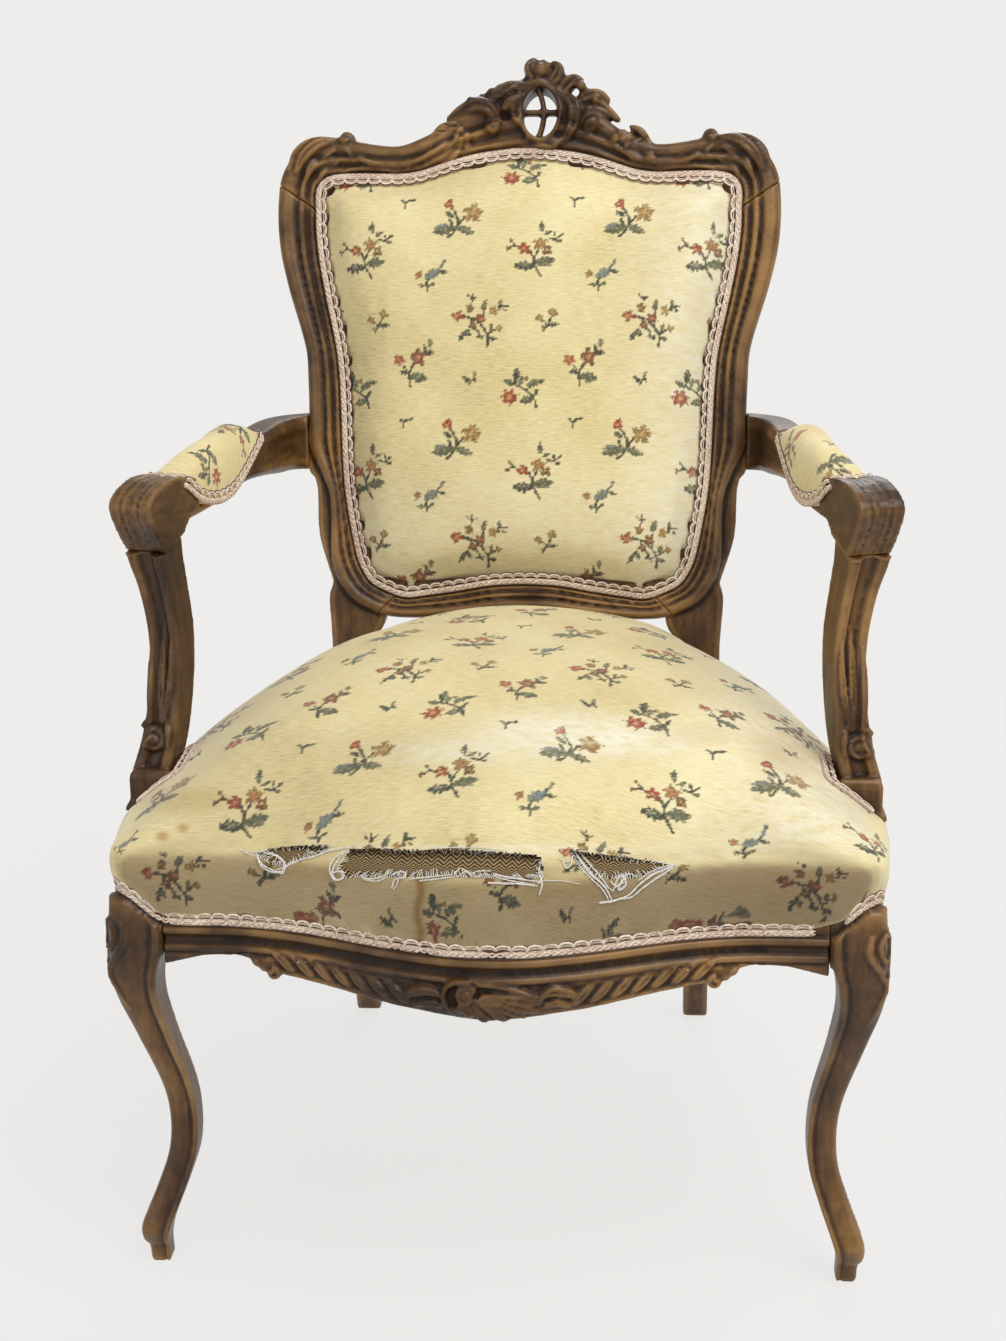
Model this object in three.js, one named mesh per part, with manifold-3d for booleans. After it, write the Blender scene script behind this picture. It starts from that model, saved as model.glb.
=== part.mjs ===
// An upholstered open armchair with a carved walnut show-frame, sprung seat and padded arms.
// Millimetres, +Z up, +X to the viewer's right, +Y to the back. Left and right are the viewer's.
// The origin ends up under the middle of the chair, on the floor. A name that ends in Share or
// Shares holds parts of another size.
import * as THREE from 'three';
import { mergeVertices } from 'three/addons/utils/BufferGeometryUtils.js';
import Module from 'manifold-3d';

const wasm = await Module();
wasm.setup();

// Fits
const clearance = 0.3;
const overrun = 4;

// Seat frame: heights from the floor, plan places from the middle of the front feet
const railTop = 352;
const coverDrop = 31;
const railThickness = 32;
const coverRebate = 4.5;
const coverEase = 1.2;
const railCoveDepth = 4.5;
const frontRailEase = 40;
const bowDepth = 53;
const bowInset = 47;
const apronDrop = 50;
const ledgeDrop = 52;
const ledgeDepth = 15;
const seatDepth = 391;
const cornerRadius = 30;
const seatFrontHalf = 306;
const seatRearHalf = 194;
const rearRailSetback = 5;
const rearRailThickness = 26;
const rearRailDrop = 60;

// Mortises and tenons of the seat frame
const tenonThickness = 15;
const tenonLength = 19;
const tenonShoulder = 8;
const shortTenonLength = 11;

// Front legs
const footInset = 17;
const legSwing = 24;
const legWidth = 44;
const kneeLift = 24;

// Rear stiles, which are the rear legs below the seat
const rearFootSpread = 178;
const rearFootSetback = 91;
const stilePostWidth = 35;
const stilePostDepth = 36;

// Raked back frame
const backSill = 490;
const backSillSetback = 24;
const backRake = 0.235;
const backHalfWidth = 247.5;
const stileHeight = 386;
const crestRise = 100;
const backThickness = 36;
const mouldingDepth = 9;
const tackMargin = 22;

// Joints of the back frame
const backTenonWidth = 16;
const backTenonLength = 18;
const backTenonThickness = 11;

// Pierced cartouche of the crest
const cartoucheOffset = 12;
const cartoucheDrop = 34;
const piercingWidth = 34;
const piercingHeight = 47;
const piercingBand = 5;
const carvingRelief = 7;
const voluteRadius = 10;
const voluteBead = 3.4;
const flowerRadius = 7;
const petalRelief = 4.2;
const scrollClosingShare = 0.68;
const scrollThinningShare = 0.35;
const finialHeight = 36.6;
const finialWidth = 17;
const finialThickness = 25;
const finialSink = 3;
const finialSetback = 14.4;
const leafWidth = 9;

// Arms and their supports
const armHeight = 628;
const armWidth = 34;
const armThickness = 30;
const armJointHeight = 54;
const knuckleWidth = 40;
const knuckleLength = 62;
const knuckleHeight = 46;
const knuckleCheek = 10.8;
const knuckleFillet = 5.2;
const knuckleInset = 10;
const knuckleReach = 122;
const supportWidth = 28;
const supportDepth = 30;
const supportBaseWidth = 36;
const supportBaseDepth = 40;
const supportBaseHeight = 34;
const supportLift = 26;
const supportInset = 12;
const supportReach = 92;
const supportTenonWidth = 16;
const supportTenonDepth = 22;
const supportTenonLength = 24;

// Upholstery
const fabricThickness = 2;
const gimpWidth = 13;
const gimpThickness = 2.2;
const seatCrown = 490;
const seatCrownSetback = 230;
const crownHalfWidth = 265;
const crownHalfDepth = 235;
const crownRounding = 1.5;
const seatBulge = 7;
const shoulderRise = 48;
const underCoverThickness = 1.6;
const canvasThickness = 1.6;
const layerEase = 4.5;
const backBulge = 26;
const padRise = 24;
const padDrop = 30;
const tearLength = 240;
const tearWidth = 17;
const tearHeight = 393;
const tearOffset = 16;
const tearForward = 71.5;

// Webbing, springs and corner blocks
const strapWidth = 70;
const strapThickness = 1.8;
const strapWave = 1.15;
const strapSpreadShare = 0.45;
const strapRearPitch = 114;
const strapSetback = 62;
const springRadius = 36;
const springWaist = 25;
const springHeightShare = 0.574;
const springTurns = 4;
const wireDiameter = 3.6;
const blockHeight = 40;
const blockLeg = 56;
const screwLength = 44;
const screwDiameter = 4.4;
const screwHeadDiameter = 9;

// Finishes
const walnut = { color: 0x5b3a20, roughness: 0.42, metalness: 0 };
const beech = { color: 0xb08a5c, roughness: 0.7, metalness: 0 };
const tapestry = { color: 0xe4d3a4, roughness: 0.9, metalness: 0 };
const braid = { color: 0xdcc0ae, roughness: 0.85, metalness: 0 };
const herringbone = { color: 0x6e5334, roughness: 0.95, metalness: 0 };
const jute = { color: 0xa98b5d, roughness: 0.95, metalness: 0 };
const horsehair = { color: 0x4a3c2e, roughness: 1, metalness: 0 };
const steel = { color: 0x8a8782, roughness: 0.4, metalness: 0.9 };

// Geometry helpers

const vector = (x, y, z) => new THREE.Vector3(x, y, z);
const lerp = THREE.MathUtils.lerp;

function toManifold(geometry) {
  const bare = geometry.clone();
  bare.deleteAttribute('normal');
  bare.deleteAttribute('uv');
  const merged = mergeVertices(bare, 1e-4);
  const mesh = new wasm.Mesh({
    numProp: 3,
    vertProperties: new Float32Array(merged.attributes.position.array),
    triVerts: new Uint32Array(merged.index.array),
  });
  return new wasm.Manifold(mesh);
}

function toGeometry(solid) {
  const mesh = solid.getMesh();
  const geometry = new THREE.BufferGeometry();
  geometry.setAttribute('position', new THREE.BufferAttribute(new Float32Array(mesh.vertProperties), 3));
  geometry.setIndex(new THREE.BufferAttribute(new Uint32Array(mesh.triVerts), 1));
  return geometry;
}

const join = (first, ...others) =>
  toGeometry(others.reduce((solid, other) => solid.add(toManifold(other)), toManifold(first)));
const cut = (first, ...others) =>
  toGeometry(others.reduce((solid, other) => solid.subtract(toManifold(other)), toManifold(first)));
const largestBody = (geometry) =>
  toGeometry(toManifold(geometry).decompose().sort((a, b) => b.volume() - a.volume())[0]);
const common = (first, second) => toGeometry(toManifold(first).intersect(toManifold(second)));

// Newell's normal of a closed ring of points.
function ringNormal(ring) {
  const normal = vector(0, 0, 0);
  ring.forEach((point, i) => {
    const next = ring[(i + 1) % ring.length];
    normal.x += (point.y - next.y) * (point.z + next.z);
    normal.y += (point.z - next.z) * (point.x + next.x);
    normal.z += (point.x - next.x) * (point.y + next.y);
  });
  return normal.normalize();
}

// Triangles that fill a flat ring, cut off ear by ear along the shortest diagonal. Every point of
// the ring keeps its place in the fill, also those on a straight stretch.
function capTriangles(ring) {
  const normal = ringNormal(ring);
  const turn = new THREE.Quaternion().setFromUnitVectors(normal, vector(0, 0, 1));
  const flat = ring.map((point) => point.clone().applyQuaternion(turn));
  const area = (a, b, c) => (b.x - a.x) * (c.y - a.y) - (b.y - a.y) * (c.x - a.x);
  const inside = (p, a, b, c) => area(a, b, p) >= 0 && area(b, c, p) >= 0 && area(c, a, p) >= 0;
  const left = ring.map((_, i) => i);
  const triangles = [];
  while (left.length > 3) {
    let best = null;
    left.forEach((tip, k) => {
      const before = left[(k + left.length - 1) % left.length];
      const after = left[(k + 1) % left.length];
      const [a, b, c] = [flat[before], flat[tip], flat[after]];
      const diagonal = a.distanceToSquared(c);
      if (area(a, b, c) <= diagonal * 1e-6 || (best && diagonal >= best.diagonal)) return;
      const blocked = left.some((i) => i !== before && i !== tip && i !== after && inside(flat[i], a, b, c));
      if (!blocked) best = { k, triangle: [before, tip, after], diagonal };
    });
    if (!best) throw new Error('a ring of a loft crosses itself');
    triangles.push(best.triangle);
    left.splice(best.k, 1);
  }
  triangles.push([...left]);
  return triangles;
}

// Swaps two corners of each triangle, which turns the surface's faces over.
function turnedOver(geometry) {
  const indices = geometry.index.array;
  for (let i = 0; i < indices.length; i += 3) {
    [indices[i], indices[i + 1]] = [indices[i + 1], indices[i]];
  }
  return geometry;
}

function signedVolume(positions, indices) {
  const corner = (i) => vector(...positions.slice(3 * i, 3 * i + 3));
  let volume = 0;
  for (let i = 0; i < indices.length; i += 3) {
    const [a, b, c] = [corner(indices[i]), corner(indices[i + 1]), corner(indices[i + 2])];
    volume += a.dot(b.cross(c));
  }
  return volume;
}

// Four corners as two triangles, split along the first diagonal or the second.
const quad = ([a, b, c, d], first) => (first ? [a, b, c, a, c, d] : [a, b, d, b, c, d]);

function facingOut(positions, indices) {
  const geometry = new THREE.BufferGeometry();
  geometry.setAttribute('position', new THREE.Float32BufferAttribute(positions, 3));
  geometry.setIndex(indices);
  return signedVolume(positions, indices) < 0 ? turnedOver(geometry) : geometry;
}

// A closed body through rings of equally many points, capped at both ends.
function closedLoft(rings) {
  const count = rings[0].length;
  const positions = rings.flat().flatMap((point) => [point.x, point.y, point.z]);
  const indices = [];
  for (let r = 0; r + 1 < rings.length; r++) {
    for (let i = 0; i < count; i++) {
      const j = (i + 1) % count;
      const [a, b, c, d] = [rings[r][i], rings[r][j], rings[r + 1][j], rings[r + 1][i]];
      const corners = [r * count + i, r * count + j, (r + 1) * count + j, (r + 1) * count + i];
      indices.push(...quad(corners, a.distanceTo(c) <= b.distanceTo(d)));
    }
  }
  const last = (rings.length - 1) * count;
  capTriangles(rings[0]).forEach(([a, b, c]) => indices.push(c, b, a));
  capTriangles(rings.at(-1)).forEach(([a, b, c]) => indices.push(last + a, last + b, last + c));
  return facingOut(positions, indices);
}

// A box given by its lowest and highest corners.
function block(low, high) {
  const size = high.clone().sub(low);
  const middle = low.clone().add(high).multiplyScalar(0.5);
  return new THREE.BoxGeometry(size.x, size.y, size.z).translate(middle.x, middle.y, middle.z);
}

const grownBlock = (low, high, growth) =>
  block(low.clone().subScalar(growth), high.clone().addScalar(growth));

const mirrored = (geometry) => turnedOver(geometry.clone().scale(-1, 1, 1));

const smoothPath = (points) => new THREE.CatmullRomCurve3(points, false, 'centripetal');

// Reads y at x from a table of rising [x, y] rows.
function readTable(rows, x) {
  const next = rows.findIndex((row) => row[0] >= x);
  if (next <= 0) return next === 0 ? rows[0][1] : rows.at(-1)[1];
  const [before, after] = [rows[next - 1], rows[next]];
  return lerp(before[1], after[1], (x - before[0]) / (after[0] - before[0]));
}

const steps = (count) => Array.from({ length: count + 1 }, (_, i) => i / count);

// Plan of the seat frame

const coverLine = railTop - coverDrop;
const ledgeHeight = railTop - ledgeDrop;
const rearRailBottom = railTop - rearRailDrop;
const frontFace = -frontRailEase;
const railHalfLength = seatFrontHalf - legWidth;
const bowHalfWidth = railHalfLength - bowInset;
const footSpread = seatFrontHalf - footInset;
const supportSpread = seatFrontHalf - supportInset;
const knuckleSpread = seatFrontHalf - knuckleInset;
const strapPitch = railHalfLength * strapSpreadShare;
const supportBaseBottom = railTop + supportLift;

function frontRailFace(x) {
  const share = Math.min(Math.abs(x) / bowHalfWidth, 1);
  return frontFace - bowDepth * (0.5 + 0.5 * Math.cos(Math.PI * share));
}

// Bow of the side rails: shares of the seat depth, and of the narrowing to the back.
const sideBowShares = [
  [0, 0], [0.12, -0.055], [0.24, -0.07], [0.38, -0.01], [0.55, 0.16], [0.72, 0.43], [0.88, 0.78], [1, 1.0],
];

function sideRailFace(y) {
  const narrowing = seatFrontHalf - seatRearHalf;
  return seatFrontHalf - narrowing * readTable(sideBowShares, y / seatDepth);
}

const rearRailFront = seatDepth + rearRailSetback;
const rearRailBack = rearRailFront + rearRailThickness;

const sideStations = (count) => steps(count).map((share) => lerp(frontFace + cornerRadius, seatDepth, share));

// How many steps an outline takes along the front, each side and the rear.
const fineSteps = [12, 6, 2];
const coarseSteps = [6, 4, 2];

// Closed plan outline of the upholstered seat, grown outwards by an amount.
function seatOutline(growth, [frontSteps, sideSteps, rearSteps] = fineSteps) {
  const cornerX = seatFrontHalf - cornerRadius;
  const cornerY = frontFace + cornerRadius;
  const right = [];
  for (const share of steps(frontSteps / 2)) {
    const x = cornerX * share;
    right.push(vector(x, frontRailFace(x), 0));
  }
  for (const share of [1 / 3, 2 / 3]) {
    const angle = (share * Math.PI) / 2;
    right.push(vector(cornerX + cornerRadius * Math.sin(angle), cornerY - cornerRadius * Math.cos(angle), 0));
  }
  for (const y of sideStations(sideSteps)) right.push(vector(sideRailFace(Math.max(y, 0)), y, 0));
  for (const share of steps(rearSteps / 2)) {
    right.push(vector(lerp(seatRearHalf, 0, share), rearRailBack + coverRebate, 0));
  }
  const left = right.slice(1, -1).reverse().map((point) => vector(-point.x, point.y, 0));
  const ring = [...right, ...left];
  return ring.map((point, i) => {
    const along = ring[(i + 1) % ring.length].clone().sub(ring[(i + ring.length - 1) % ring.length]);
    const outward = vector(along.y, -along.x, 0).normalize();
    return point.clone().addScaledVector(outward, growth);
  });
}

// Seat rails

// Lower edge of the front rail: shares of its half length and of the apron's drop below the cover.
const frontApronShares = [
  [0, 1.02], [0.14, 0.96], [0.3, 0.89], [0.47, 0.8], [0.62, 0.74], [0.67, 0.72], [0.7, 0.74],
  [0.73, 0.54], [0.78, 0.47], [0.88, 0.5], [1, 0.66],
];
// Lower edge of a side rail: shares of the seat depth and of the same drop.
const sideApronShares = [
  [0, 0.66], [0.08, 0.52], [0.25, 0.46], [0.5, 0.56], [0.75, 0.5], [0.92, 0.5], [1, 0.62],
];

// Section of a moulded rail: how deep each point lies behind the face, and its height.
function railSection(bottom, thickness) {
  const coveTop = coverLine - railCoveDepth;
  const coveBottom = coveTop - 3 * railCoveDepth;
  return [
    [thickness, railTop], [coverRebate, railTop], [coverRebate, coverLine - clearance],
    [0, coverLine - clearance * 2], [0, coveTop], [railCoveDepth, lerp(coveTop, coveBottom, 0.35)],
    [railCoveDepth, lerp(coveTop, coveBottom, 0.7)], [railCoveDepth / 3, coveBottom],
    [railCoveDepth / 3, lerp(bottom, coveBottom, 0.3)], [railCoveDepth, bottom],
    [thickness - ledgeDepth, bottom], [thickness - ledgeDepth, ledgeHeight], [thickness, ledgeHeight],
  ];
}

function frontTenon(growth) {
  const middle = frontFace + railThickness / 2;
  const low = vector(railHalfLength - overrun, middle - tenonThickness / 2, ledgeHeight + tenonShoulder);
  const high = vector(railHalfLength + tenonLength, middle + tenonThickness / 2, railTop - tenonShoulder);
  return grownBlock(low, high, growth);
}

function frontRail() {
  const stations = [];
  for (const share of steps(8)) stations.push(share);
  const extra = frontApronShares.map((row) => row[0]).filter((share) => share > 0.63 && share < 0.75);
  const shares = [...new Set([...stations, ...extra])].sort((a, b) => a - b);
  const all = [...shares.slice(1).reverse().map((share) => -share), ...shares];
  const rings = all.map((share) => {
    const x = share * (railHalfLength - clearance);
    const bottom = coverLine - apronDrop * readTable(frontApronShares, Math.abs(share));
    return railSection(bottom, railThickness).map(([depth, z]) => vector(x, frontRailFace(x) + depth, z));
  });
  return join(closedLoft(rings), frontTenon(0), mirrored(frontTenon(0)));
}

function sideFrontTenon(growth) {
  const middle = seatFrontHalf - railThickness / 2;
  const low = vector(middle - tenonThickness / 2, -shortTenonLength, ledgeHeight + tenonShoulder);
  const high = vector(middle + tenonThickness / 2, overrun, railTop - tenonShoulder);
  return grownBlock(low, high, growth);
}

function sideRearTenon(growth) {
  const middle = seatRearHalf - railThickness / 2;
  const low = vector(middle - tenonThickness / 2, seatDepth - overrun, ledgeHeight + tenonShoulder);
  const high = vector(middle + tenonThickness / 2, seatDepth + tenonLength, railTop - tenonShoulder);
  return grownBlock(low, high, growth);
}

function rightSideRail() {
  const rings = sideStations(fineSteps[1]).map((station) => {
    const y = THREE.MathUtils.clamp(station, clearance, seatDepth - clearance);
    const bottom = coverLine - apronDrop * readTable(sideApronShares, y / seatDepth);
    return railSection(bottom, railThickness).map(([depth, z]) => vector(sideRailFace(y) - depth, y, z));
  });
  const rail = join(closedLoft(rings), sideFrontTenon(0), sideRearTenon(0));
  return cut(rail, supportTenon(clearance), screwHole(rearBlock));
}

function rearTenon(growth) {
  const middle = rearRailFront + rearRailThickness / 2;
  const inner = rearFootSpread - stilePostWidth / 2;
  const low = vector(inner - overrun, middle, rearRailBottom + tenonShoulder);
  const high = vector(inner + shortTenonLength / 2, middle + tenonThickness / 2, railTop - tenonShoulder);
  return grownBlock(low, high, growth);
}

function rearRail() {
  const half = rearFootSpread - stilePostWidth / 2 - clearance;
  const chamfer = railCoveDepth / 2;
  const section = [
    [rearRailFront, railTop], [rearRailFront, ledgeHeight], [rearRailFront + ledgeDepth, ledgeHeight],
    [rearRailFront + ledgeDepth, rearRailBottom], [rearRailBack - chamfer, rearRailBottom],
    [rearRailBack, rearRailBottom + chamfer], [rearRailBack, railTop],
  ];
  const ring = (x) => section.map(([y, z]) => vector(x, y, z));
  return join(closedLoft([ring(-half), ring(half)]), rearTenon(0), mirrored(rearTenon(0)));
}

// Front legs: a cabriole with a rounded outer corner and a bead along each inner edge.

// Rows: height share of the rail's top, swing shares sideways and forwards, width share.
const frontLegShares = [
  [0, 0, 0, 0.4], [0.045, 0.04, 0.04, 0.42], [0.06, 0.1, 0.1, 0.5], [0.1, 0.04, 0.25, 0.58],
  [0.135, -0.14, 0.1, 0.58], [0.19, -0.46, -0.3, 0.57], [0.28, -0.86, -0.72, 0.56],
  [0.41, -0.87, -0.76, 0.56], [0.61, -0.3, 0.1, 0.66],
  [0.72, -0.02, 0.66, 0.78], [0.79, 0, 0.92, 0.9], [0.83, -0.1, 0.98, 0.96],
  [0.87, -0.16, 0.98, 1], [0.915, -0.18, 0.95, 1], [1, -0.21, 0.92, 0.94],
];
// Section corners as shares of the half width: sideways outwards, then forwards.
const legSectionShares = [
  [-1, -1], [-1, 0.78], [-0.9, 0.97], [-0.66, 0.97], [-0.56, 0.84], [-0.1, 0.96], [0.5, 1], [0.84, 0.84],
  [1, 0.5], [0.96, -0.1], [0.84, -0.56], [0.97, -0.66], [0.97, -0.9], [0.78, -1],
];

// Height of the cover's lower edge: level, and lifted over the knees of the front legs.
function coverEdge(point) {
  const fromCorner = Math.hypot(Math.abs(point.x) - seatFrontHalf, point.y - frontFace);
  const share = THREE.MathUtils.smoothstep(fromCorner, kneeLift / 2, kneeLift * 2);
  return coverLine + kneeLift * (1 - share);
}

// Everything outside the cover and above its lower edge, which the wood of a leg keeps clear of.
function belowCover() {
  const reach = legWidth;
  const ring = (growth, height) => {
    const edge = seatOutline(0);
    return seatOutline(growth).map((point, i) => vector(point.x, point.y, height(edge[i])));
  };
  const edgeHeight = (point) => coverEdge(point) - clearance * 3;
  return closedLoft([
    ring(reach, () => -overrun), ring(reach, edgeHeight), ring(0, edgeHeight),
    ring(-cornerRadius / 2, edgeHeight),
  ]);
}

function insideCover() {
  const inset = -coverRebate;
  const level = (height) => seatOutline(inset).map((point) => vector(point.x, point.y, height));
  return closedLoft([level(coverLine - apronDrop), level(railTop)]);
}

function rightFrontLeg() {
  const rings = frontLegShares.map(([heightShare, sideShare, frontShare, widthShare]) => {
    const x = footSpread + legSwing * sideShare;
    const y = -legSwing * frontShare;
    const half = (legWidth * widthShare) / 2;
    const z = railTop * heightShare;
    return legSectionShares.map(([side, front]) => vector(x + half * side, y - half * front, z));
  });
  const postLow = vector(railHalfLength, frontFace, ledgeHeight - railCoveDepth);
  const leg = join(closedLoft(rings), block(postLow, vector(seatFrontHalf, 0, railTop)));
  const below = toManifold(leg).intersect(toManifold(belowCover()));
  const inside = toManifold(leg).intersect(toManifold(insideCover()));
  const reach = legWidth * 2;
  const frontRoom = block(
    vector(0, frontFace - reach, ledgeHeight - legWidth / 2),
    vector(railHalfLength, reach, railTop + overrun),
  );
  const sideRoom = block(
    vector(0, 0, ledgeHeight - legWidth / 2),
    vector(seatFrontHalf + reach, reach, railTop + overrun),
  );
  const shaped = toGeometry(below.add(inside));
  const mortises = [frontTenon(clearance), sideFrontTenon(clearance)];
  return cut(shaped, frontRoom, sideRoom, ...mortises, screwHole(frontBlock));
}

// Raked back frame: places in it are given by x, height and how far they stand before its face.

const rakeAngle = Math.atan(backRake);

function backFaceAt(height) {
  return seatDepth + backSillSetback + backRake * (height - backSill);
}

function backPoint(x, height, forward) {
  return vector(
    x,
    backFaceAt(height) - forward * Math.cos(rakeAngle),
    height + forward * Math.sin(rakeAngle),
  );
}

function backBlock(low, high, growth) {
  const ring = (x) => [
    backPoint(x, low[1] - growth, low[2] - growth),
    backPoint(x, high[1] + growth, low[2] - growth),
    backPoint(x, high[1] + growth, high[2] + growth),
    backPoint(x, low[1] - growth, high[2] + growth),
  ];
  return closedLoft([ring(low[0] - growth), ring(high[0] + growth)]);
}

// Edges of the back frame, right half, each row an outer then an inner point.
// Stile rows: half width and height above the sill, as shares.
const stileShares = [
  [0.59, -0.065, 0.525, -0.021], [0.687, -0.034, 0.618, 0.008],
  [0.731, -0.005, 0.65, 0.034], [0.76, 0.028, 0.675, 0.067], [0.78, 0.073, 0.691, 0.106],
  [0.788, 0.228, 0.727, 0.233], [0.82, 0.285, 0.735, 0.285],
  [0.873, 0.358, 0.741, 0.358], [0.873, 0.433, 0.745, 0.433], [0.877, 0.518, 0.752, 0.523],
  [0.885, 0.591, 0.764, 0.591], [0.958, 0.751, 0.812, 0.736],
  [0.99, 0.842, 0.836, 0.819], [1, 0.927, 0.848, 0.894], [0.994, 1, 0.848, 0.94],
];
// Lower rail rows, from the joint to the middle, read like the stile's.
const lowerRailShares = [
  [0.59, -0.065, 0.525, -0.021], [0.533, -0.073, 0.477, -0.028], [0.404, -0.075, 0.404, -0.023],
  [0.242, -0.07, 0.263, -0.01], [0.121, -0.062, 0.129, 0.004], [0, -0.06, 0, 0.008],
];
// Crest rows, from the joint to the middle: half width, and height above the joint.
const crestShares = [
  [0.994, 0, 0.848, -0.23], [0.978, 0.13, 0.84, -0.12], [0.945, 0.26, 0.82, -0.03],
  [0.881, 0.4, 0.788, 0.03], [0.808, 0.45, 0.752, 0.04], [0.739, 0.44, 0.703, 0.04],
  [0.59, 0.38, 0.578, 0.02], [0.509, 0.37, 0.513, 0.05],
  [0.424, 0.44, 0.436, 0.11], [0.339, 0.55, 0.364, 0.185], [0.275, 0.68, 0.283, 0.24],
  [0.202, 0.77, 0.206, 0.27], [0.121, 0.9, 0.121, 0.29], [0.048, 0.98, 0.048, 0.3], [0, 1, 0, 0.3],
];

const crestJoint = backSill + stileHeight;

function edgePairs(rows, baseHeight, rise) {
  return rows.map(([outerX, outerRise, innerX, innerRise]) => ({
    outer: new THREE.Vector2(backHalfWidth * outerX, baseHeight + rise * outerRise),
    inner: new THREE.Vector2(backHalfWidth * innerX, baseHeight + rise * innerRise),
  }));
}

const stilePairs = edgePairs(stileShares, backSill, stileHeight);
const lowerRailPairs = edgePairs(lowerRailShares, backSill, stileHeight);
const crestPairs = edgePairs(crestShares, crestJoint, crestRise);

const mirrorPair = ({ outer, inner }) => ({
  outer: new THREE.Vector2(-outer.x, outer.y),
  inner: new THREE.Vector2(-inner.x, inner.y),
});

// Moulded face of the back frame: shares of its width from the outer edge, and of the moulding's depth.
const mouldingShares = [
  [0, 1.1], [0.08, 0.3], [0.27, 0], [0.47, 0.45], [0.52, 0.75], [0.6, 0.5], [0.74, 0.95], [0.87, 0.5], [1, 1],
];

function mouldingRing({ outer, inner }) {
  const across = inner.clone().sub(outer);
  const tack = inner.clone().addScaledVector(across.clone().normalize(), tackMargin);
  const at = (place, forward) => backPoint(place.x, place.y, forward);
  const face = mouldingShares.map(([share, depthShare]) =>
    at(outer.clone().addScaledVector(across, share), -mouldingDepth * depthShare));
  return [
    at(outer, -backThickness), ...face, at(tack, -mouldingDepth), at(tack, -backThickness),
  ];
}

// The arm's joint stands on the stile where the stile is widest over the joint's height.
const armJointTop = armHeight + armJointHeight / 2 + clearance * 6;
const armJointBottom = armHeight - armJointHeight / 2;
const stileOuterRows = stilePairs.map(({ outer }) => [outer.y, outer.x]);
const armSeatHalf = Math.max(...steps(4).map((share) =>
  readTable(stileOuterRows, lerp(armJointBottom, armJointTop, share))));
const armSeatShare = (armSeatHalf - rearFootSpread) / stilePostWidth;

// Rows of the stile's core: height share of the arm joint's top, reach inwards and outwards as
// shares of the post's width.
const coreShares = [
  [0, 0.37, 0.37], [0.09, 0.4, 0.34], [0.2, 0.46, 0.37], [0.3, 0.5, 0.4], [0.45, 0.5, 0.45],
  [0.545, 0.5, 0.45], [0.6, 0.56, 0.43], [0.66, 0.75, 0.42], [0.69, 1.09, 0.46], [0.733, 1.09, 0.5],
  [0.749, 0.95, 0.4], [0.77, 0.63, 0.52], [0.82, 0.37, 0.8], [0.903, 0.23, 0.92],
  [0.912, 0.2, armSeatShare], [1, 0.06, armSeatShare],
];
// Below the seat the leg sweeps back: height share of the rail's top, setback share, depth share.
const rearLegShares = [
  [0, 1, 0.72], [0.17, 0.7, 0.75], [0.37, 0.395, 0.81], [0.57, 0.154, 0.89], [0.77, 0.022, 0.97],
  [0.87, 0, 1], [1, 0, 1],
];

function stileCore(growth) {
  const chamfer = mouldingDepth / 3;
  const setbackRows = rearLegShares.map((row) => [row[0], row[1]]);
  const depthRows = rearLegShares.map((row) => [row[0], row[2]]);
  const rings = coreShares.map(([heightShare, inwards, outwards]) => {
    const z = armJointTop * heightShare;
    const inner = rearFootSpread - stilePostWidth * inwards - growth;
    const outer = rearFootSpread + stilePostWidth * outwards + growth;
    const low = z / railTop;
    const legFront = seatDepth + rearFootSetback * readTable(setbackRows, Math.min(low, 1));
    const front = Math.max(legFront, z > railTop ? backFaceAt(z) + mouldingDepth : 0) - growth;
    const legBack = legFront + stilePostDepth * readTable(depthRows, Math.min(low, 1));
    const flush = THREE.MathUtils.clamp((z - railTop) / (stilePostDepth * 2), 0, 1);
    const frameBack = backFaceAt(z) + backThickness / Math.cos(rakeAngle);
    const back = lerp(legBack, frameBack, flush) + growth;
    return [
      vector(inner + chamfer, front, z), vector(outer - chamfer, front, z), vector(outer, front + chamfer, z),
      vector(outer, back - chamfer, z), vector(outer - chamfer, back, z), vector(inner + chamfer, back, z),
      vector(inner, back - chamfer, z), vector(inner, front + chamfer, z),
    ];
  });
  return closedLoft(rings);
}

function crestTenon(growth) {
  const { outer, inner } = stilePairs.at(-1);
  const middle = outer.clone().add(inner).multiplyScalar(0.5);
  const near = -mouldingDepth - backTenonThickness / 2;
  return backBlock(
    [middle.x - backTenonWidth / 2, middle.y - backTenonLength, near - backTenonThickness],
    [middle.x + backTenonWidth / 2, middle.y + backTenonLength, near],
    growth,
  );
}

function lowerRailTenon(growth) {
  const { outer, inner } = stilePairs[0];
  const middle = outer.clone().add(inner).multiplyScalar(0.5);
  const near = -mouldingDepth - backTenonThickness / 2;
  return backBlock(
    [middle.x - backTenonLength / 2, middle.y - backTenonWidth / 2, near - backTenonThickness],
    [middle.x + backTenonLength, middle.y + backTenonWidth / 2, near],
    growth,
  );
}

function rightRearStile() {
  const moulded = closedLoft(stilePairs.map(mouldingRing));
  const belowCrest = crestTenon(0);
  const lowerJoint = lowerRailPart(clearance);
  const stile = join(moulded, stileCore(0), belowCrest);
  return cut(
    stile, lowerJoint, lowerRailTenon(clearance), sideRearTenon(clearance), rearTenon(clearance),
    armTenon(clearance), screwHole(rearBlock),
  );
}

// The lower rail as a plain prism along its length, grown, which clears its way through the stiles.
function lowerRailPart(growth) {
  const rings = [...lowerRailPairs.map(mirrorPair), ...lowerRailPairs.slice(0, -1).reverse()];
  const grown = rings.map(({ outer, inner }) => {
    const along = inner.clone().sub(outer).normalize().multiplyScalar(growth);
    return mouldingRing({ outer: outer.clone().sub(along), inner: inner.clone().add(along) });
  });
  return closedLoft(grown);
}

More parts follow.
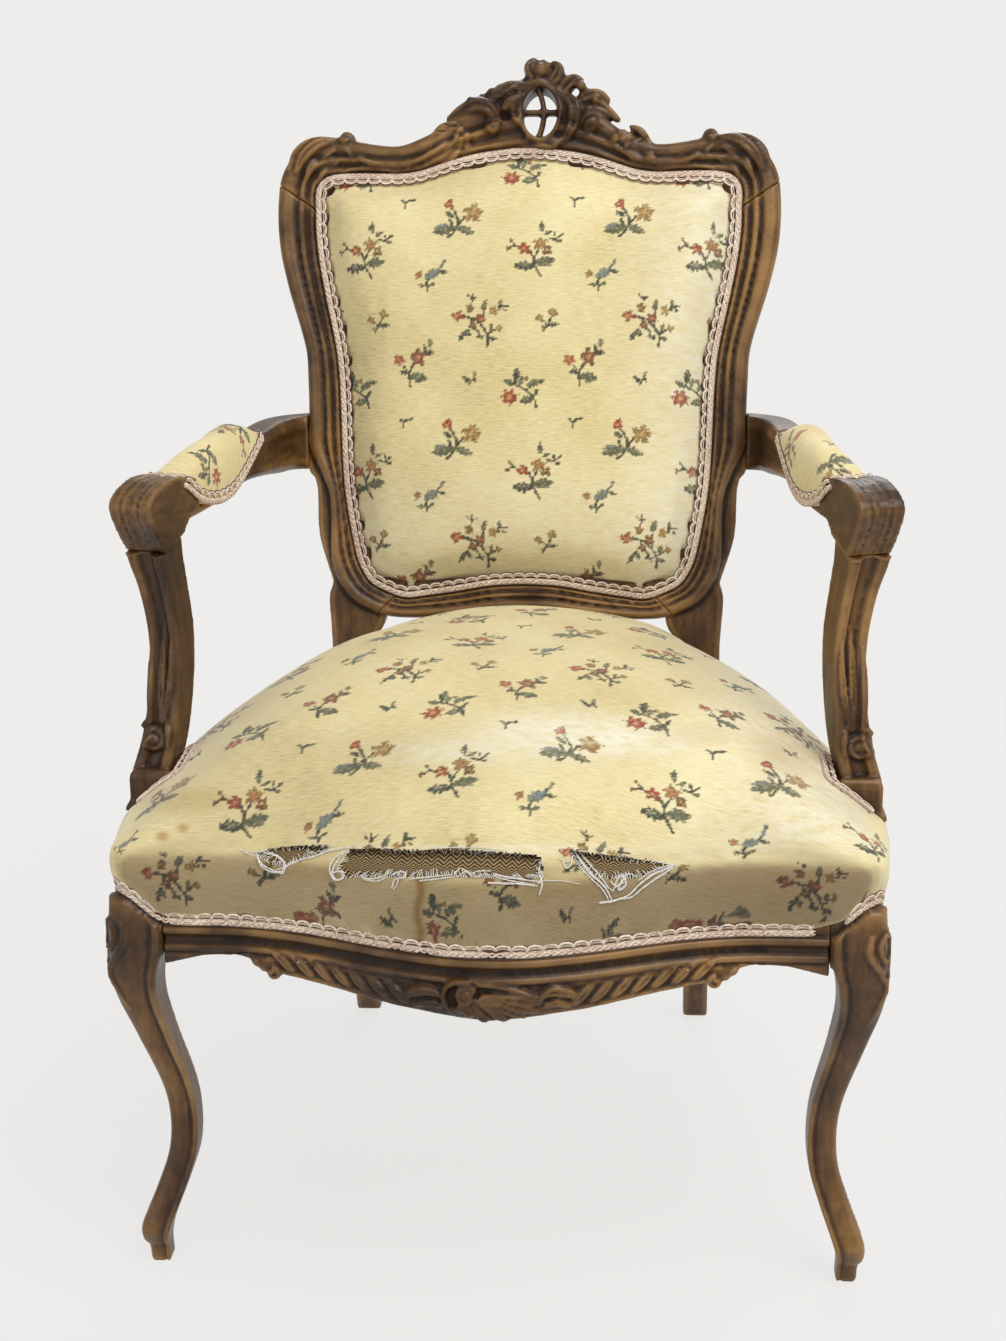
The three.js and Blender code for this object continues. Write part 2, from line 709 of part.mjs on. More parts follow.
function lowerBackRail() {
  const half = lowerRailPairs.map((pair, i) => {
    if (i > 0) return pair;
    const shift = new THREE.Vector2(-clearance, -clearance / 2);
    return { outer: pair.outer.clone().add(shift), inner: pair.inner.clone().add(shift) };
  });
  const pairs = [...half.map(mirrorPair), ...half.slice(0, -1).reverse()];
  return join(closedLoft(pairs.map(mouldingRing)), lowerRailTenon(0), mirrored(lowerRailTenon(0)));
}

// Carving: bands and leaves that lie on the raked face, each a loft of a domed section.

const carvedSectionShares = [[-1, -1], [-1, 0.3], [0, 1], [1, 0.3], [1, -1]];

// Path rows hold x, height, half width; the base and the relief are measured forwards.
function carvedBand(path, base, relief) {
  const rings = path.map(([x, height, half], i) => {
    const before = path[Math.max(i - 1, 0)];
    const after = path[Math.min(i + 1, path.length - 1)];
    const along = new THREE.Vector2(after[0] - before[0], after[1] - before[1]).normalize();
    return carvedSectionShares.map(([across, up]) => {
      const forward = up < 0 ? -mouldingDepth * 1.5 : base + relief * up;
      return backPoint(x - along.y * across * half, height + along.x * across * half, forward);
    });
  });
  return closedLoft(rings);
}

// A scroll that winds inwards from its rim; turns may be negative to wind the other way.
function volute(x, height, radius, startAngle, turns) {
  const path = steps(6).map((share) => {
    const angle = startAngle + 2 * Math.PI * turns * share;
    const reach = radius * (1 - scrollClosingShare * share);
    const half = (voluteBead / 2) * (1 - scrollThinningShare * share);
    return [x + (reach - half) * Math.cos(angle), height + (reach - half) * Math.sin(angle), half];
  });
  return carvedBand(path, -mouldingDepth / 2, carvingRelief);
}

function onBack(geometry) {
  const copy = geometry.clone();
  const place = copy.attributes.position;
  for (let i = 0; i < place.count; i++) {
    const point = backPoint(place.getX(i), place.getY(i), place.getZ(i));
    place.setXYZ(i, point.x, point.y, point.z);
  }
  return copy;
}

// Width of a leaf along its length, from its root to its tip.
const leafWidthShares = [[0, 0.52], [0.33, 0.97], [0.66, 0.77], [1, 0.32]];

// A leaf from its root to its tip, bowed sideways by a share of its length.
function leaf(rootX, rootHeight, tipX, tipHeight, bow) {
  const along = new THREE.Vector2(tipX - rootX, tipHeight - rootHeight);
  const path = steps(3).map((share) => {
    const side = bow * Math.sin(Math.PI * share);
    const half = (leafWidth / 2) * readTable(leafWidthShares, share);
    return [rootX + along.x * share - along.y * side, rootHeight + along.y * share + along.x * side, half];
  });
  return carvedBand(path, -mouldingDepth / 2, carvingRelief * 0.9);
}

// A rosette of five round petals about a raised eye.
function flower(x, height) {
  const petals = 5;
  const ring = (reachShare, forward) => steps(petals * 2).slice(0, -1).map((share) => {
    const angle = Math.PI / 2 + 2 * Math.PI * share;
    const lobe = 0.72 + 0.28 * Math.cos(petals * 2 * Math.PI * share);
    const reach = flowerRadius * 1.5 * lerp(reachShare, lobe * reachShare, reachShare);
    return backPoint(x + reach * Math.cos(angle), height + reach * Math.sin(angle), forward);
  });
  const low = -mouldingDepth * 1.5;
  return closedLoft([ring(1, low), ring(1, -petalRelief / 2), ring(0.7, petalRelief / 2), ring(0.25, 0)]);
}

// The four openings of the cartouche: an oval crossed by a bowed upright and a level bar.
function cartouchePiercings(middleX, middleHeight) {
  const depth = backThickness + mouldingDepth * 4;
  const oval = new THREE.Shape().absellipse(0, 0, piercingWidth / 2, piercingHeight / 2, 0, 2 * Math.PI);
  const options = { depth, bevelEnabled: false, curveSegments: 12 };
  const place = (shape) =>
    onBack(new THREE.ExtrudeGeometry(shape, options).translate(middleX, middleHeight, -depth * 0.7));
  const bow = piercingWidth / 5;
  const half = piercingBand / 2;
  const upright = new THREE.Shape();
  const uprightSteps = steps(5).map((share) => share * 2 - 1);
  const centre = (share) => bow * (1 - share * share) - bow / 2;
  uprightSteps.forEach((share, i) => {
    const point = [centre(share) - half, share * (piercingHeight / 2 + overrun)];
    if (i === 0) upright.moveTo(...point);
    else upright.lineTo(...point);
  });
  uprightSteps.reverse().forEach((share) =>
    upright.lineTo(centre(share) + half, share * (piercingHeight / 2 + overrun)));
  const bar = new THREE.Shape();
  const barHalf = piercingWidth / 2 + overrun;
  const barRise = piercingHeight * 0.02;
  bar.moveTo(-barHalf, barRise - half);
  bar.lineTo(barHalf, barRise - half);
  bar.lineTo(barHalf, barRise + half);
  bar.lineTo(-barHalf, barRise + half);
  return cut(place(oval), place(upright), place(bar));
}

// Places on the crest are shares of the back's half width and of the crest's rise.
// Scrolls: place, radius share, start in turns, and how many turns they wind.
const crestScrollShares = [
  [-0.161, 0.51, 1, 0.25, 1.1], [0.219, 0.51, 1, 0.25, -1.1], [-0.722, 0.43, 0.9, 0.25, -0.9],
  [0.722, 0.43, 0.9, 0.25, 0.9], [-0.036, 0.49, 0.8, 0, 1.1], [-0.225, 0.74, 0.7, 0, 1],
  [0.155, 0.79, 0.8, 0.5, -1],
];
// Leaves: root, tip and bow.
const crestLeafShares = [
  [-0.98, 0.1, -0.9, 0.36, 0.15], [0.98, 0.1, 0.9, 0.36, -0.15], [-0.95, 0.1, -0.84, 0.28, 0.15],
  [0.95, 0.1, 0.84, 0.28, -0.15], [-0.33, 0.33, -0.46, 0.22, -0.12], [0.33, 0.33, 0.46, 0.22, 0.12],
  [0.18, 0.71, 0.3, 0.76, 0.2],
];
const crestFlowerShares = [[-0.272, 0.42], [0.348, 0.38]];
const rimSweepShare = 0.97;

const crestX = (share) => backHalfWidth * share;
const crestHeight = (share) => crestJoint + crestRise * share;
const cartoucheHeight = crestJoint + crestRise - cartoucheDrop;

// The raised rim round the piercings.
function cartoucheRim() {
  const half = voluteBead * 0.8;
  const path = steps(10).map((share) => {
    const angle = 2 * Math.PI * rimSweepShare * share;
    return [
      cartoucheOffset + (piercingWidth / 2 + half) * Math.cos(angle),
      cartoucheHeight + (piercingHeight / 2 + half) * Math.sin(angle), half,
    ];
  });
  return carvedBand(path, -mouldingDepth / 3, carvingRelief);
}

function crestCarving() {
  const scrolls = crestScrollShares.map(([x, rise, radius, start, turns]) =>
    volute(crestX(x), crestHeight(rise), voluteRadius * radius, 2 * Math.PI * start, turns));
  const leaves = crestLeafShares.map(([rootX, rootRise, tipX, tipRise, bow]) =>
    leaf(crestX(rootX), crestHeight(rootRise), crestX(tipX), crestHeight(tipRise), bow));
  const flowers = crestFlowerShares.map(([x, rise]) => flower(crestX(x), crestHeight(rise)));
  return [cartoucheRim(), ...scrolls, ...leaves, ...flowers, finial(cartoucheOffset / 3, crestHeight(1))];
}

// The bud on top, a leaf that curls forwards.
function finial(x, height) {
  const ball = new THREE.SphereGeometry(1, 7, 5);
  ball.scale(finialWidth / 2, finialHeight / 2, finialThickness / 2);
  ball.translate(x, height - finialSink, -finialSetback);
  return onBack(ball);
}

function crestRail() {
  const half = crestPairs.map((pair, i) => {
    if (i > 0) return pair;
    const rise = new THREE.Vector2(0, clearance);
    return { outer: pair.outer.clone().add(rise), inner: pair.inner.clone().add(rise) };
  });
  const rings = [...half.map(mirrorPair), ...half.slice(0, -1).reverse()].map(mouldingRing);
  const carved = join(closedLoft(rings), ...crestCarving());
  return cut(
    carved, cartouchePiercings(cartoucheOffset, cartoucheHeight),
    crestTenon(clearance), mirrored(crestTenon(clearance)),
  );
}

// Arms

const armJointY = backFaceAt(armHeight) + backThickness / 2;

// Rows: shares of the way from the stile to the knuckle, sideways and forwards, then the rise in
// shares of the arm's thickness, the width share and the height share of the arm's thickness.
const armPathShares = [
  [0, 0, 0, 0.9, 1.8], [0.14, 0.012, 0, 0.9, 1.77], [0.3, 0.07, 0.04, 0.94, 1.73],
  [0.38, 0.17, 0.1, 0.97, 1.67], [0.45, 0.33, 0.2, 1, 1.4], [0.53, 0.51, 0.3, 1, 1.27],
  [0.62, 0.7, 0.07, 1, 1.07], [0.74, 0.83, -0.03, 1.03, 1.07], [0.89, 0.925, -0.1, 1.09, 1.2],
];
const armSectionShares = [
  [-0.7, -1], [0.7, -1], [1, -0.7], [0.8, -0.35], [0.8, 0.35], [1, 0.7],
  [0.7, 1], [-0.7, 1], [-1, 0.7], [-0.8, 0.35], [-0.8, -0.35], [-1, -0.7],
];

function armStations() {
  const start = armSeatHalf + clearance;
  return armPathShares.map(([sideShare, frontShare, riseShare, widthShare, heightShare]) => ({
    at: vector(
      lerp(start, knuckleSpread, sideShare), lerp(armJointY, knuckleReach, frontShare),
      armHeight + armThickness * riseShare,
    ),
    width: armWidth * widthShare,
    height: armThickness * heightShare,
  }));
}

// The arm's middle line, with its width and height, at a share of its length.
function armAt(share) {
  const stations = armStations();
  const path = smoothPath(stations.map((station) => station.at));
  const at = path.getPoint(share);
  const along = share === 0 ? vector(1, 0, 0) : path.getTangent(share).setZ(0).normalize();
  const place = share * (stations.length - 1);
  const rows = (key) => stations.map((station, i) => [i, station[key]]);
  return {
    at, along, side: vector(along.y, -along.x, 0),
    width: readTable(rows('width'), place), height: readTable(rows('height'), place),
  };
}

function armBar(growth) {
  const rings = steps(10).map((share) => {
    const { at, side, width, height } = armAt(share);
    return armSectionShares.map(([across, up]) =>
      at.clone().addScaledVector(side, across * (width / 2 + growth))
        .add(vector(0, 0, up * (height / 2 + growth))));
  });
  return closedLoft(rings);
}

const knuckleTurn = THREE.MathUtils.degToRad(20);

// Side outline of the knuckle: shares of its length forwards and of its height upwards.
const knuckleShares = [
  [-0.62, 0.42], [-0.3, 0.47], [0, 0.44], [0.24, 0.27], [0.37, 0.05], [0.39, -0.12], [0.3, -0.34],
  [0.17, -0.6], [0.07, -0.85], [-0.39, -0.59], [-0.5, -0.42], [-0.62, -0.28], [-0.8, -0.24], [-0.8, 0.34],
];

// Bodies drawn in the knuckle's own frame: across, forwards and up from its middle.
function inKnuckleFrame(geometry) {
  const frame = new THREE.Matrix4().makeBasis(
    vector(Math.cos(knuckleTurn), Math.sin(knuckleTurn), 0),
    vector(Math.sin(knuckleTurn), -Math.cos(knuckleTurn), 0),
    vector(0, 0, 1),
  ).setPosition(knuckleSpread, knuckleReach, armHeight);
  return turnedOver(geometry.clone().applyMatrix4(frame));
}

// A plate of the knuckle; an inset sets it back from the nose and the top.
const noseShare = 0.1;
const topShare = 0.2;

function knucklePlate(across, thickness, inset) {
  const ring = (x) => knuckleShares.map(([forward, up]) => vector(
    x, forward * knuckleLength - (forward > noseShare ? inset : 0),
    up * knuckleHeight - (up > topShare ? inset : 0),
  ));
  return inKnuckleFrame(closedLoft([ring(across - thickness / 2), ring(across + thickness / 2)]));
}

function knuckle() {
  const cheekPlace = (knuckleWidth - knuckleCheek) / 2;
  return join(
    knucklePlate(-cheekPlace, knuckleCheek, 0), knucklePlate(0, knuckleWidth - knuckleCheek, voluteBead),
    knucklePlate(cheekPlace, knuckleCheek, 0), knucklePlate(0, knuckleFillet, voluteBead / 3),
  );
}

// Everything above the sloping joint between the knuckle and its support.
function aboveArmJoint(growth) {
  const [front, rear] = [knuckleShares[8], knuckleShares[9]].map(([forward, up]) =>
    new THREE.Vector2(forward * knuckleLength, up * knuckleHeight));
  const along = front.clone().sub(rear).normalize();
  const reach = knuckleLength;
  const start = rear.clone().addScaledVector(along, -reach);
  const end = front.clone().addScaledVector(along, reach);
  const ring = (x) => [
    vector(x, start.x, start.y - growth), vector(x, end.x, end.y - growth),
    vector(x, end.x, reach * 2), vector(x, start.x, reach * 2),
  ];
  return inKnuckleFrame(closedLoft([ring(-reach), ring(reach)]));
}

function armSupportTenon(growth) {
  const [front, rear] = [knuckleShares[8], knuckleShares[9]];
  const middle = ((front[0] + rear[0]) / 2) * knuckleLength;
  const height = ((front[1] + rear[1]) / 2) * knuckleHeight;
  const half = backTenonThickness / 2;
  const low = vector(-half, middle - half, height - backTenonLength);
  const high = vector(half, middle + half, height + backTenonLength);
  return inKnuckleFrame(grownBlock(low, high, growth));
}

function armTenon(growth) {
  const half = backTenonThickness / 2;
  const low = vector(armSeatHalf - backTenonLength, armJointY - half, armHeight - backTenonWidth);
  const high = vector(armSeatHalf + overrun, armJointY + half, armHeight + backTenonWidth);
  return grownBlock(low, high, growth);
}

function rightArm() {
  return cut(join(armBar(0), knuckle(), armTenon(0)), armSupportTenon(clearance));
}

// Rows: height share from the base's top to the joint, sideways and backwards drift as shares of
// the support's width, then width share and depth share.
const supportShares = [
  [0, 0, 0.15, 1.2, 1.2], [0.15, -0.25, 0.45, 1.1, 1.12], [0.38, -0.42, 0.9, 1.02, 1.02],
  [0.6, -0.42, 1.15, 1, 0.96], [0.8, -0.22, 1.3, 1, 0.92], [0.93, -0.02, 1.38, 1.05, 0.95],
  [1.1, 0.1, 1.3, 1.15, 1],
];
const supportSectionShares = [
  [-1, -1], [1, -1], [1, 0.8], [0.82, 1], [0.45, 1], [0.3, 0.7],
  [-0.3, 0.7], [-0.45, 1], [-0.82, 1], [-1, 0.8],
];

function supportTenon(growth) {
  const low = vector(
    supportSpread - supportTenonWidth / 2, supportReach - supportTenonDepth / 2, railTop - supportTenonLength,
  );
  const high = vector(
    supportSpread + supportTenonWidth / 2, supportReach + supportTenonDepth / 2, supportBaseBottom + overrun,
  );
  return grownBlock(low, high, growth);
}

function supportBase(growth) {
  const half = [supportBaseWidth / 2, supportBaseDepth / 2];
  const ring = (z, extra) => {
    const [x, y] = half.map((size) => size + extra + growth);
    return [[-x, -y], [x, -y], [x, y], [-x, y]].map(([dx, dy]) =>
      vector(supportSpread + dx, supportReach + dy, z));
  };
  const lip = voluteBead;
  const bottom = supportBaseBottom - growth;
  return closedLoft([
    ring(bottom, lip), ring(bottom + lip, lip), ring(bottom + lip * 2, lip / 2), ring(bottom + lip * 3, 0),
    ring(supportBaseBottom + supportBaseHeight - lip, 0), ring(supportBaseBottom + supportBaseHeight, -lip),
  ]);
}

// The neck under the base, which the cover is cut around, stands on the rail.
function supportNeck(growth) {
  const half = [supportTenonWidth / 2 + coverRebate / 2, supportTenonDepth / 2 + coverRebate / 2];
  const low = vector(supportSpread - half[0], supportReach - half[1], railTop + clearance);
  const high = vector(supportSpread + half[0], supportReach + half[1], supportBaseBottom + overrun);
  return grownBlock(low, high, growth);
}

function supportPost(growth) {
  const bottom = supportBaseBottom + supportBaseHeight;
  const joint = armHeight + ((knuckleShares[8][1] + knuckleShares[9][1]) / 2) * knuckleHeight;
  const rings = supportShares.map(([heightShare, sideShare, backShare, widthShare, depthShare]) => {
    const turn = knuckleTurn * Math.min(1, 0.3 + heightShare);
    const side = vector(Math.cos(turn), Math.sin(turn), 0);
    const front = vector(Math.sin(turn), -Math.cos(turn), 0);
    const middle = vector(
      supportSpread + supportWidth * sideShare, supportReach + supportWidth * backShare,
      lerp(bottom - overrun, joint, heightShare),
    );
    return supportSectionShares.map(([across, forward]) =>
      middle.clone().addScaledVector(side, across * ((supportWidth * widthShare) / 2 + growth))
        .addScaledVector(front, forward * ((supportDepth * depthShare) / 2 + growth)));
  });
  return closedLoft(rings);
}

function rightArmSupport() {
  const post = cut(supportPost(0), aboveArmJoint(clearance));
  return join(post, supportBase(0), supportNeck(0), supportTenon(0), armSupportTenon(0));
}

// Corner blocks and their screws

const blockBottom = ledgeHeight + tenonShoulder;
const innerSide = (y) => sideRailFace(y) - railThickness - clearance * 3;

const frontBlock = {
  corner: vector(railHalfLength, 0, 0),
  outline() {
    const face = frontFace + railThickness + clearance;
    return [
      [railHalfLength - blockLeg, face], [railHalfLength - clearance, face],
      [railHalfLength - clearance, clearance], [innerSide(clearance), clearance],
      [innerSide(blockLeg / 2), blockLeg / 2], [innerSide(blockLeg), blockLeg],
    ];
  },
};

const stileInner = rearFootSpread - stilePostWidth / 2;
const rearBlock = {
  corner: vector(stileInner, seatDepth, 0),
  outline() {
    const face = rearRailFront - clearance;
    const shoulder = seatDepth - clearance;
    return [
      [stileInner - clearance - blockLeg, face], [stileInner - clearance, face],
      [stileInner - clearance, shoulder], [innerSide(shoulder), shoulder],
      [innerSide(shoulder - blockLeg / 2), shoulder - blockLeg / 2],
      [innerSide(shoulder - blockLeg), shoulder - blockLeg],
    ];
  },
};

// The screw's line: it runs from the middle of the block's open face into the corner of the post.
function screwLine(place) {
  const outline = place.outline();
  const [start, end] = [outline[0], outline.at(-1)];
  const face = vector((start[0] + end[0]) / 2, (start[1] + end[1]) / 2, 0);
  const axis = place.corner.clone().sub(face).normalize();
  const head = face.clone().addScaledVector(axis, -screwHeadDiameter / 8);
  return { head: head.setZ(blockBottom + blockHeight / 2), axis };
}

// A body turned about +Y and laid along the screw's axis from its head.
function alongScrew({ head, axis }, profile) {
  const turned = new THREE.LatheGeometry(profile.map(([r, y]) => new THREE.Vector2(r, y)), 8);
  const turn = new THREE.Quaternion().setFromUnitVectors(vector(0, 1, 0), axis);
  return turned.applyQuaternion(turn).translate(head.x, head.y, head.z);
}

function screw(line) {
  const [radius, headRadius] = [screwDiameter / 2, screwHeadDiameter / 2];
  return alongScrew(line, [
    [0, 0], [headRadius, 0], [headRadius, radius / 2], [radius, radius * 1.6],
    [radius, screwLength - screwDiameter], [0, screwLength],
  ]);
}

function screwHole(place) {
  const [radius, headRadius] = [screwDiameter / 2 + clearance, screwHeadDiameter / 2 + clearance];
  return alongScrew(screwLine(place), [
    [0, -overrun], [headRadius, -overrun], [headRadius, radius / 2 + clearance],
    [radius, radius * 1.6 + clearance], [radius, screwLength + clearance], [0, screwLength + clearance],
  ]);
}

function cornerBlock(place) {
  const ring = (z) => place.outline().map(([x, y]) => vector(x, y, z));
  const body = closedLoft([ring(blockBottom), ring(blockBottom + blockHeight)]);
  return cut(body, screwHole(place));
}

// Webbing: straps woven over and under each other below the rails.

const strapTop = ledgeHeight - clearance;
const strapMiddle = strapTop - strapThickness / 2 - strapWave;

// Rows hold the place along the strap, which at its ends depends on the side of the strap, and
// whether it rides over (1), under (-1) or lies against the rails (0).
function strap(rows, across, sign) {
  const half = strapWidth / 2;
  const rings = rows.map(([placeAt, wave]) => {
    const z = strapMiddle + strapWave * (wave === 0 ? 1 : wave * sign);
    const corner = (side, up) =>
      across(placeAt(side * half), side * half).setZ(z + (up * strapThickness) / 2);
    return [corner(-1, -1), corner(1, -1), corner(1, 1), corner(-1, 1)];
  });
  return closedLoft(rings);
}

const strapXs = [-1, 0, 1].map((share) => share * strapPitch);
const strapYs = [0, 1, 2].map((share) => strapSetback + share * strapRearPitch);

const strapGrip = ledgeDepth - overrun;

function waveRows(startAt, endAt, crossings) {
  const half = strapWidth / 2 + overrun / 2;
  const middle = crossings.flatMap((place, i) => {
    const wave = i % 2 === 0 ? 1 : -1;
    return [[() => place - half, wave], [() => place + half, wave]];
  });
  return [[startAt, 0], ...middle, [endAt, 0]];
}

function lengthwiseStrap(i) {
  const x = strapXs[i];
  const startAt = (side) => frontRailFace(x + side) + railThickness - strapGrip;
  const rows = waveRows(startAt, () => rearRailFront + strapGrip, strapYs);
  return strap(rows, (place, side) => vector(x + side, place, 0), i % 2 === 0 ? 1 : -1);
}

function crosswiseStrap(i) {
  const y = strapYs[i];
  const endAt = (side) => sideRailFace(y + side) - railThickness + strapGrip;
  const rows = waveRows((side) => -endAt(side), endAt, strapXs);
  return strap(rows, (place, side) => vector(place, y + side, 0), i % 2 === 0 ? -1 : 1);
}

// Springs: waisted coils that stand where the straps cross, tied under the canvas.

const springBase = strapTop + clearance + wireDiameter / 2;
const springHeight = (seatCrown - springBase) * springHeightShare;

function spring(x, y) {
  const count = springTurns * 4;
  const rings = steps(count).map((share) => {
    const angle = 2 * Math.PI * springTurns * share;
    const waist = Math.cos(Math.PI * (share * 2 - 1) / 2);
    const radius = lerp(springRadius, springWaist, waist);
    const lift = THREE.MathUtils.clamp((share * springTurns - 0.5) / (springTurns - 1), 0, 1);
    const outward = vector(Math.cos(angle), Math.sin(angle), 0);
    const middle = vector(x, y, springBase + springHeight * lift).addScaledVector(outward, radius);
    return [0, 1, 2].map((corner) => {
      const turn = (2 * Math.PI * corner) / 3;
      return middle.clone().addScaledVector(outward, (wireDiameter / 2) * Math.cos(turn))
        .add(vector(0, 0, (wireDiameter / 2) * Math.sin(turn)));
    });
  });
  return closedLoft(rings);
}

const springTop = springBase + springHeight + wireDiameter / 2;

// Upholstery of the seat

// Height of the seat's rounded edge, above which it is domed.
function shoulderHeight(point) {
  const across = Math.abs(point.x);
  if (point.y > seatDepth) {
    const share = Math.min(across / seatRearHalf, 1);
    return railTop + shoulderRise * (2.05 - 0.85 * share ** 2.2);
  }
  if (point.y < 0) return railTop + shoulderRise * lerp(1, 0.75, across / seatFrontHalf);
  return railTop + shoulderRise * lerp(0.75, 1.2, (point.y / seatDepth) ** 2);
}

const seatMiddle = vector(0, seatCrownSetback, 0);

// A point of the seat's rim carried towards the crown. The rings become round as they close in.
function towardCrown(point, share) {
  const arm = point.clone().sub(seatMiddle);
  const [across, along] = [arm.x / crownHalfWidth, arm.y / crownHalfDepth];
  const roundness = 1 / Math.hypot(across, along);
  const reach = lerp(1, roundness, Math.min(crownRounding * share, 1)) * (1 - share);
  return seatMiddle.clone().addScaledVector(arm, reach);
}

function seatDome(point, share, drop) {
  const shoulder = shoulderHeight(point);
  const rise = 1 - Math.abs(1 - share) ** 2.6;
  return shoulder + (seatCrown - shoulder) * rise - drop;
}

// Rings of the seat from its lower edge over the shoulder to the crown, set in by a depth.
function seatRings(depth, rows, toward, bottom, fineness = fineSteps) {
  const edge = seatOutline(0, fineness);
  const wall = rows.map(([growth, share, lift]) => seatOutline(growth - depth, fineness).map((point, i) => {
    const low = bottom(edge[i]);
    const z = lerp(low, shoulderHeight(edge[i]) - depth, share) + lift;
    return vector(point.x, point.y, z);
  }));
  const rim = seatOutline(-seatBulge - depth, fineness);
  const dome = toward.map((share) => rim.map((point, i) => {
    const place = towardCrown(point, share);
    return place.setZ(seatDome(edge[i], share, depth));
  }));
  return [...wall, ...dome];
}

const seatWallRows = [
  [-coverRebate + fabricThickness + coverEase, 0, 0], [seatBulge * 0.45, 0.3, 0], [seatBulge, 0.72, 0],
  [seatBulge * 0.7, 0.92, 0], [-seatBulge * 0.1, 1, 0],
];
const seatDomeShares = [0.1, 0.27, 0.5, 0.94];
// The layers under the cover follow it with fewer rows.
const innerWallRows = seatWallRows.filter((_, i) => i !== 3);
const innerDomeShares = [0.18, 0.5, 0.94];

// A skin between two depths of the seat's surface, open below.
function seatSkin(outerDepth, thickness, rows, toward, bottom, fineness) {
  const outer = seatRings(outerDepth, rows, toward, bottom, fineness);
  const inner = seatRings(outerDepth + thickness, rows, toward, bottom, fineness);
  return closedLoft([...inner.reverse(), ...outer]);
}

const supportRoom = (growth) =>
  [supportBase, supportNeck, supportPost].flatMap((form) => [form(growth), mirrored(form(growth))]);
const stileRoom = (growth) => [stileCore(growth), mirrored(stileCore(growth))];

// The split in the cover along its front edge.
function tear() {
  const split = new THREE.SphereGeometry(1, 14, 8);
  split.scale(tearLength / 2, bowDepth, tearWidth / 2);
  return split.translate(tearOffset, frontFace - tearForward, tearHeight);
}

function seatCover() {
  const skin = seatSkin(0, fabricThickness, seatWallRows, seatDomeShares, coverEdge);
  return cut(skin, tear(), ...supportRoom(clearance), ...stileRoom(clearance));
}

const underCoverDepth = fabricThickness + layerEase;
const stuffingDepth = underCoverDepth + underCoverThickness + layerEase;

function seatUnderCover() {
  const bottom = () => railTop + clearance;
  const skin = seatSkin(
    underCoverDepth, underCoverThickness, innerWallRows, innerDomeShares, bottom, coarseSteps,
  );
  return cut(skin, ...supportRoom(clearance), ...stileRoom(clearance));
}

// The canvas rises from the rails over the springs.
const canvasShares = [[0, 0], [0.09, 0.5], [0.19, 1], [0.9, 1]];

function canvasRings(lift) {
  const rim = seatOutline(-railThickness / 2, coarseSteps);
  return canvasShares.map(([toward, riseShare]) => rim.map((point) => {
    const place = towardCrown(point, toward);
    return place.setZ(lerp(railTop, springTop, riseShare) + clearance + lift);
  }));
}

function springCanvas() {
  const rings = [...canvasRings(0).reverse(), ...canvasRings(canvasThickness)];
  return cut(closedLoft(rings), ...supportRoom(clearance), ...stileRoom(clearance));
}

function seatStuffing() {
  const below = canvasRings(canvasThickness + clearance).reverse();
  const bottom = () => railTop + canvasThickness + clearance * 2;
  const above = seatRings(stuffingDepth, innerWallRows.slice(1), innerDomeShares, bottom, coarseSteps);
  const stuffing = closedLoft([...below, ...above]);
  return largestBody(cut(stuffing, ...supportRoom(clearance), ...stileRoom(clearance)));
}

function seatGimp() {
  const edge = seatOutline(0);
  const unit = seatOutline(1);
  const held = edge.map((_, i) => i).filter((i) => edge[i].y < seatDepth - gimpWidth * 2);
  const start = held.findIndex((i, k) => k > 0 && i !== held[k - 1] + 1);
  const ordered = start > 0 ? [...held.slice(start), ...held.slice(0, start)] : held;
  const wall = seatWallRows.map(([growth, share]) => [share, growth + clearance]);
  const rings = ordered.map((i) => {
    const low = coverEdge(edge[i]) + clearance;
    const share = (gimpWidth + clearance) / (shoulderHeight(edge[i]) - low);
    const [foot, head] = [wall[0][1], readTable(wall, share) + clearance];
    const outward = unit[i].clone().sub(edge[i]);
    const at = (growth, z) => edge[i].clone().addScaledVector(outward, growth).setZ(z);
    return [
      at(foot + clearance, low), at(head, low + gimpWidth),
      at(head + gimpThickness, low + gimpWidth), at(foot + gimpThickness, low),
    ];
  });
  return closedLoft(rings);
}

// Upholstery of the back

const openingInset = 2;

// Drops the points of a line that lie nearly on the way between their neighbours, and its last.
function thinned(ring, tolerance) {
  const kept = [ring[0]];
  for (let i = 1; i + 1 < ring.length; i++) {
    const [from, to] = [kept.at(-1), ring[i + 1]];
    const line = new THREE.Line3(from, to);
    const skipped = ring.slice(ring.indexOf(from) + 1, i + 1);
    const strays = skipped.some((point) =>
      line.closestPointToPoint(point, true, vector(0, 0, 0)).distanceTo(point) > tolerance);
    if (strays) kept.push(ring[i]);
  }
  return kept;
}

const backMiddle = new THREE.Vector2(0, backSill + stileHeight * 0.54);

// The wood's inner edge round the back panel, moved away from its middle by a growth.
function backOpening(growth) {
  const right = [
    ...lowerRailPairs.slice(1).reverse().map((pair) => pair.inner),
    ...stilePairs.map((pair) => pair.inner),
    ...crestPairs.slice(1).map((pair) => pair.inner),
  ].map((point) => vector(point.x, point.y, 0));
  const half = thinned(right, openingInset * 0.75);
  half.push(right.at(-1));
  const left = half.slice(1, -1).reverse().map((point) => vector(-point.x, point.y, 0));
  return [...half, ...left].map((point) => {
    const place = new THREE.Vector2(point.x, point.y);
    const outward = place.clone().sub(backMiddle).normalize();
    return place.addScaledVector(outward, growth);
  });
}

// Rows: inset from the opening, share of the way to the middle, and how far forward.
function backRings(rows) {
  return rows.map(([inset, toward, forward]) =>
    backOpening(-inset).map((point) => {
      const place = point.clone().lerp(backMiddle, toward);
      return backPoint(place.x, place.y, forward);
    }));
}

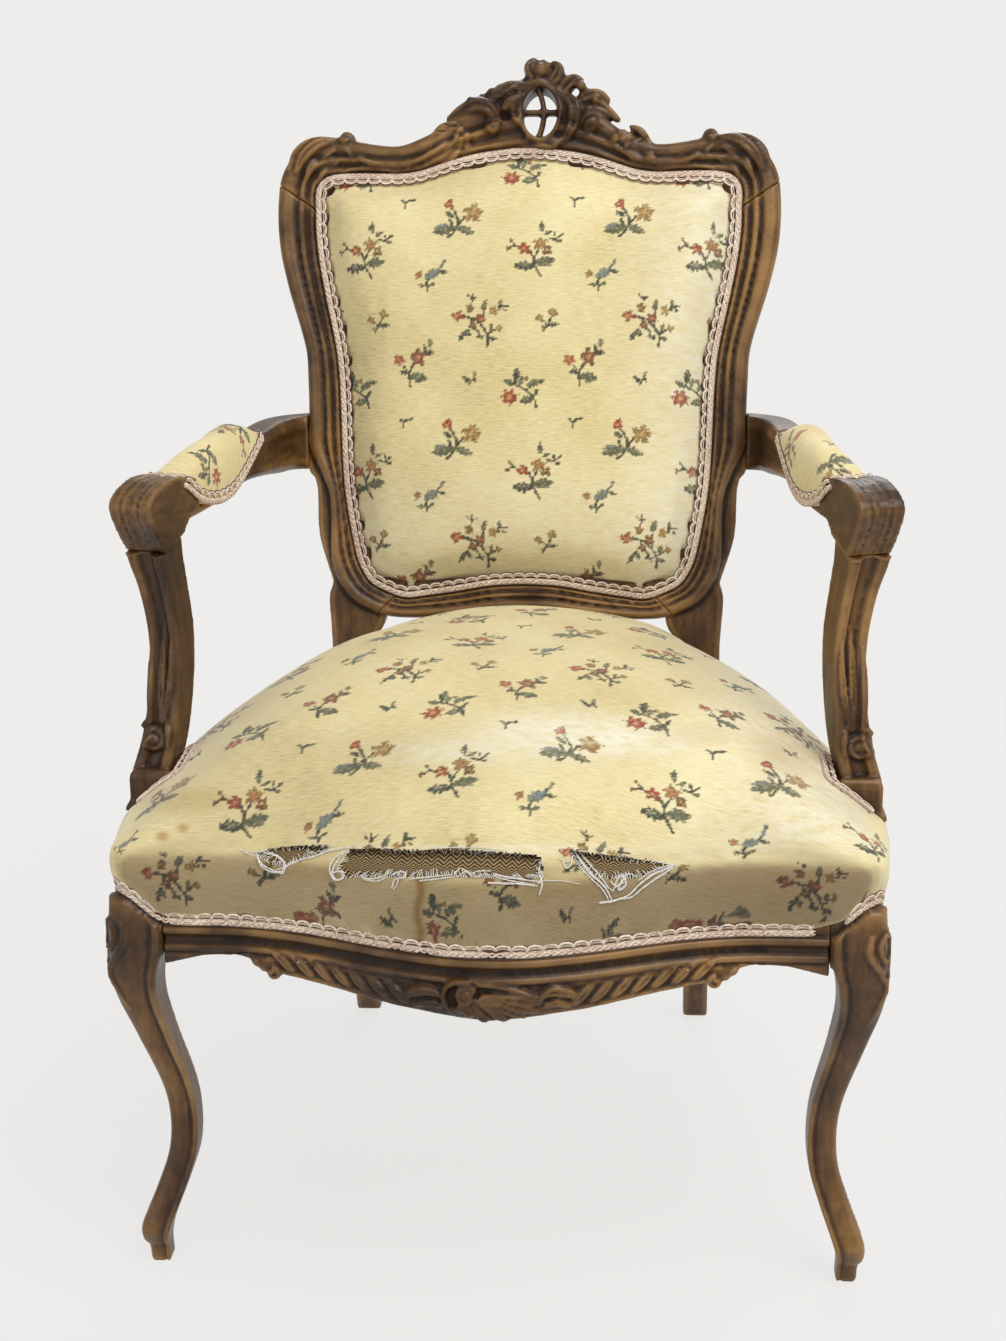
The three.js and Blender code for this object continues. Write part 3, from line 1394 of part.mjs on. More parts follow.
const tackFace = -mouldingDepth + clearance;
const coverFace = tackFace + fabricThickness;
const backDomeShares = [
  [1.1, 0.015, 0.17], [1.2, 0.06, 0.46], [1.2, 0.16, 0.7], [1.2, 0.45, 0.91], [1.2, 0.94, 1],
];
const backDomeRows = [
  [openingInset, 0, coverFace], [gimpWidth + openingInset, 0, coverFace],
  ...backDomeShares.map(([insetShare, toward, riseShare]) =>
    [gimpWidth * insetShare + openingInset, toward, lerp(coverFace, backBulge, riseShare)]),
];

const sunk = (rows, depth) => rows.map(([inset, toward, forward], i) =>
  [inset, toward + (i < 2 ? 0 : depth / backHalfWidth), forward - depth]);

function backCover() {
  const inner = backRings(sunk(backDomeRows, fabricThickness)).reverse();
  return closedLoft([...inner, ...backRings(backDomeRows)]);
}

function backPad() {
  const rows = sunk(backDomeRows, fabricThickness + layerEase).slice(2);
  const floor = tackFace + strapThickness + clearance;
  const upper = rows.filter((row) => row[2] > floor + clearance);
  const [inset, toward] = upper[0];
  const bottom = backRings([[inset, toward, floor]]);
  return closedLoft([...bottom, ...backRings(upper)]);
}

// Webbing of the back: straps tacked to the rebate, woven here into one layer.
function backWebbing() {
  const depth = strapThickness;
  const half = backHalfWidth;
  const upright = (x) => backBlock(
    [x - strapWidth / 2, backSill - stileHeight / 2, tackFace],
    [x + strapWidth / 2, crestJoint + crestRise, tackFace + depth], 0,
  );
  const level = (height) => backBlock(
    [-half, height - strapWidth / 2, tackFace], [half, height + strapWidth / 2, tackFace + depth], 0,
  );
  const lattice = join(
    ...[-1, 0, 1].map((share) => upright(share * strapWidth * 1.6)),
    ...[0.3, 0.7].map((share) => level(backSill + stileHeight * share)),
  );
  const [inset, toward] = [gimpWidth, (fabricThickness * 3.5) / backHalfWidth];
  const panel = backRings([[inset, toward, tackFace - overrun], [inset, toward, overrun]]);
  return common(lattice, closedLoft(panel));
}

function outerBackCover() {
  const near = -backThickness - clearance;
  return closedLoft(backRings([[-gimpWidth, 0, near], [-gimpWidth, 0, near - fabricThickness]]));
}

// A band that closes on itself round the back, between two insets and two forward places.
function backBand(insetA, insetB, near, far) {
  const [a, b, c, d] = backRings([[insetA, 0, near], [insetB, 0, near], [insetB, 0, far], [insetA, 0, far]]);
  return closedBand(a.map((_, i) => [a[i], b[i], c[i], d[i]]));
}

function closedBand(rings) {
  const count = rings[0].length;
  const positions = rings.flat().flatMap((point) => [point.x, point.y, point.z]);
  const indices = [];
  rings.forEach((_, r) => {
    const next = (r + 1) % rings.length;
    for (let i = 0; i < count; i++) {
      const j = (i + 1) % count;
      const [a, b, c, d] = [rings[r][i], rings[r][j], rings[next][j], rings[next][i]];
      const corners = [r * count + i, r * count + j, next * count + j, next * count + i];
      indices.push(...quad(corners, a.distanceTo(c) <= b.distanceTo(d)));
    }
  });
  return facingOut(positions, indices);
}

function backGimp() {
  const near = coverFace + clearance;
  return backBand(openingInset, gimpWidth, near, near + gimpThickness);
}

function rearGimp() {
  const near = -backThickness - clearance * 2 - fabricThickness;
  return backBand(-gimpWidth, 0, near, near - gimpThickness);
}

// Arm pads: saddles over the arms, held by gimp along their lower edge.

const padStartShare = 0.56;
const padEndShare = 0.985;
// Section of a pad: share across, share of the way up its hanging side, share of its rise.
const padSectionShares = [
  [-1, 0, 0], [-1, 0.7, 0], [-0.76, 1, 0.68], [0, 1, 1], [0.76, 1, 0.68], [1, 0.7, 0], [1, 0, 0],
];

// How full a pad is along its length, from one end to the other.
function padSwell(share) {
  return Math.sin(Math.PI * THREE.MathUtils.clamp(share, 0.04, 0.96)) ** 0.6;
}

const padSide = fabricThickness + clearance;

// A solid over the arm, swollen on top, whose sides hang down past the arm's upper edges.
function padSolid() {
  const rings = steps(6).map((share) => {
    const { at, side, width, height } = armAt(lerp(padStartShare, padEndShare, share));
    const half = width / 2 + padSide;
    const top = height / 2;
    const hang = top - padDrop * padSwell(share) - clearance;
    return padSectionShares.map(([across, hangShare, riseShare]) => {
      const up = lerp(hang, top, hangShare) + padRise * padSwell(share) * riseShare;
      return at.clone().addScaledVector(side, half * across).add(vector(0, 0, up));
    });
  });
  return closedLoft(rings);
}

function rightArmPad() {
  return cut(padSolid(), armBar(clearance), knuckleRoom());
}

function knuckleRoom() {
  return knucklePlate(0, knuckleWidth + clearance * 2, -clearance);
}

// The gimp runs along both sides of the pad and across its ends, where it climbs onto the arm's top.
function rightArmGimp() {
  const padLengthwise = steps(6);
  const corner = 0.6;
  const rightSide = padLengthwise.map((share) => [share, 1]);
  const leftSide = padLengthwise.map((share) => [share, -1]).reverse();
  const places = [...rightSide, [1, corner], [1, -corner], ...leftSide, [0, -corner], [0, corner]];
  const rings = places.map(([share, acrossShare]) => {
    const { at, side, along, width, height } = armAt(lerp(padStartShare, padEndShare, share));
    const end = Math.abs(acrossShare) === corner;
    const low = height / 2 + (end ? clearance : -padDrop * padSwell(share));
    const outward = end ? along.multiplyScalar(share * 2 - 1) : side.clone().multiplyScalar(acrossShare);
    const foot = at.clone().addScaledVector(side, (width / 2 + padSide) * acrossShare);
    const point = (reach, up) => foot.clone().addScaledVector(outward, reach).add(vector(0, 0, up));
    return [
      point(clearance, low), point(clearance, low + gimpWidth),
      point(clearance + gimpThickness, low + gimpWidth), point(clearance + gimpThickness, low),
    ];
  });
  return cut(closedBand(rings), armBar(clearance), knuckleRoom());
}

// Assembly

const chair = new THREE.Group();

function add(name, geometry, finish) {
  const mesh = new THREE.Mesh(geometry, new THREE.MeshStandardMaterial(finish));
  mesh.name = name;
  chair.add(mesh);
}

function addPair(name, geometry, finish) {
  add(`right_${name}`, geometry, finish);
  add(`left_${name}`, mirrored(geometry), finish);
}

add('front_seat_rail', frontRail(), walnut);
add('rear_seat_rail', rearRail(), beech);
addPair('side_seat_rail', rightSideRail(), walnut);
addPair('front_leg', rightFrontLeg(), walnut);
addPair('rear_stile', rightRearStile(), walnut);
add('crest_rail', crestRail(), walnut);
add('lower_back_rail', lowerBackRail(), walnut);
addPair('arm', rightArm(), walnut);
addPair('arm_support', rightArmSupport(), walnut);

addPair('front_corner_block', cornerBlock(frontBlock), beech);
addPair('rear_corner_block', cornerBlock(rearBlock), beech);
addPair('front_block_screw', screw(screwLine(frontBlock)), steel);
addPair('rear_block_screw', screw(screwLine(rearBlock)), steel);

strapXs.forEach((_, i) => add(`lengthwise_strap_${i + 1}`, lengthwiseStrap(i), jute));
strapYs.forEach((_, i) => add(`crosswise_strap_${i + 1}`, crosswiseStrap(i), jute));
strapYs.forEach((y, row) => strapXs.forEach((x, column) =>
  add(`seat_spring_${row * 3 + column + 1}`, spring(x, y), steel)));
add('spring_canvas', springCanvas(), jute);
add('seat_stuffing', seatStuffing(), horsehair);
add('seat_under_cover', seatUnderCover(), herringbone);
add('seat_cover', seatCover(), tapestry);
add('seat_gimp', seatGimp(), braid);

add('back_webbing', backWebbing(), jute);
add('back_pad', backPad(), horsehair);
add('back_cover', backCover(), tapestry);
add('back_gimp', backGimp(), braid);
add('outer_back_cover', outerBackCover(), tapestry);
add('rear_gimp', rearGimp(), braid);
addPair('arm_pad', rightArmPad(), tapestry);
addPair('arm_gimp', rightArmGimp(), braid);

const extent = new THREE.Box3().setFromObject(chair);
chair.position.y = -(extent.min.y + extent.max.y) / 2;

export default chair;
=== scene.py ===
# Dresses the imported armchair: carved walnut, worn floral tapestry, gimp, and the torn seat.
# Lengths are in millimetres, from the middle of the front feet, until toScene makes them metres.
import math

import bpy
import numpy as np
from mathutils import Matrix, Vector
from mathutils.bvhtree import BVHTree


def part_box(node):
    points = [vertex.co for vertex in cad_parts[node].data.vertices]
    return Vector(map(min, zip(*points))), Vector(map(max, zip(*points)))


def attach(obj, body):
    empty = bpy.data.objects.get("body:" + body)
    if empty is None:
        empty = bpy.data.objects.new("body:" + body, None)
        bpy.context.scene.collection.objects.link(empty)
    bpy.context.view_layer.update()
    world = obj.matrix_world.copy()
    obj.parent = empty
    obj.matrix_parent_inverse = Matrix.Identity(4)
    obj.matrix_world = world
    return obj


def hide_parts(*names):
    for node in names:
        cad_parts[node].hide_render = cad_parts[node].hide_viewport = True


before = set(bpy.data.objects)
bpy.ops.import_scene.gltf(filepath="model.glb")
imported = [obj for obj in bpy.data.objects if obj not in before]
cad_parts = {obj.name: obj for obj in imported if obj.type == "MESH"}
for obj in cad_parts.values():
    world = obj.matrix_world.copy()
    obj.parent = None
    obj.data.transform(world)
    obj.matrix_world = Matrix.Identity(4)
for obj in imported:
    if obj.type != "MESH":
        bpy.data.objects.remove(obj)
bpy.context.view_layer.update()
scene = bpy.context.scene
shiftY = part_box("right_side_seat_rail")[0][1] * 1000 + 11   # the rail's front tenon starts 11 before the feet


# Numbers and curves

def toScene(points):
    place = np.array(points, float)
    place[..., 1] += shiftY
    return place / 1000


def fromScene(places):
    points = np.array(places, float) * 1000
    points[..., 1] -= shiftY
    return points


def table(rows, x):
    return np.interp(x, [row[0] for row in rows], [row[1] for row in rows])


def lerp(a, b, share):
    return a + (b - a) * share


def smoothstep(x, low, high):
    share = np.clip((x - low) / (high - low), 0, 1)
    return share * share * (3 - 2 * share)


# A smooth line through rows of numbers, spaced by the columns that hold a place.
def smoothRows(rows, perSpan, columns=slice(None)):
    rows = np.array(rows, float)
    chord = np.linalg.norm(np.diff(rows[:, columns], axis=0), axis=1) ** 0.5
    at = np.concatenate([[0], np.cumsum(np.maximum(chord, 1e-6))])
    gap = np.diff(at)[:, None]
    slope = np.diff(rows, axis=0) / gap
    tangent = np.vstack([slope[:1], (slope[1:] * gap[:-1] + slope[:-1] * gap[1:]) / (gap[:-1] + gap[1:]), slope[-1:]])
    share = (np.arange(perSpan) / perSpan)[:, None]
    spans = []
    for i in range(len(rows) - 1):
        start = (2 * share**3 - 3 * share**2 + 1) * rows[i] + (share**3 - 2 * share**2 + share) * gap[i] * tangent[i]
        end = (3 * share**2 - 2 * share**3) * rows[i + 1] + (share**3 - share**2) * gap[i] * tangent[i + 1]
        spans.append(start + end)
    return np.vstack(spans + [rows[-1:]])


# The same line with its points an even distance apart.
def evenLine(points, spacing, closed=False):
    points = np.array(points, float)
    if closed:
        points = np.vstack([points, points[:1]])
    at = np.concatenate([[0], np.cumsum(np.linalg.norm(np.diff(points, axis=0), axis=1))])
    count = max(int(round(at[-1] / spacing)), 2)
    wanted = np.linspace(0, at[-1], count + 1)
    even = np.column_stack([np.interp(wanted, at, points[:, k]) for k in range(points.shape[1])])
    return even[:-1] if closed else even


def smoothRing(ring, passes):
    for _ in range(passes):
        ring = 0.5 * ring + 0.25 * (np.roll(ring, 1, axis=0) + np.roll(ring, -1, axis=0))
    return ring


def unit(vectors):
    return vectors / np.maximum(np.linalg.norm(vectors, axis=-1, keepdims=True), 1e-9)


# Meshes

def deselectAll():
    bpy.ops.object.select_all(action="DESELECT")


def choose(piece):
    deselectAll()
    piece.select_set(True)
    bpy.context.view_layer.objects.active = piece


def meshPiece(name, points, faces):
    mesh = bpy.data.meshes.new(name)
    mesh.from_pydata(toScene(points).reshape(-1, 3).tolist(), [], faces)
    piece = bpy.data.objects.new(name, mesh)
    scene.collection.objects.link(piece)
    return piece


def signedVolume(points, quads, caps):
    first, second, third, fourth = (points[quads[:, k]] for k in range(4))
    total = (first * (np.cross(second, third) + np.cross(third, fourth))).sum()
    for cap in caps:
        rim = points[cap]
        total += (rim[0] * np.cross(rim[1:-1], rim[2:]).sum(axis=0)).sum()
    return total


# A closed body through rings of equally many points.
def loft(name, rings, endless=False):
    rings = np.array(rings, float)
    count, size = rings.shape[:2]
    ids = np.arange(count * size).reshape(count, size)
    nextIds = np.roll(ids, -1, axis=0) if endless else ids[1:]
    lowIds = ids if endless else ids[:-1]
    quads = np.stack([lowIds, np.roll(lowIds, -1, axis=1), np.roll(nextIds, -1, axis=1), nextIds], axis=-1)
    quads = quads.reshape(-1, 4)
    caps = [] if endless else [ids[0][::-1], ids[-1]]
    faces = quads.tolist() + [cap.tolist() for cap in caps]
    points = rings.reshape(-1, 3)
    if signedVolume(points - points.mean(axis=0), quads, caps) < 0:
        faces = [face[::-1] for face in faces]
    return meshPiece(name, points, faces)


def readPoints(piece):
    flat = np.empty(len(piece.data.vertices) * 3)
    piece.data.vertices.foreach_get("co", flat)
    return fromScene(flat.reshape(-1, 3))


def writePoints(piece, points):
    piece.data.vertices.foreach_set("co", toScene(points).ravel())
    piece.data.update()


def readNormals(piece):
    flat = np.empty(len(piece.data.vertices) * 3)
    piece.data.vertices.foreach_get("normal", flat)
    return flat.reshape(-1, 3)


def applyModifier(piece, kind, **values):
    choose(piece)
    modifier = piece.modifiers.new(kind.title(), kind)
    for key, value in values.items():
        setattr(modifier, key, value)
    bpy.ops.object.modifier_apply(modifier=modifier.name)


def joinAll(name, pieces):
    deselectAll()
    for piece in pieces:
        piece.select_set(True)
    bpy.context.view_layer.objects.active = pieces[0]
    if len(pieces) > 1:
        bpy.ops.object.join()
    pieces[0].name = name
    pieces[0].data.name = name
    return pieces[0]


def mirrorOf(piece, name):
    copy = piece.copy()
    copy.data = piece.data.copy()
    copy.name = copy.data.name = name
    scene.collection.objects.link(copy)
    points = readPoints(copy)
    points[:, 0] *= -1
    writePoints(copy, points)
    copy.data.flip_normals()
    return copy


def smoothShade(piece, angle=50):
    choose(piece)
    bpy.ops.object.shade_smooth_by_angle(angle=math.radians(angle))


def remesh(piece, voxel, smoothing=2):
    applyModifier(piece, "REMESH", mode="VOXEL", voxel_size=voxel / 1000, use_smooth_shade=True)
    if smoothing:
        applyModifier(piece, "SMOOTH", factor=0.5, iterations=smoothing)


# How deep each point lies in a hollow (above 0) or on a ridge (below 0), for the finish, which paints shade into the
# hollows and a highlight onto the ridges.
def markHollows(piece, fine=0.13, broad=1.3):
    mesh = piece.data
    count = len(mesh.vertices)
    pairs = np.empty(len(mesh.edges) * 2, dtype=np.int64)
    mesh.edges.foreach_get("vertices", pairs)
    first, second = pairs.reshape(-1, 2).T
    degree = np.maximum(np.bincount(first, minlength=count) + np.bincount(second, minlength=count), 1)[:, None]
    start = readPoints(piece)
    normals = readNormals(piece)
    smooth = start.copy()
    depths = {}
    for step in range(1, 25):
        total = np.column_stack([
            np.bincount(first, smooth[second, k], count) + np.bincount(second, smooth[first, k], count)
            for k in range(3)])
        smooth = 0.4 * smooth + 0.6 * total / degree
        depths[step] = ((smooth - start) * normals).sum(axis=1)
    value = 0.5 * np.clip(depths[2] / fine, -1, 1) + 0.5 * np.clip(depths[24] / broad, -1, 1)
    mesh.attributes.new("hollow", "FLOAT", "POINT").data.foreach_set("value", value.astype(np.float32))


def setColours(piece, name, colours):
    attribute = piece.data.attributes.new(name, "FLOAT_COLOR", "POINT")
    rgba = np.column_stack([colours, np.ones(len(colours))]) if colours.shape[1] == 3 else colours
    attribute.data.foreach_set("color", rgba.astype(np.float32).ravel())


def setVectors(piece, name, vectors):
    attribute = piece.data.attributes.new(name, "FLOAT_VECTOR", "POINT")
    attribute.data.foreach_set("vector", vectors.astype(np.float32).ravel())


def finish(piece, material, replaced=(), body="root"):
    piece.data.materials.clear()
    piece.data.materials.append(material)
    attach(piece, body)
    if replaced:
        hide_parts(*replaced)


# A round strand along a line of points.
def strand(points, radius, sides=6, closed=False):
    points = np.array(points, float)
    if closed:
        along = unit(np.roll(points, -1, axis=0) - np.roll(points, 1, axis=0))
    else:
        along = unit(np.gradient(points, axis=0))
    reference = np.array([0.0, 0.0, 1.0])
    side = np.cross(along, reference)
    weak = np.linalg.norm(side, axis=1) < 0.2
    side[weak] = np.cross(along[weak], [1.0, 0.0, 0.0])
    side = unit(side)
    for i in range(1, len(side)):
        if np.dot(side[i], side[i - 1]) < 0:
            side[i] *= -1
    up = np.cross(side, along)
    angles = np.linspace(0, 2 * math.pi, sides, endpoint=False)
    radius = np.broadcast_to(np.asarray(radius, float), (len(points),))[:, None, None]
    circle = np.cos(angles)[None, :, None] * side[:, None, :] + np.sin(angles)[None, :, None] * up[:, None, :]
    return points[:, None, :] + radius * circle


# Camera

cameraView = {"place": (0.1081, (-1406.5 + shiftY) / 1000, 0.921), "pitch": 0.2750, "yaw": 0.0713, "roll": -0.0101,
              "focus": 1900.0, "frameHeight": 1341, "middle": (503.0, 670.5)}


# The camera's right, its top and the way it looks.
def cameraAxes():
    pitch, yaw, roll = cameraView["pitch"], cameraView["yaw"], cameraView["roll"]
    forward = Vector((-math.sin(yaw) * math.cos(pitch), math.cos(yaw) * math.cos(pitch), -math.sin(pitch)))
    level = Vector((math.cos(yaw), math.sin(yaw), 0))
    up = level.cross(forward)
    return math.cos(roll) * level + math.sin(roll) * up, -math.sin(roll) * level + math.cos(roll) * up, forward


# The pixels of the photograph at which points show, and the way from the camera through a pixel.
def photoPlace(points):
    right, top, forward = (np.array(axis) for axis in cameraAxes())
    away = toScene(points) - np.array(cameraView["place"])
    depth = away @ forward
    middle, focus = cameraView["middle"], cameraView["focus"]
    return middle[0] + focus * (away @ right) / depth, middle[1] - focus * (away @ top) / depth


def photoRay(px, py):
    right, top, forward = cameraAxes()
    middle, focus = cameraView["middle"], cameraView["focus"]
    return (forward + right * ((px - middle[0]) / focus) - top * ((py - middle[1]) / focus)).normalized()


def makeCamera():
    data = bpy.data.cameras.new("photographer")
    data.sensor_fit = "AUTO"
    data.sensor_width = 36
    data.lens = 36 * cameraView["focus"] / cameraView["frameHeight"]
    data.clip_start = 0.05
    right, top, forward = cameraAxes()
    camera = bpy.data.objects.new("photographer", data)
    scene.collection.objects.link(camera)
    turn = Matrix((right, top, -forward)).transposed().to_4x4()
    camera.matrix_world = Matrix.Translation(cameraView["place"]) @ turn
    scene.camera = camera


# Materials

def newMaterial(name):
    material = bpy.data.materials.new(name)
    material.use_nodes = True
    tree = material.node_tree
    return material, tree, tree.nodes["Principled BSDF"]


def node(tree, kind, inputs=None, **settings):
    new = tree.nodes.new("ShaderNode" + kind)
    for key, value in settings.items():
        setattr(new, key, value)
    for key, value in (inputs or {}).items():
        if isinstance(value, bpy.types.NodeSocket):
            tree.links.new(value, new.inputs[key])
        else:
            new.inputs[key].default_value = value
    return new


def colourRamp(tree, factor, stops):
    ramp = node(tree, "ValToRGB", {"Fac": factor})
    elements = ramp.color_ramp.elements
    while len(elements) < len(stops):
        elements.new(0.5)
    for element, (place, colour) in zip(elements, stops):
        element.position = place
        element.color = (*colour, 1)
    return ramp.outputs["Color"]


def mixColour(tree, factor, first, second, blend="MIX"):
    mix = node(tree, "Mix", data_type="RGBA", blend_type=blend)
    for socket, value in ((mix.inputs[0], factor), (mix.inputs[6], first), (mix.inputs[7], second)):
        if isinstance(value, bpy.types.NodeSocket):
            tree.links.new(value, socket)
        else:
            socket.default_value = (*value, 1) if isinstance(value, tuple) else value
    return mix.outputs[2]


def maths(tree, operation, first, second=0.0):
    new = node(tree, "Math", operation=operation)
    for socket, value in zip(new.inputs, (first, second)):
        if isinstance(value, bpy.types.NodeSocket):
            tree.links.new(value, socket)
        else:
            socket.default_value = value
    return new.outputs[0]


walnutTones = {
    "recess": (0.011, 0.005, 0.0022), "dark": (0.028, 0.0115, 0.0035), "middle": (0.082, 0.036, 0.0105),
    "golden": (0.195, 0.092, 0.021), "wornAndPaintedLight": (0.33, 0.185, 0.062),
}


# Old polished walnut. Grain runs along one axis; painted shade darkens the hollows, and a painted highlight, patchy
# like rubbed wear, lightens the edges to gold.
def walnutMaterial(name, grainAxis):
    material, tree, shader = newMaterial(name)
    place = node(tree, "TexCoord").outputs["Object"]
    stretch = [130.0, 130.0, 130.0]
    stretch[grainAxis] = 6.0
    grainPlace = node(tree, "Mapping", {"Vector": place, "Scale": stretch}).outputs["Vector"]
    grain = node(tree, "TexNoise", {"Vector": grainPlace, "Scale": 1.0, "Detail": 5.0, "Roughness": 0.65}).outputs["Fac"]
    pores = node(tree, "TexNoise", {"Vector": grainPlace, "Scale": 5.0, "Detail": 3.0, "Roughness": 0.7}).outputs["Fac"]
    patches = node(tree, "TexNoise", {"Vector": place, "Scale": 8.0, "Detail": 4.0, "Roughness": 0.6}).outputs["Fac"]
    hollow = node(tree, "Attribute", attribute_name="hollow").outputs["Fac"]
    tone = maths(tree, "ADD", maths(tree, "MULTIPLY", grain, 0.38), maths(tree, "MULTIPLY", patches, 0.66))
    body = colourRamp(tree, tone, [
        (0.38, walnutTones["dark"]), (0.51, walnutTones["middle"]), (0.66, walnutTones["golden"])])
    poreMask = colourRamp(tree, pores, [(0.30, (1, 1, 1)), (0.42, (0, 0, 0))])
    body = mixColour(tree, maths(tree, "MULTIPLY", poreMask, 0.45), body, walnutTones["dark"])
    # Painted shade: the hollows are darkened nearly to black.
    inHollow = node(tree, "MapRange", {"Value": hollow, "From Min": 0.08, "From Max": 0.95, "To Max": 0.92}).outputs["Result"]
    body = mixColour(tree, inHollow, body, walnutTones["recess"])
    # Painted highlight on the ridges, patchy like rubbed wear, in a pale gold.
    onRidge = node(tree, "MapRange", {"Value": hollow, "From Min": -0.12, "From Max": -0.75}).outputs["Result"]
    rubbedAndHighlighted = maths(tree, "MULTIPLY", onRidge, node(tree, "MapRange", {
        "Value": patches, "From Min": 0.38, "From Max": 0.62}).outputs["Result"])
    body = mixColour(tree, maths(tree, "MULTIPLY", rubbedAndHighlighted, 0.75), body, walnutTones["wornAndPaintedLight"])
    tree.links.new(body, shader.inputs["Base Color"])
    rough = node(tree, "MapRange", {"Value": inHollow, "To Min": 0.34, "To Max": 0.75}).outputs["Result"]
    rough = maths(tree, "ADD", rough, maths(tree, "MULTIPLY", pores, 0.12))
    tree.links.new(rough, shader.inputs["Roughness"])
    bumpHeight = maths(tree, "ADD", grain, maths(tree, "MULTIPLY", pores, 0.5))
    bump = node(tree, "Bump", {"Height": bumpHeight, "Strength": 0.22, "Distance": 0.0006})
    tree.links.new(bump.outputs["Normal"], shader.inputs["Normal"])
    shader.inputs["Specular IOR Level"].default_value = 0.3
    shader.inputs["Coat Weight"].default_value = 0.12
    shader.inputs["Coat Roughness"].default_value = 0.22
    return material


# Plain wood, canvas, jute or steel for what the upholstery hides.
def plainMaterial(name, dark, light, scale, rough, metallic=0.0, bumpStrength=0.3):
    material, tree, shader = newMaterial(name)
    place = node(tree, "TexCoord").outputs["Object"]
    mapped = node(tree, "Mapping", {"Vector": place, "Scale": scale}).outputs["Vector"]
    mottle = node(tree, "TexNoise", {"Vector": mapped, "Scale": 1.0, "Detail": 4.0}).outputs["Fac"]
    tree.links.new(colourRamp(tree, mottle, [(0.3, dark), (0.7, light)]), shader.inputs["Base Color"])
    roughness = maths(tree, "ADD", maths(tree, "MULTIPLY", mottle, 0.2), rough)
    tree.links.new(roughness, shader.inputs["Roughness"])
    bump = node(tree, "Bump", {"Height": mottle, "Strength": bumpStrength, "Distance": 0.0005})
    tree.links.new(bump.outputs["Normal"], shader.inputs["Normal"])
    shader.inputs["Metallic"].default_value = metallic
    return material


tapestryTones = {
    "shade": (0.42, 0.37, 0.20), "straw": (0.68, 0.55, 0.26), "cream": (0.81, 0.71, 0.40), "wornAndPaintedLight": (0.84, 0.80, 0.64),
}


# Ribbed tapestry: the attribute weave holds the place on the cloth in metres, sprig the flowers, and a third colour
# attribute holds threadbare wear and painted light in red, stains in green and painted shade in blue.
def tapestryMaterial():
    material, tree, shader = newMaterial("floralTapestry")
    weave = node(tree, "Attribute", attribute_name="weave").outputs["Vector"]
    slubPlace = node(tree, "Mapping", {"Vector": weave, "Scale": (95.0, 900.0, 1.0)}).outputs["Vector"]
    slubs = node(tree, "TexNoise", {"Vector": slubPlace, "Scale": 1.0, "Detail": 3.0, "Roughness": 0.6}).outputs["Fac"]
    ribPlace = node(tree, "Mapping", {"Vector": weave, "Scale": (260.0, 1500.0, 1.0)}).outputs["Vector"]
    ribs = node(tree, "TexNoise", {"Vector": ribPlace, "Scale": 1.0, "Detail": 2.0}).outputs["Fac"]
    patches = node(tree, "TexNoise", {"Vector": weave, "Scale": 9.0, "Detail": 4.0}).outputs["Fac"]
    tone = maths(tree, "ADD", maths(tree, "MULTIPLY", slubs, 0.55), maths(tree, "MULTIPLY", patches, 0.45))
    ground = colourRamp(tree, tone, [
        (0.30, tapestryTones["shade"]), (0.44, tapestryTones["straw"]), (0.62, tapestryTones["cream"])])
    marksAndPaintedLight = node(tree, "Attribute", attribute_name="marksAndPaintedLight")
    channels = node(tree, "SeparateColor", {"Color": marksAndPaintedLight.outputs["Color"]})
    barePlace = node(tree, "Mapping", {"Vector": weave, "Scale": (60.0, 150.0, 1.0)}).outputs["Vector"]
    bare = node(tree, "TexNoise", {"Vector": barePlace, "Scale": 1.0, "Detail": 6.0, "Roughness": 0.7}).outputs["Fac"]
    bare = node(tree, "MapRange", {"Value": bare, "From Min": 0.38, "From Max": 0.6, "To Min": 0.25}).outputs["Result"]
    # Red: threadbare wear, and painted light where whole sides of the cloth are paled.
    wornAndPaintedLight = maths(tree, "MULTIPLY", channels.outputs["Red"], bare)
    ground = mixColour(tree, wornAndPaintedLight, ground, tapestryTones["wornAndPaintedLight"])
    sprig = node(tree, "Attribute", attribute_name="sprig")
    # Sprigs fade where the red channel pales the cloth, by wear and by painted light.
    kept = maths(tree, "SUBTRACT", 1.0, maths(tree, "MULTIPLY", maths(tree, "POWER", wornAndPaintedLight, 3.0), 0.75))
    colour = mixColour(tree, maths(tree, "MULTIPLY", sprig.outputs["Alpha"], kept), ground, sprig.outputs["Color"])
    stain = mixColour(tree, channels.outputs["Green"], (1.0, 1.0, 1.0), (0.60, 0.43, 0.22))
    colour = mixColour(tree, 1.0, colour, stain, blend="MULTIPLY")
    # Blue: painted shade, darkening the cloth.
    paintedShade = mixColour(tree, channels.outputs["Blue"], (1.0, 1.0, 1.0), (0.34, 0.285, 0.27))
    colour = mixColour(tree, 1.0, colour, paintedShade, blend="MULTIPLY")
    tree.links.new(colour, shader.inputs["Base Color"])
    tree.links.new(maths(tree, "ADD", maths(tree, "MULTIPLY", ribs, 0.15), 0.78), shader.inputs["Roughness"])
    height = maths(tree, "ADD", maths(tree, "MULTIPLY", slubs, 0.7), ribs)
    bump = node(tree, "Bump", {"Height": height, "Strength": 0.5, "Distance": 0.0006})
    tree.links.new(bump.outputs["Normal"], shader.inputs["Normal"])
    shader.inputs["Sheen Weight"].default_value = 0.25
    shader.inputs["Sheen Roughness"].default_value = 0.5
    return material


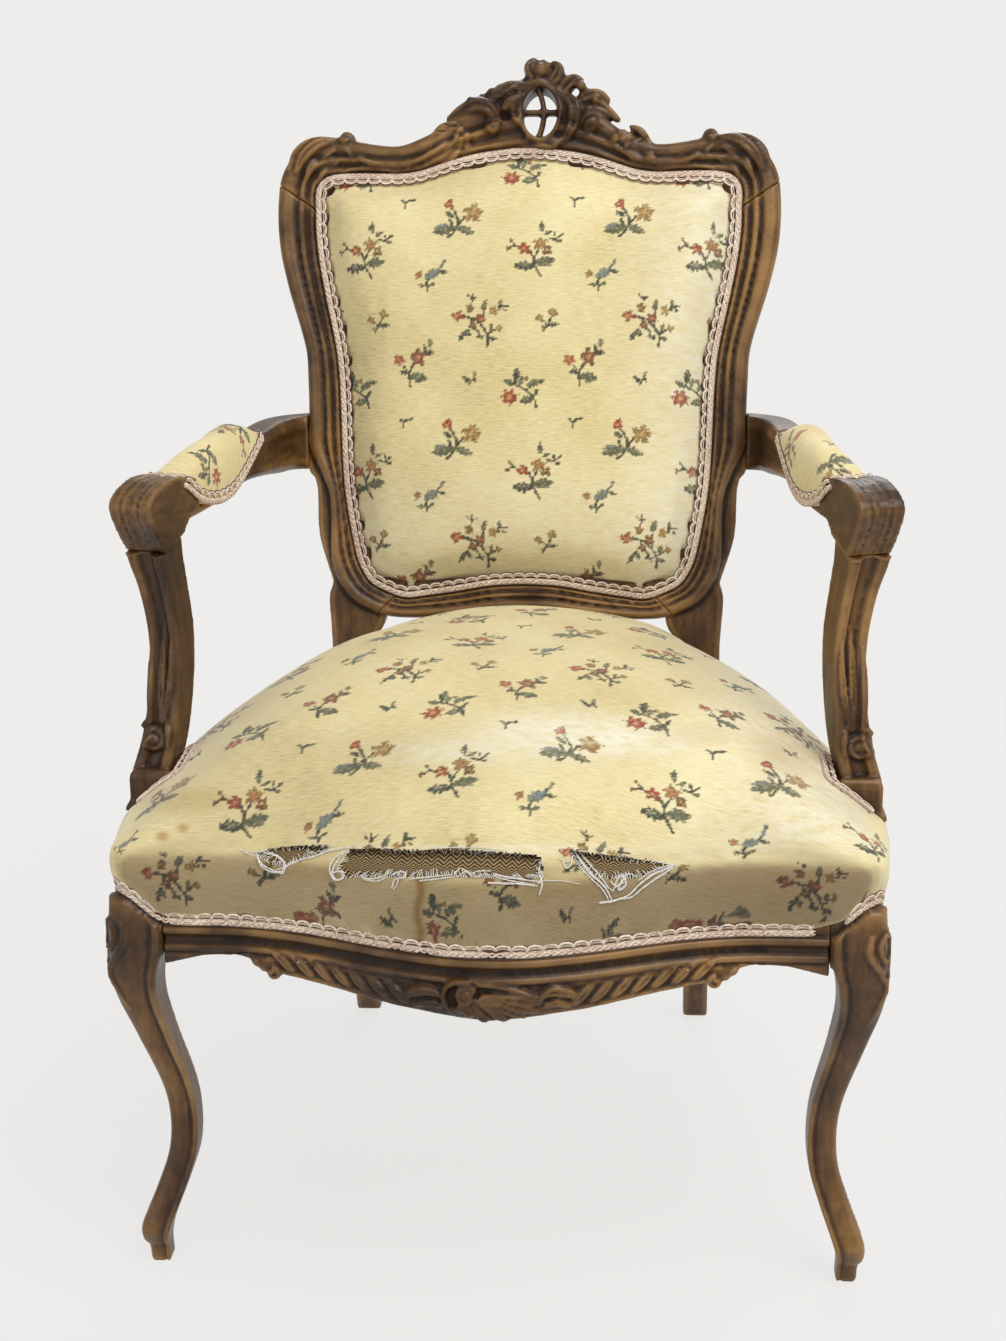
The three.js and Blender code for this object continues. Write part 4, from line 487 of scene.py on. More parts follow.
def herringboneMaterial():
    material, tree, shader = newMaterial("herringboneCloth")
    weave = node(tree, "Attribute", attribute_name="weave").outputs["Vector"]
    parts = node(tree, "SeparateXYZ", {"Vector": weave})
    across, along = parts.outputs["X"], parts.outputs["Y"]
    fold = maths(tree, "PINGPONG", across, 0.0048)
    slant = maths(tree, "ADD", maths(tree, "MULTIPLY", fold, 1.1), along)
    ribs = maths(tree, "PINGPONG", maths(tree, "MULTIPLY", slant, 250.0), 0.5)
    noise = node(tree, "TexNoise", {"Vector": weave, "Scale": 400.0, "Detail": 2.0}).outputs["Fac"]
    tone = maths(tree, "ADD", maths(tree, "MULTIPLY", ribs, 1.6), maths(tree, "MULTIPLY", noise, 0.3))
    tree.links.new(colourRamp(tree, tone, [
        (0.36, (0.022, 0.013, 0.006)), (0.52, (0.10, 0.060, 0.022)), (0.74, (0.34, 0.23, 0.095))]), shader.inputs["Base Color"])
    shader.inputs["Roughness"].default_value = 0.9
    bump = node(tree, "Bump", {"Height": tone, "Strength": 0.6, "Distance": 0.0008})
    tree.links.new(bump.outputs["Normal"], shader.inputs["Normal"])
    return material


# Gimp: pale thread, pink in its hollows, with a dark burgundy edge cord marked by the attribute cord.
def gimpMaterial():
    material, tree, shader = newMaterial("silkGimp")
    place = node(tree, "TexCoord").outputs["Object"]
    twist = node(tree, "TexNoise", {"Vector": place, "Scale": 520.0, "Detail": 2.0}).outputs["Fac"]
    patches = node(tree, "TexNoise", {"Vector": place, "Scale": 26.0, "Detail": 2.0}).outputs["Fac"]
    tone = maths(tree, "ADD", maths(tree, "MULTIPLY", twist, 0.7), maths(tree, "MULTIPLY", patches, 0.3))
    pale = colourRamp(tree, tone, [(0.36, (0.52, 0.34, 0.26)), (0.5, (0.78, 0.62, 0.49)), (0.64, (0.90, 0.82, 0.66))])
    cord = node(tree, "Attribute", attribute_name="cord").outputs["Fac"]
    tree.links.new(mixColour(tree, cord, pale, (0.085, 0.028, 0.022)), shader.inputs["Base Color"])
    shader.inputs["Roughness"].default_value = 0.7
    shader.inputs["Sheen Weight"].default_value = 0.2
    bump = node(tree, "Bump", {"Height": twist, "Strength": 0.6, "Distance": 0.0004})
    tree.links.new(bump.outputs["Normal"], shader.inputs["Normal"])
    return material


walnutUpright = walnutMaterial("walnutUpright", 2)
walnutAcross = walnutMaterial("walnutAcross", 0)
walnutDeep = walnutMaterial("walnutDeep", 1)
tapestry = tapestryMaterial()
herringbone = herringboneMaterial()
gimpFinish = gimpMaterial()
beech = plainMaterial("beechWood", (0.30, 0.17, 0.075), (0.50, 0.32, 0.16), (90.0, 14.0, 90.0), 0.6)
springSteel = plainMaterial("springSteel", (0.12, 0.11, 0.10), (0.34, 0.33, 0.31), (300.0, 300.0, 300.0), 0.35, 0.9, 0.1)
juteCloth = plainMaterial("juteCloth", (0.24, 0.155, 0.07), (0.46, 0.33, 0.17), (900.0, 900.0, 300.0), 0.75, 0.0, 0.8)
horsehair = plainMaterial("horsehairPad", (0.03, 0.02, 0.012), (0.12, 0.085, 0.05), (500.0, 500.0, 500.0), 0.85, 0.0, 1.0)
threadWhite = plainMaterial("wornThread", (0.62, 0.58, 0.50), (0.88, 0.86, 0.80), (700.0, 700.0, 700.0), 0.75, 0.0, 0.4)
print("materials made")


# Plan of the seat and rails

seatPlan = {
    "frontFace": -40.0, "bowDepth": 53.0, "bowHalf": 215.0, "frontHalf": 306.0, "rearHalf": 194.0, "depth": 391.0,
    "corner": 30.0, "railTop": 352.0, "coverLine": 321.0, "apronDrop": 50.0, "rearEdge": 426.5, "railEnd": 261.7,
    "sideBow": smoothRows([[0, 0], [.12, -.055], [.24, -.07], [.38, -.01], [.55, .16], [.72, .43], [.88, .78], [1, 1]], 8),
}


def frontRailFace(x):
    share = np.minimum(np.abs(x) / seatPlan["bowHalf"], 1)
    return seatPlan["frontFace"] - seatPlan["bowDepth"] * (0.5 + 0.5 * np.cos(math.pi * share))


def sideRailFace(y):
    narrowing = seatPlan["frontHalf"] - seatPlan["rearHalf"]
    return seatPlan["frontHalf"] - narrowing * table(seatPlan["sideBow"], y / seatPlan["depth"])


# Closed outline of the seat in plan, counterclockwise from the middle of the front.
def seatOutline(growth, spacing=4.0):
    cornerX = seatPlan["frontHalf"] - seatPlan["corner"]
    cornerY = seatPlan["frontFace"] + seatPlan["corner"]
    xs = np.linspace(0, cornerX, 90)
    angles = np.linspace(0, math.pi / 2, 12)[1:]
    ys = np.linspace(cornerY, seatPlan["depth"], 120)[1:]
    half = np.vstack([
        np.column_stack([xs, frontRailFace(xs)]),
        np.column_stack([cornerX + seatPlan["corner"] * np.sin(angles), cornerY - seatPlan["corner"] * np.cos(angles)]),
        np.column_stack([sideRailFace(np.maximum(ys, 0)), ys]),
        [[seatPlan["rearHalf"], seatPlan["rearEdge"]], [0, seatPlan["rearEdge"]]],
    ])
    left = half[1:-1][::-1] * [-1, 1]
    ring = smoothRing(evenLine(np.vstack([half, left]), spacing, closed=True), 2)
    along = unit(np.roll(ring, -1, axis=0) - np.roll(ring, 1, axis=0))
    return ring + growth * np.column_stack([along[:, 1], -along[:, 0]])


seatShape = {"shoulderRise": 48.0, "crown": 490.0, "crownY": 230.0, "bulge": 7.0, "kneeLift": 24.0,
             "crownHalf": (265.0, 235.0)}


def shoulderHeight(x, y):
    across = np.abs(x)
    base = seatPlan["railTop"]
    rise = seatShape["shoulderRise"]
    rear = base + rise * (2.05 - 0.85 * np.minimum(across / seatPlan["rearHalf"], 1) ** 2.2)
    front = base + rise * (1 - 0.25 * across / seatPlan["frontHalf"])
    side = base + rise * (0.75 + 0.45 * (np.clip(y, 0, None) / seatPlan["depth"]) ** 2)
    return np.where(y > seatPlan["depth"], rear, np.where(y < 0, front, side))


def coverEdge(x, y):
    fromCorner = np.hypot(np.abs(x) - seatPlan["frontHalf"], y - seatPlan["frontFace"])
    lift = seatShape["kneeLift"]
    return seatPlan["coverLine"] + lift * (1 - smoothstep(fromCorner, lift / 2, lift * 2))


# Upholstery of the seat

seatWall = [[-1.3, 0], [1.2, .12], [3.15, .3], [6.2, .5], [7, .66], [6.4, .77], [4.5, .87], [1.0, .945], [-3.4, .988]]


def seatBody(depth=0.0, bottom=coverEdge, spacing=5.0, crownDrop=0.0):
    edge = seatOutline(0, spacing)
    shoulder = smoothRing(shoulderHeight(edge[:, 0], edge[:, 1]), 12)
    low = bottom(edge[:, 0], edge[:, 1])
    rings = []
    for growth, share in smoothRows(seatWall, 2):
        ring = seatOutline(growth - depth, spacing)
        rings.append(np.column_stack([ring, lerp(low, shoulder - depth, share)]))
    rim = seatOutline(-seatShape["bulge"] - depth, spacing)
    middle = np.array([0, seatShape["crownY"]])
    arm = rim - middle
    angle = np.arctan2(arm[:, 1], arm[:, 0])
    halfWide, halfDeep = seatShape["crownHalf"]
    reach = 1 / np.hypot(np.cos(angle) / halfWide, np.sin(angle) / halfDeep)
    rounded = reach[:, None] * np.column_stack([np.cos(angle), np.sin(angle)])
    for share in (0.02, 0.06, .12, .2, .3, .4, .52, .64, .76, .88, .96):
        blend = min(1.0, 1.5 * share)
        place = middle + (1 - share) * (arm * (1 - blend) + rounded * blend)
        rise = 1 - (1 - share) ** 3.1
        height = lerp(shoulder, seatShape["crown"] - crownDrop, rise) - depth
        rings.append(np.column_stack([place, height]))
    return rings


# Cloth stretched over stuffing: a short pressure simulation, with how far a point may move held in.
def inflate(piece, reach, pressure=4.0, frames=20):
    start = readPoints(piece)
    choose(piece)
    cloth = piece.modifiers.new("Stuffing", "CLOTH")
    cloth.settings.use_pressure = True
    cloth.settings.uniform_pressure_force = pressure
    cloth.settings.effector_weights.gravity = 0
    cloth.settings.quality = 4
    for step in range(1, frames + 1):
        scene.frame_set(step)
    bpy.ops.object.modifier_apply(modifier=cloth.name)
    move = readPoints(piece) - start
    length = np.linalg.norm(move, axis=1)
    cap = reach(start)
    scale = np.where(length > cap, cap / np.maximum(length, 1e-6), 1)
    writePoints(piece, start + move * scale[:, None])
    scene.frame_set(1)


def deleteFaces(piece, test):
    mesh = piece.data
    centres = np.empty(len(mesh.polygons) * 3)
    mesh.polygons.foreach_get("center", centres)
    doomed = test(fromScene(centres.reshape(-1, 3)))
    choose(piece)
    bpy.ops.object.mode_set(mode="EDIT")
    bpy.ops.mesh.select_mode(type="FACE")
    bpy.ops.mesh.select_all(action="DESELECT")
    bpy.ops.object.mode_set(mode="OBJECT")
    mesh.polygons.foreach_set("select", doomed)
    bpy.ops.object.mode_set(mode="EDIT")
    bpy.ops.mesh.delete(type="FACE")
    bpy.ops.object.mode_set(mode="OBJECT")


# One repeat of the cloth is drawn on a sheet 1080 by 1430 units, y downwards.
sprigSheet = {"width": 1080.0, "height": 1430.0, "repeatWide": 165.0, "repeatHigh": 213.0, "stitch": 7.0}
sprigInks = {
    "stem": (0.070, 0.062, 0.035), "leaf": (0.115, 0.118, 0.060), "leafDark": (0.060, 0.062, 0.038),
    "leafPale": (0.24, 0.23, 0.12), "blueGrey": (0.17, 0.195, 0.17), "red": (0.31, 0.062, 0.026),
    "rose": (0.43, 0.15, 0.075), "ochre": (0.30, 0.175, 0.05), "ochrePale": (0.46, 0.30, 0.11), "brown": (0.17, 0.085, 0.035),
}
# Stems: ink, half width, then points. Leaves: ink, width, root and tip. Flowers: inks, petals, radius, middle.
sprigStems = [
    ("stem", 8, (318, 322), (345, 300), (372, 255), (378, 205), (345, 140)), ("stem", 7, (372, 255), (420, 190)),
    ("stem", 8, (905, 578), (865, 510), (855, 450), (835, 415)), ("stem", 7, (862, 460), (890, 405)),
    ("stem", 7, (760, 390), (735, 380), (700, 402)), ("stem", 6, (745, 380), (716, 350)),
    ("stem", 7, (955, 335), (1030, 352)), ("stem", 6, (990, 345), (1040, 308)), ("stem", 6, (1005, 348), (990, 300)),
    ("leafDark", 7, (190, 675), (182, 620), (205, 575), (250, 545), (292, 480)),
    ("stem", 8, (570, 1025), (575, 960), (540, 900), (500, 860), (420, 835)), ("stem", 6, (540, 900), (548, 800), (562, 740)),
    ("stem", 6, (655, 800), (640, 770), (705, 770)), ("stem", 6, (475, 740), (472, 690)), ("stem", 5, (475, 725), (505, 712)),
    ("stem", 5, (472, 730), (445, 700)), ("stem", 6, (540, 985), (510, 930), (470, 890)), ("stem", 6, (575, 950), (620, 920)),
    ("stem", 7, (925, 928), (950, 890), (985, 835)), ("stem", 6, (950, 890), (905, 850)),
    ("stem", 8, (1160, 1285), (1148, 1205), (1180, 1140)), ("stem", 6, (1148, 1205), (1115, 1150)),
    ("stem", 6, (1235, 1085), (1290, 1075)), ("stem", 6, (1245, 1080), (1245, 1035)),
    ("stem", 7, (882, 1420), (868, 1360), (815, 1310), (740, 1272)), ("stem", 6, (815, 1310), (890, 1265), (930, 1250)),
    ("stem", 6, (868, 1360), (895, 1312)), ("stem", 6, (745, 1275), (760, 1225)), ("stem", 6, (500, 1268), (480, 1225)),
    ("stem", 6, (455, 1262), (490, 1235)), ("leafDark", 7, (1115, 127), (1113, 92), (1090, 68)),
    ("leafDark", 6, (1113, 92), (1140, 66), (1182, 66)),
]
sprigLeaves = [
    ("leafDark", 30, (348, 192), (292, 152)), ("leaf", 62, (355, 262), (222, 290)), ("blueGrey", 26, (300, 240), (225, 262)),
    ("leafDark", 24, (322, 205), (348, 268)), ("leaf", 54, (378, 262), (478, 296)), ("leafPale", 20, (420, 270), (472, 292)),
    ("leaf", 34, (912, 292), (908, 218)), ("leaf", 24, (930, 312), (978, 288)), ("leafDark", 20, (1005, 350), (1036, 358)),
    ("leafDark", 60, (850, 512), (738, 512)), ("leafPale", 22, (815, 505), (765, 500)), ("leaf", 62, (878, 492), (994, 472)),
    ("leafPale", 24, (920, 492), (975, 510)), ("blueGrey", 62, (185, 580), (262, 535)), ("leafDark", 26, (262, 545), (314, 552)),
    ("blueGrey", 20, (272, 520), (296, 466)), ("leaf", 26, (175, 640), (128, 632)), ("leaf", 28, (195, 642), (236, 616)),
    ("leaf", 34, (536, 790), (568, 722)), ("leafDark", 24, (655, 765), (648, 728)), ("leafDark", 20, (672, 790), (690, 806)),
    ("leafDark", 30, (435, 930), (388, 998)), ("leafDark", 28, (440, 920), (462, 975)), ("leafDark", 24, (545, 965), (498, 966)),
    ("leafDark", 26, (580, 975), (632, 985)), ("leaf", 26, (590, 930), (600, 880)), ("leafDark", 30, (955, 895), (1028, 888)),
    ("leafDark", 22, (945, 905), (912, 912)), ("leafPale", 32, (1285, 1030), (1286, 980)), ("leafDark", 26, (1262, 1075), (1245, 1015)),
    ("leafDark", 26, (1265, 1062), (1312, 1072)), ("leafDark", 28, (1142, 1200), (1088, 1190)), ("leaf", 64, (1170, 1222), (1266, 1240)),
    ("leafPale", 22, (1190, 1200), (1240, 1222)), ("leafDark", 30, (452, 1262), (416, 1222)), ("leafDark", 26, (460, 1250), (452, 1280)),
    ("leafPale", 24, (480, 1228), (492, 1188)), ("leafDark", 46, (752, 1250), (762, 1166)), ("leaf", 36, (735, 1278), (682, 1248)),
    ("leaf", 34, (780, 1280), (792, 1222)), ("leaf", 46, (830, 1282), (908, 1250)), ("leafDark", 20, (905, 1262), (938, 1246)),
    ("leafDark", 26, (868, 1350), (898, 1304)), ("leaf", 50, (858, 1370), (782, 1382)), ("leafPale", 18, (800, 1372), (850, 1378)),
    ("leafDark", 18, (1145, 72), (1184, 62)), ("leafDark", 16, (1110, 84), (1086, 66)),
]
sprigFlowers = [
    ("red", "rose", 3, 38, (318, 104)), ("ochre", "ochrePale", 5, 68, (472, 166)), ("red", "rose", 5, 42, (800, 400)),
    ("ochre", "rose", 5, 48, (900, 365)), ("brown", "ochre", 4, 36, (946, 408)), ("brown", "red", 3, 18, (698, 400)),
    ("brown", "red", 3, 13, (716, 348)), ("ochre", "rose", 4, 30, (130, 566)), ("red", "rose", 4, 42, (382, 836)),
    ("brown", "ochre", 5, 36, (460, 784)), ("ochre", "ochrePale", 5, 36, (610, 800)), ("brown", "rose", 5, 40, (526, 850)),
    ("brown", "ochre", 4, 34, (478, 896)), ("ochre", "ochrePale", 4, 24, (642, 914)), ("ochre", "leafPale", 4, 34, (985, 816)),
    ("ochre", "leafPale", 4, 28, (900, 846)), ("rose", "red", 5, 42, (1086, 1116)), ("brown", "rose", 5, 62, (1208, 1098)),
    ("red", "rose", 7, 60, (712, 1358)), ("brown", "ochre", 3, 20, (822, 1238)),
]


def segmentDistance(px, py, ax, ay, bx, by):
    dx, dy = bx - ax, by - ay
    share = np.clip(((px - ax) * dx + (py - ay) * dy) / max(dx * dx + dy * dy, 1e-9), 0, 1)
    return np.hypot(px - ax - share * dx, py - ay - share * dy), share


def stitchNoise(column, row, seed):
    value = np.sin(column * 12.9898 + row * 78.233 + seed * 37.719) * 43758.5453
    return value - np.floor(value)


# Colour and cover of the sprigs at places on the cloth, given in millimetres.
def drawSprigs(u, v):
    sheet = sprigSheet
    x = (u / sheet["repeatWide"] * sheet["width"]) % sheet["width"]
    y = (-v / sheet["repeatHigh"] * sheet["height"]) % sheet["height"]
    column, row = np.floor(x / sheet["stitch"]), np.floor(y / sheet["stitch"])
    x, y = (column + 0.5) * sheet["stitch"], (row + 0.5) * sheet["stitch"]
    speck = stitchNoise(column, row, 1)
    colours = np.zeros((len(u), 4))

    def lay(mask, where, ink, other, share):
        base = np.array(sprigInks[ink])
        second = np.array(sprigInks[other])
        pick = (speck[where][mask] < share)[:, None]
        tone = (0.65 + 0.75 * stitchNoise(column[where][mask], row[where][mask], 3))[:, None]
        target = where[mask]
        colours[target, :3] = np.where(pick, second, base) * tone
        colours[target, 3] = 1

    for shiftX in (-sheet["width"], 0, sheet["width"]):
        for shiftDown in (-sheet["height"], 0, sheet["height"]):
            px, py = x - shiftX, y - shiftDown
            if px.max() < -60 or px.min() > sheet["width"] + 400:
                continue
            for ink, half, *points in sprigStems:
                xs = [point[0] for point in points]
                ys = [point[1] for point in points]
                where = np.where((px > min(xs) - 20) & (px < max(xs) + 20) & (py > min(ys) - 20) & (py < max(ys) + 20))[0]
                if not len(where):
                    continue
                nearest = np.full(len(where), 1e9)
                for start, end in zip(points, points[1:]):
                    nearest = np.minimum(nearest, segmentDistance(px[where], py[where], *start, *end)[0])
                lay(nearest < half, where, ink, "leaf", 0.15)
            for ink, width, root, tip in sprigLeaves:
                where = np.where((px > min(root[0], tip[0]) - width) & (px < max(root[0], tip[0]) + width)
                                 & (py > min(root[1], tip[1]) - width) & (py < max(root[1], tip[1]) + width))[0]
                if not len(where):
                    continue
                distance, share = segmentDistance(px[where], py[where], *root, *tip)
                edge = width / 2 * np.sin(math.pi * (0.12 + 0.86 * share)) ** 0.8 * (1 + 0.22 * np.sin(share * 22))
                lay(distance < edge, where, ink, "leafPale" if ink != "leafPale" else "leaf", 0.22)
            for ink, heart, petals, radius, middle in sprigFlowers:
                where = np.where((np.abs(px - middle[0]) < radius * 1.3) & (np.abs(py - middle[1]) < radius * 1.3))[0]
                if not len(where):
                    continue
                dx, dy = px[where] - middle[0], py[where] - middle[1]
                reach = np.hypot(dx, dy)
                lobe = radius * (0.78 + 0.17 * np.cos(petals * np.arctan2(dy, dx) + middle[0]) + 0.34 * (speck[where] - 0.5))
                mask = reach < lobe
                lay(mask, where, ink, heart, 0.30)
                lay(reach < radius * 0.24, where, heart, "ochrePale", 0.5)
    return colours


def paintCloth(piece, u, v, marksAndPaintedLight=None):
    setColours(piece, "sprig", drawSprigs(u, v))
    setColours(piece, "marksAndPaintedLight", np.zeros((len(u), 3)) if marksAndPaintedLight is None else marksAndPaintedLight)
    setVectors(piece, "weave", np.column_stack([u, v, np.zeros(len(u))]) / 1000)


# Pushes the cloth down where wood stands on the seat.
def makeRoom(points, low, high, floor, margin=2.0):
    x, y, z = points.T
    inside = np.minimum(np.minimum(np.abs(x) - low[0], high[0] - np.abs(x)), np.minimum(y - low[1], high[1] - y))
    share = smoothstep(inside, -margin * 1.6, -margin * 0.2)
    points[:, 2] = np.where(z > floor, lerp(z, floor, share), z)


supportFoot = {"low": (272.6, 68.6), "high": (315.4, 115.4), "floor": 377.4}


# True where points lie deeper in the wood of the stiles than the cloth is tucked in.
def inStiles(points, tucked=2.5):
    buried = np.zeros(len(points), bool)
    near = np.where((np.abs(points[:, 0]) > 140) & (points[:, 1] > 375))[0]
    for name in ("left_rear_stile", "right_rear_stile"):
        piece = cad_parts[name]
        corners = [piece.matrix_world @ corner.co for corner in piece.data.vertices]
        tree = BVHTree.FromPolygons(corners, [tuple(face.vertices) for face in piece.data.polygons])
        for index, place in zip(near, toScene(points[near])):
            spot, normal = tree.find_nearest(Vector(place))[:2]
            buried[index] |= (spot - Vector(place)).dot(normal) * 1000 > tucked
    return buried


# Outlines of the tear's three openings, in pixels of the photograph.
tearHoles = [
    [(255, 854), (272, 848), (300, 845), (330, 846), (326, 852), (308, 858), (290, 865), (272, 864)],
    [(350, 849), (372, 848), (410, 850), (458, 849), (500, 852), (538, 855), (543, 866), (541, 878), (494, 878),
     (455, 876), (410, 877), (366, 876), (345, 877), (337, 870)],
    [(568, 849), (605, 855), (650, 860), (673, 866), (658, 872), (630, 878), (598, 878), (582, 872)],
]


def insidePolygon(x, z, corners):
    inside = np.zeros(x.shape, bool)
    for (ax, az), (bx, bz) in zip(corners, corners[1:] + corners[:1]):
        crosses = (az > z) != (bz > z)
        inside ^= crosses & (x < (bx - ax) * (z - az) / (bz - az + 1e-9) + ax)
    return inside


def inTear(points):
    px, py = photoPlace(points)
    torn = np.zeros(len(points), bool)
    for hole in tearHoles:
        ragged = smoothRing(evenLine(hole, 2.0, closed=True), 1)
        ragged = ragged + 0.9 * np.column_stack([np.sin(ragged[:, 0] * 1.9), np.sin(ragged[:, 0] * 1.3 + 1)])
        torn |= insidePolygon(px, py, [tuple(corner) for corner in ragged])
    return torn & (points[:, 1] < 20) & (points[:, 2] > 360)


# The place on the cloth: over the top as in plan, and down the walls by the drop below the shoulder.
def seatClothPlace(points, normals):
    x, y, z = points.T
    level = unit(normals[:, :2] + 1e-9)
    steep = smoothstep(np.hypot(normals[:, 0], normals[:, 1]), 0.25, 0.85)
    drop = np.maximum(shoulderHeight(x, y) + 6 - z, 0) * steep
    return x + level[:, 0] * drop, y + level[:, 1] * drop


seatCloth = {"shiftU": 1.5, "shiftV": 54.0}
# Marks on the seat by pixel of the photograph: middle, half width, half height and strength.
threadbareMarks = [(560, 735, 85, 26, .9), (440, 752, 60, 14, .6), (650, 742, 50, 16, .5), (520, 850, 150, 6, .5)]
stainMarks = [(162, 836, 7, 5, .8), (183, 828, 6, 5, .7), (790, 752, 42, 22, .42), (190, 801, 50, 14, .4),
              (640, 690, 70, 22, .16), (350, 690, 90, 26, .14), (330, 870, 60, 12, .35), (700, 735, 40, 12, .2),
              (560, 885, 60, 14, .25), (865, 790, 20, 26, .3)]
dripMark = {"x": 419, "half": 4.5, "top": 878, "bottom": 952}


# How strongly marks show at points of the photograph.
def markStrength(marks, px, py):
    strength = np.zeros(len(px))
    for x, y, halfWide, halfHigh, weight in marks:
        strength += weight * np.exp(-(((px - x) / halfWide) ** 2 + ((py - y) / halfHigh) ** 2) ** 1.5)
    return np.clip(strength, 0, 1)


def makeSeat():
    cover = loft("seat_cover_cloth", seatBody(depth=1.5))
    remesh(cover, 6.8, 10)
    inflate(cover, lambda points: np.where(points[:, 2] > 385, 5.0, 1.5))
    deleteFaces(cover, lambda points: points[:, 2] < coverEdge(points[:, 0], points[:, 1]) + 1.5)
    applyModifier(cover, "SUBSURF", levels=2, render_levels=2)
    points = readPoints(cover)
    # threadbare sags across the seat, and pull marks along the gimp
    x, y, z = points.T
    lower = coverEdge(x, y)
    nearEdge = np.exp(-((z - lower - 15) / 9) ** 2)
    normals = readNormals(cover)
    pull = 0.7 * np.sin(x / 9.1 + y / 10.3) + 0.5 * np.sin(x / 4.7 - y / 5.9 + 1.3)
    sag = 1.6 * np.sin(x / 61 + 0.7) * np.sin(y / 47 + 0.4) + 0.9 * np.sin(x / 29 + y / 41)
    points += normals * (nearEdge * pull * 0.8)[:, None]
    points[:, 2] += sag * smoothstep(z, 410, 440)
    makeRoom(points, supportFoot["low"], supportFoot["high"], supportFoot["floor"])
    writePoints(cover, points)
    deleteFaces(cover, lambda centres: inTear(centres) | inStiles(centres))
    points = readPoints(cover)
    normals = readNormals(cover)
    u, v = seatClothPlace(points, normals)
    x, y, z = points.T
    marksAndPaintedLight = np.zeros((len(points), 3))
    # Painted shade on the front wall of the seat, which faces forward and down.
    frontFallShade = smoothstep(-normals[:, 1], 0.5, 1.0) * smoothstep(-y, 0, 40)
    px, py = photoPlace(points)
    seen = smoothstep(z, 330, 345)
    drip = np.exp(-((px - dripMark["x"] - 2 * np.sin(py / 7)) / dripMark["half"]) ** 2)
    drip *= smoothstep(py, dripMark["top"] - 8, dripMark["top"]) * smoothstep(dripMark["bottom"] - py, 0, 10)
    # Red: threadbare marks, and painted light that pales the right of the top.
    marksAndPaintedLight[:, 0] = markStrength(threadbareMarks, px, py) * seen + 0.7 * smoothstep(x, 90, 270) * smoothstep(z, 380, 400)
    marksAndPaintedLight[:, 1] = np.clip(markStrength(stainMarks, px, py) + drip * (y < 60), 0, 1)
    # Blue: painted shade on the front wall, on the left of the top and in the middle.
    marksAndPaintedLight[:, 2] = (0.84 + 0.16 * smoothstep(x, -40, 180)) * frontFallShade
    marksAndPaintedLight[:, 2] += 0.26 * smoothstep(-x, -60, 200) * smoothstep(z, 380, 410) * smoothstep(475 - z, 0, 30) * (1 - frontFallShade)
    marksAndPaintedLight[:, 2] += 0.12 * np.exp(-((px - 500) / 130) ** 2 - ((py - 755) / 45) ** 2) * seen
    paintCloth(cover, u - seatCloth["shiftU"], v - seatCloth["shiftV"], marksAndPaintedLight)
    smoothShade(cover, 60)
    finish(cover, tapestry, ("seat_cover",))

    under = loft("seat_under_cloth", seatBody(depth=6.0, bottom=lambda x, y: 353 + 0 * x))
    remesh(under, 4.6, 4)
    deleteFaces(under, lambda points: points[:, 2] < 354.5)
    points = readPoints(under)
    makeRoom(points, supportFoot["low"], supportFoot["high"], supportFoot["floor"] - 12, 5)
    writePoints(under, points)
    deleteFaces(under, lambda centres: inStiles(centres, 1.0))
    points = readPoints(under)
    normals = readNormals(under)
    u, v = seatClothPlace(points, normals)
    setVectors(under, "weave", np.column_stack([u, v, np.zeros(len(u))]) / 1000)
    smoothShade(under, 60)
    finish(under, herringbone, ("seat_under_cover",))
    return cover, under


seatCover, seatUnder = makeSeat()
print("seat upholstery made")


# Raked back frame

backFrame = {"sill": 490.0, "y": 415.0, "rake": 0.235, "half": 247.5, "height": 386.0, "joint": 876.0, "rise": 100.0,
             "thickness": 36.0, "moulding": 9.0, "tack": 22.0}
rakeAngle = math.atan(backFrame["rake"])
backForward = np.array([0, -math.cos(rakeAngle), math.sin(rakeAngle)])
stileEdges = [
    [.59, -.065, .525, -.021], [.687, -.034, .618, .008], [.731, -.005, .65, .034], [.76, .028, .675, .067],
    [.78, .073, .691, .106], [.788, .228, .727, .233], [.82, .285, .735, .285], [.873, .358, .741, .358],
    [.873, .433, .745, .433], [.877, .518, .752, .523], [.885, .591, .764, .591], [.958, .751, .812, .736],
    [.99, .842, .836, .819], [1, .927, .848, .894], [.994, 1, .848, .94]]
lowerRailEdges = [
    [.59, -.065, .525, -.021], [.533, -.073, .477, -.028], [.404, -.075, .404, -.023], [.242, -.07, .263, -.01],
    [.121, -.062, .129, .004], [0, -.06, 0, .008]]
crestEdges = [
    [.994, 0, .848, -.23], [.978, .13, .851, -.115], [.945, .26, .842, -.01], [.881, .4, .81, .075],
    [.808, .45, .765, .11], [.739, .44, .703, .12], [.59, .38, .578, .115], [.509, .37, .505, .112],
    [.424, .44, .43, .135], [.339, .55, .36, .19], [.275, .68, .283, .25], [.202, .77, .206, .295],
    [.121, .9, .121, .325], [.048, .98, .048, .345], [0, 1, 0, .345]]


def edgePairs(rows, base, rise):
    rows = np.array(rows)
    return np.column_stack([
        backFrame["half"] * rows[:, 0], base + rise * rows[:, 1], backFrame["half"] * rows[:, 2], base + rise * rows[:, 3]])


stilePairs = edgePairs(stileEdges, backFrame["sill"], backFrame["height"])
lowerRailPairs = edgePairs(lowerRailEdges, backFrame["sill"], backFrame["height"])
crestPairs = edgePairs(crestEdges, backFrame["joint"], backFrame["rise"])


# A place in the raked frame, from its x, its height and how far it stands before the face.
def backPoint(x, height, forward):
    x, height, forward = np.broadcast_arrays(x, height, forward)
    y = backFrame["y"] + backFrame["rake"] * (height - backFrame["sill"]) - forward * math.cos(rakeAngle)
    return np.stack([x, y, height + forward * math.sin(rakeAngle)], axis=-1)


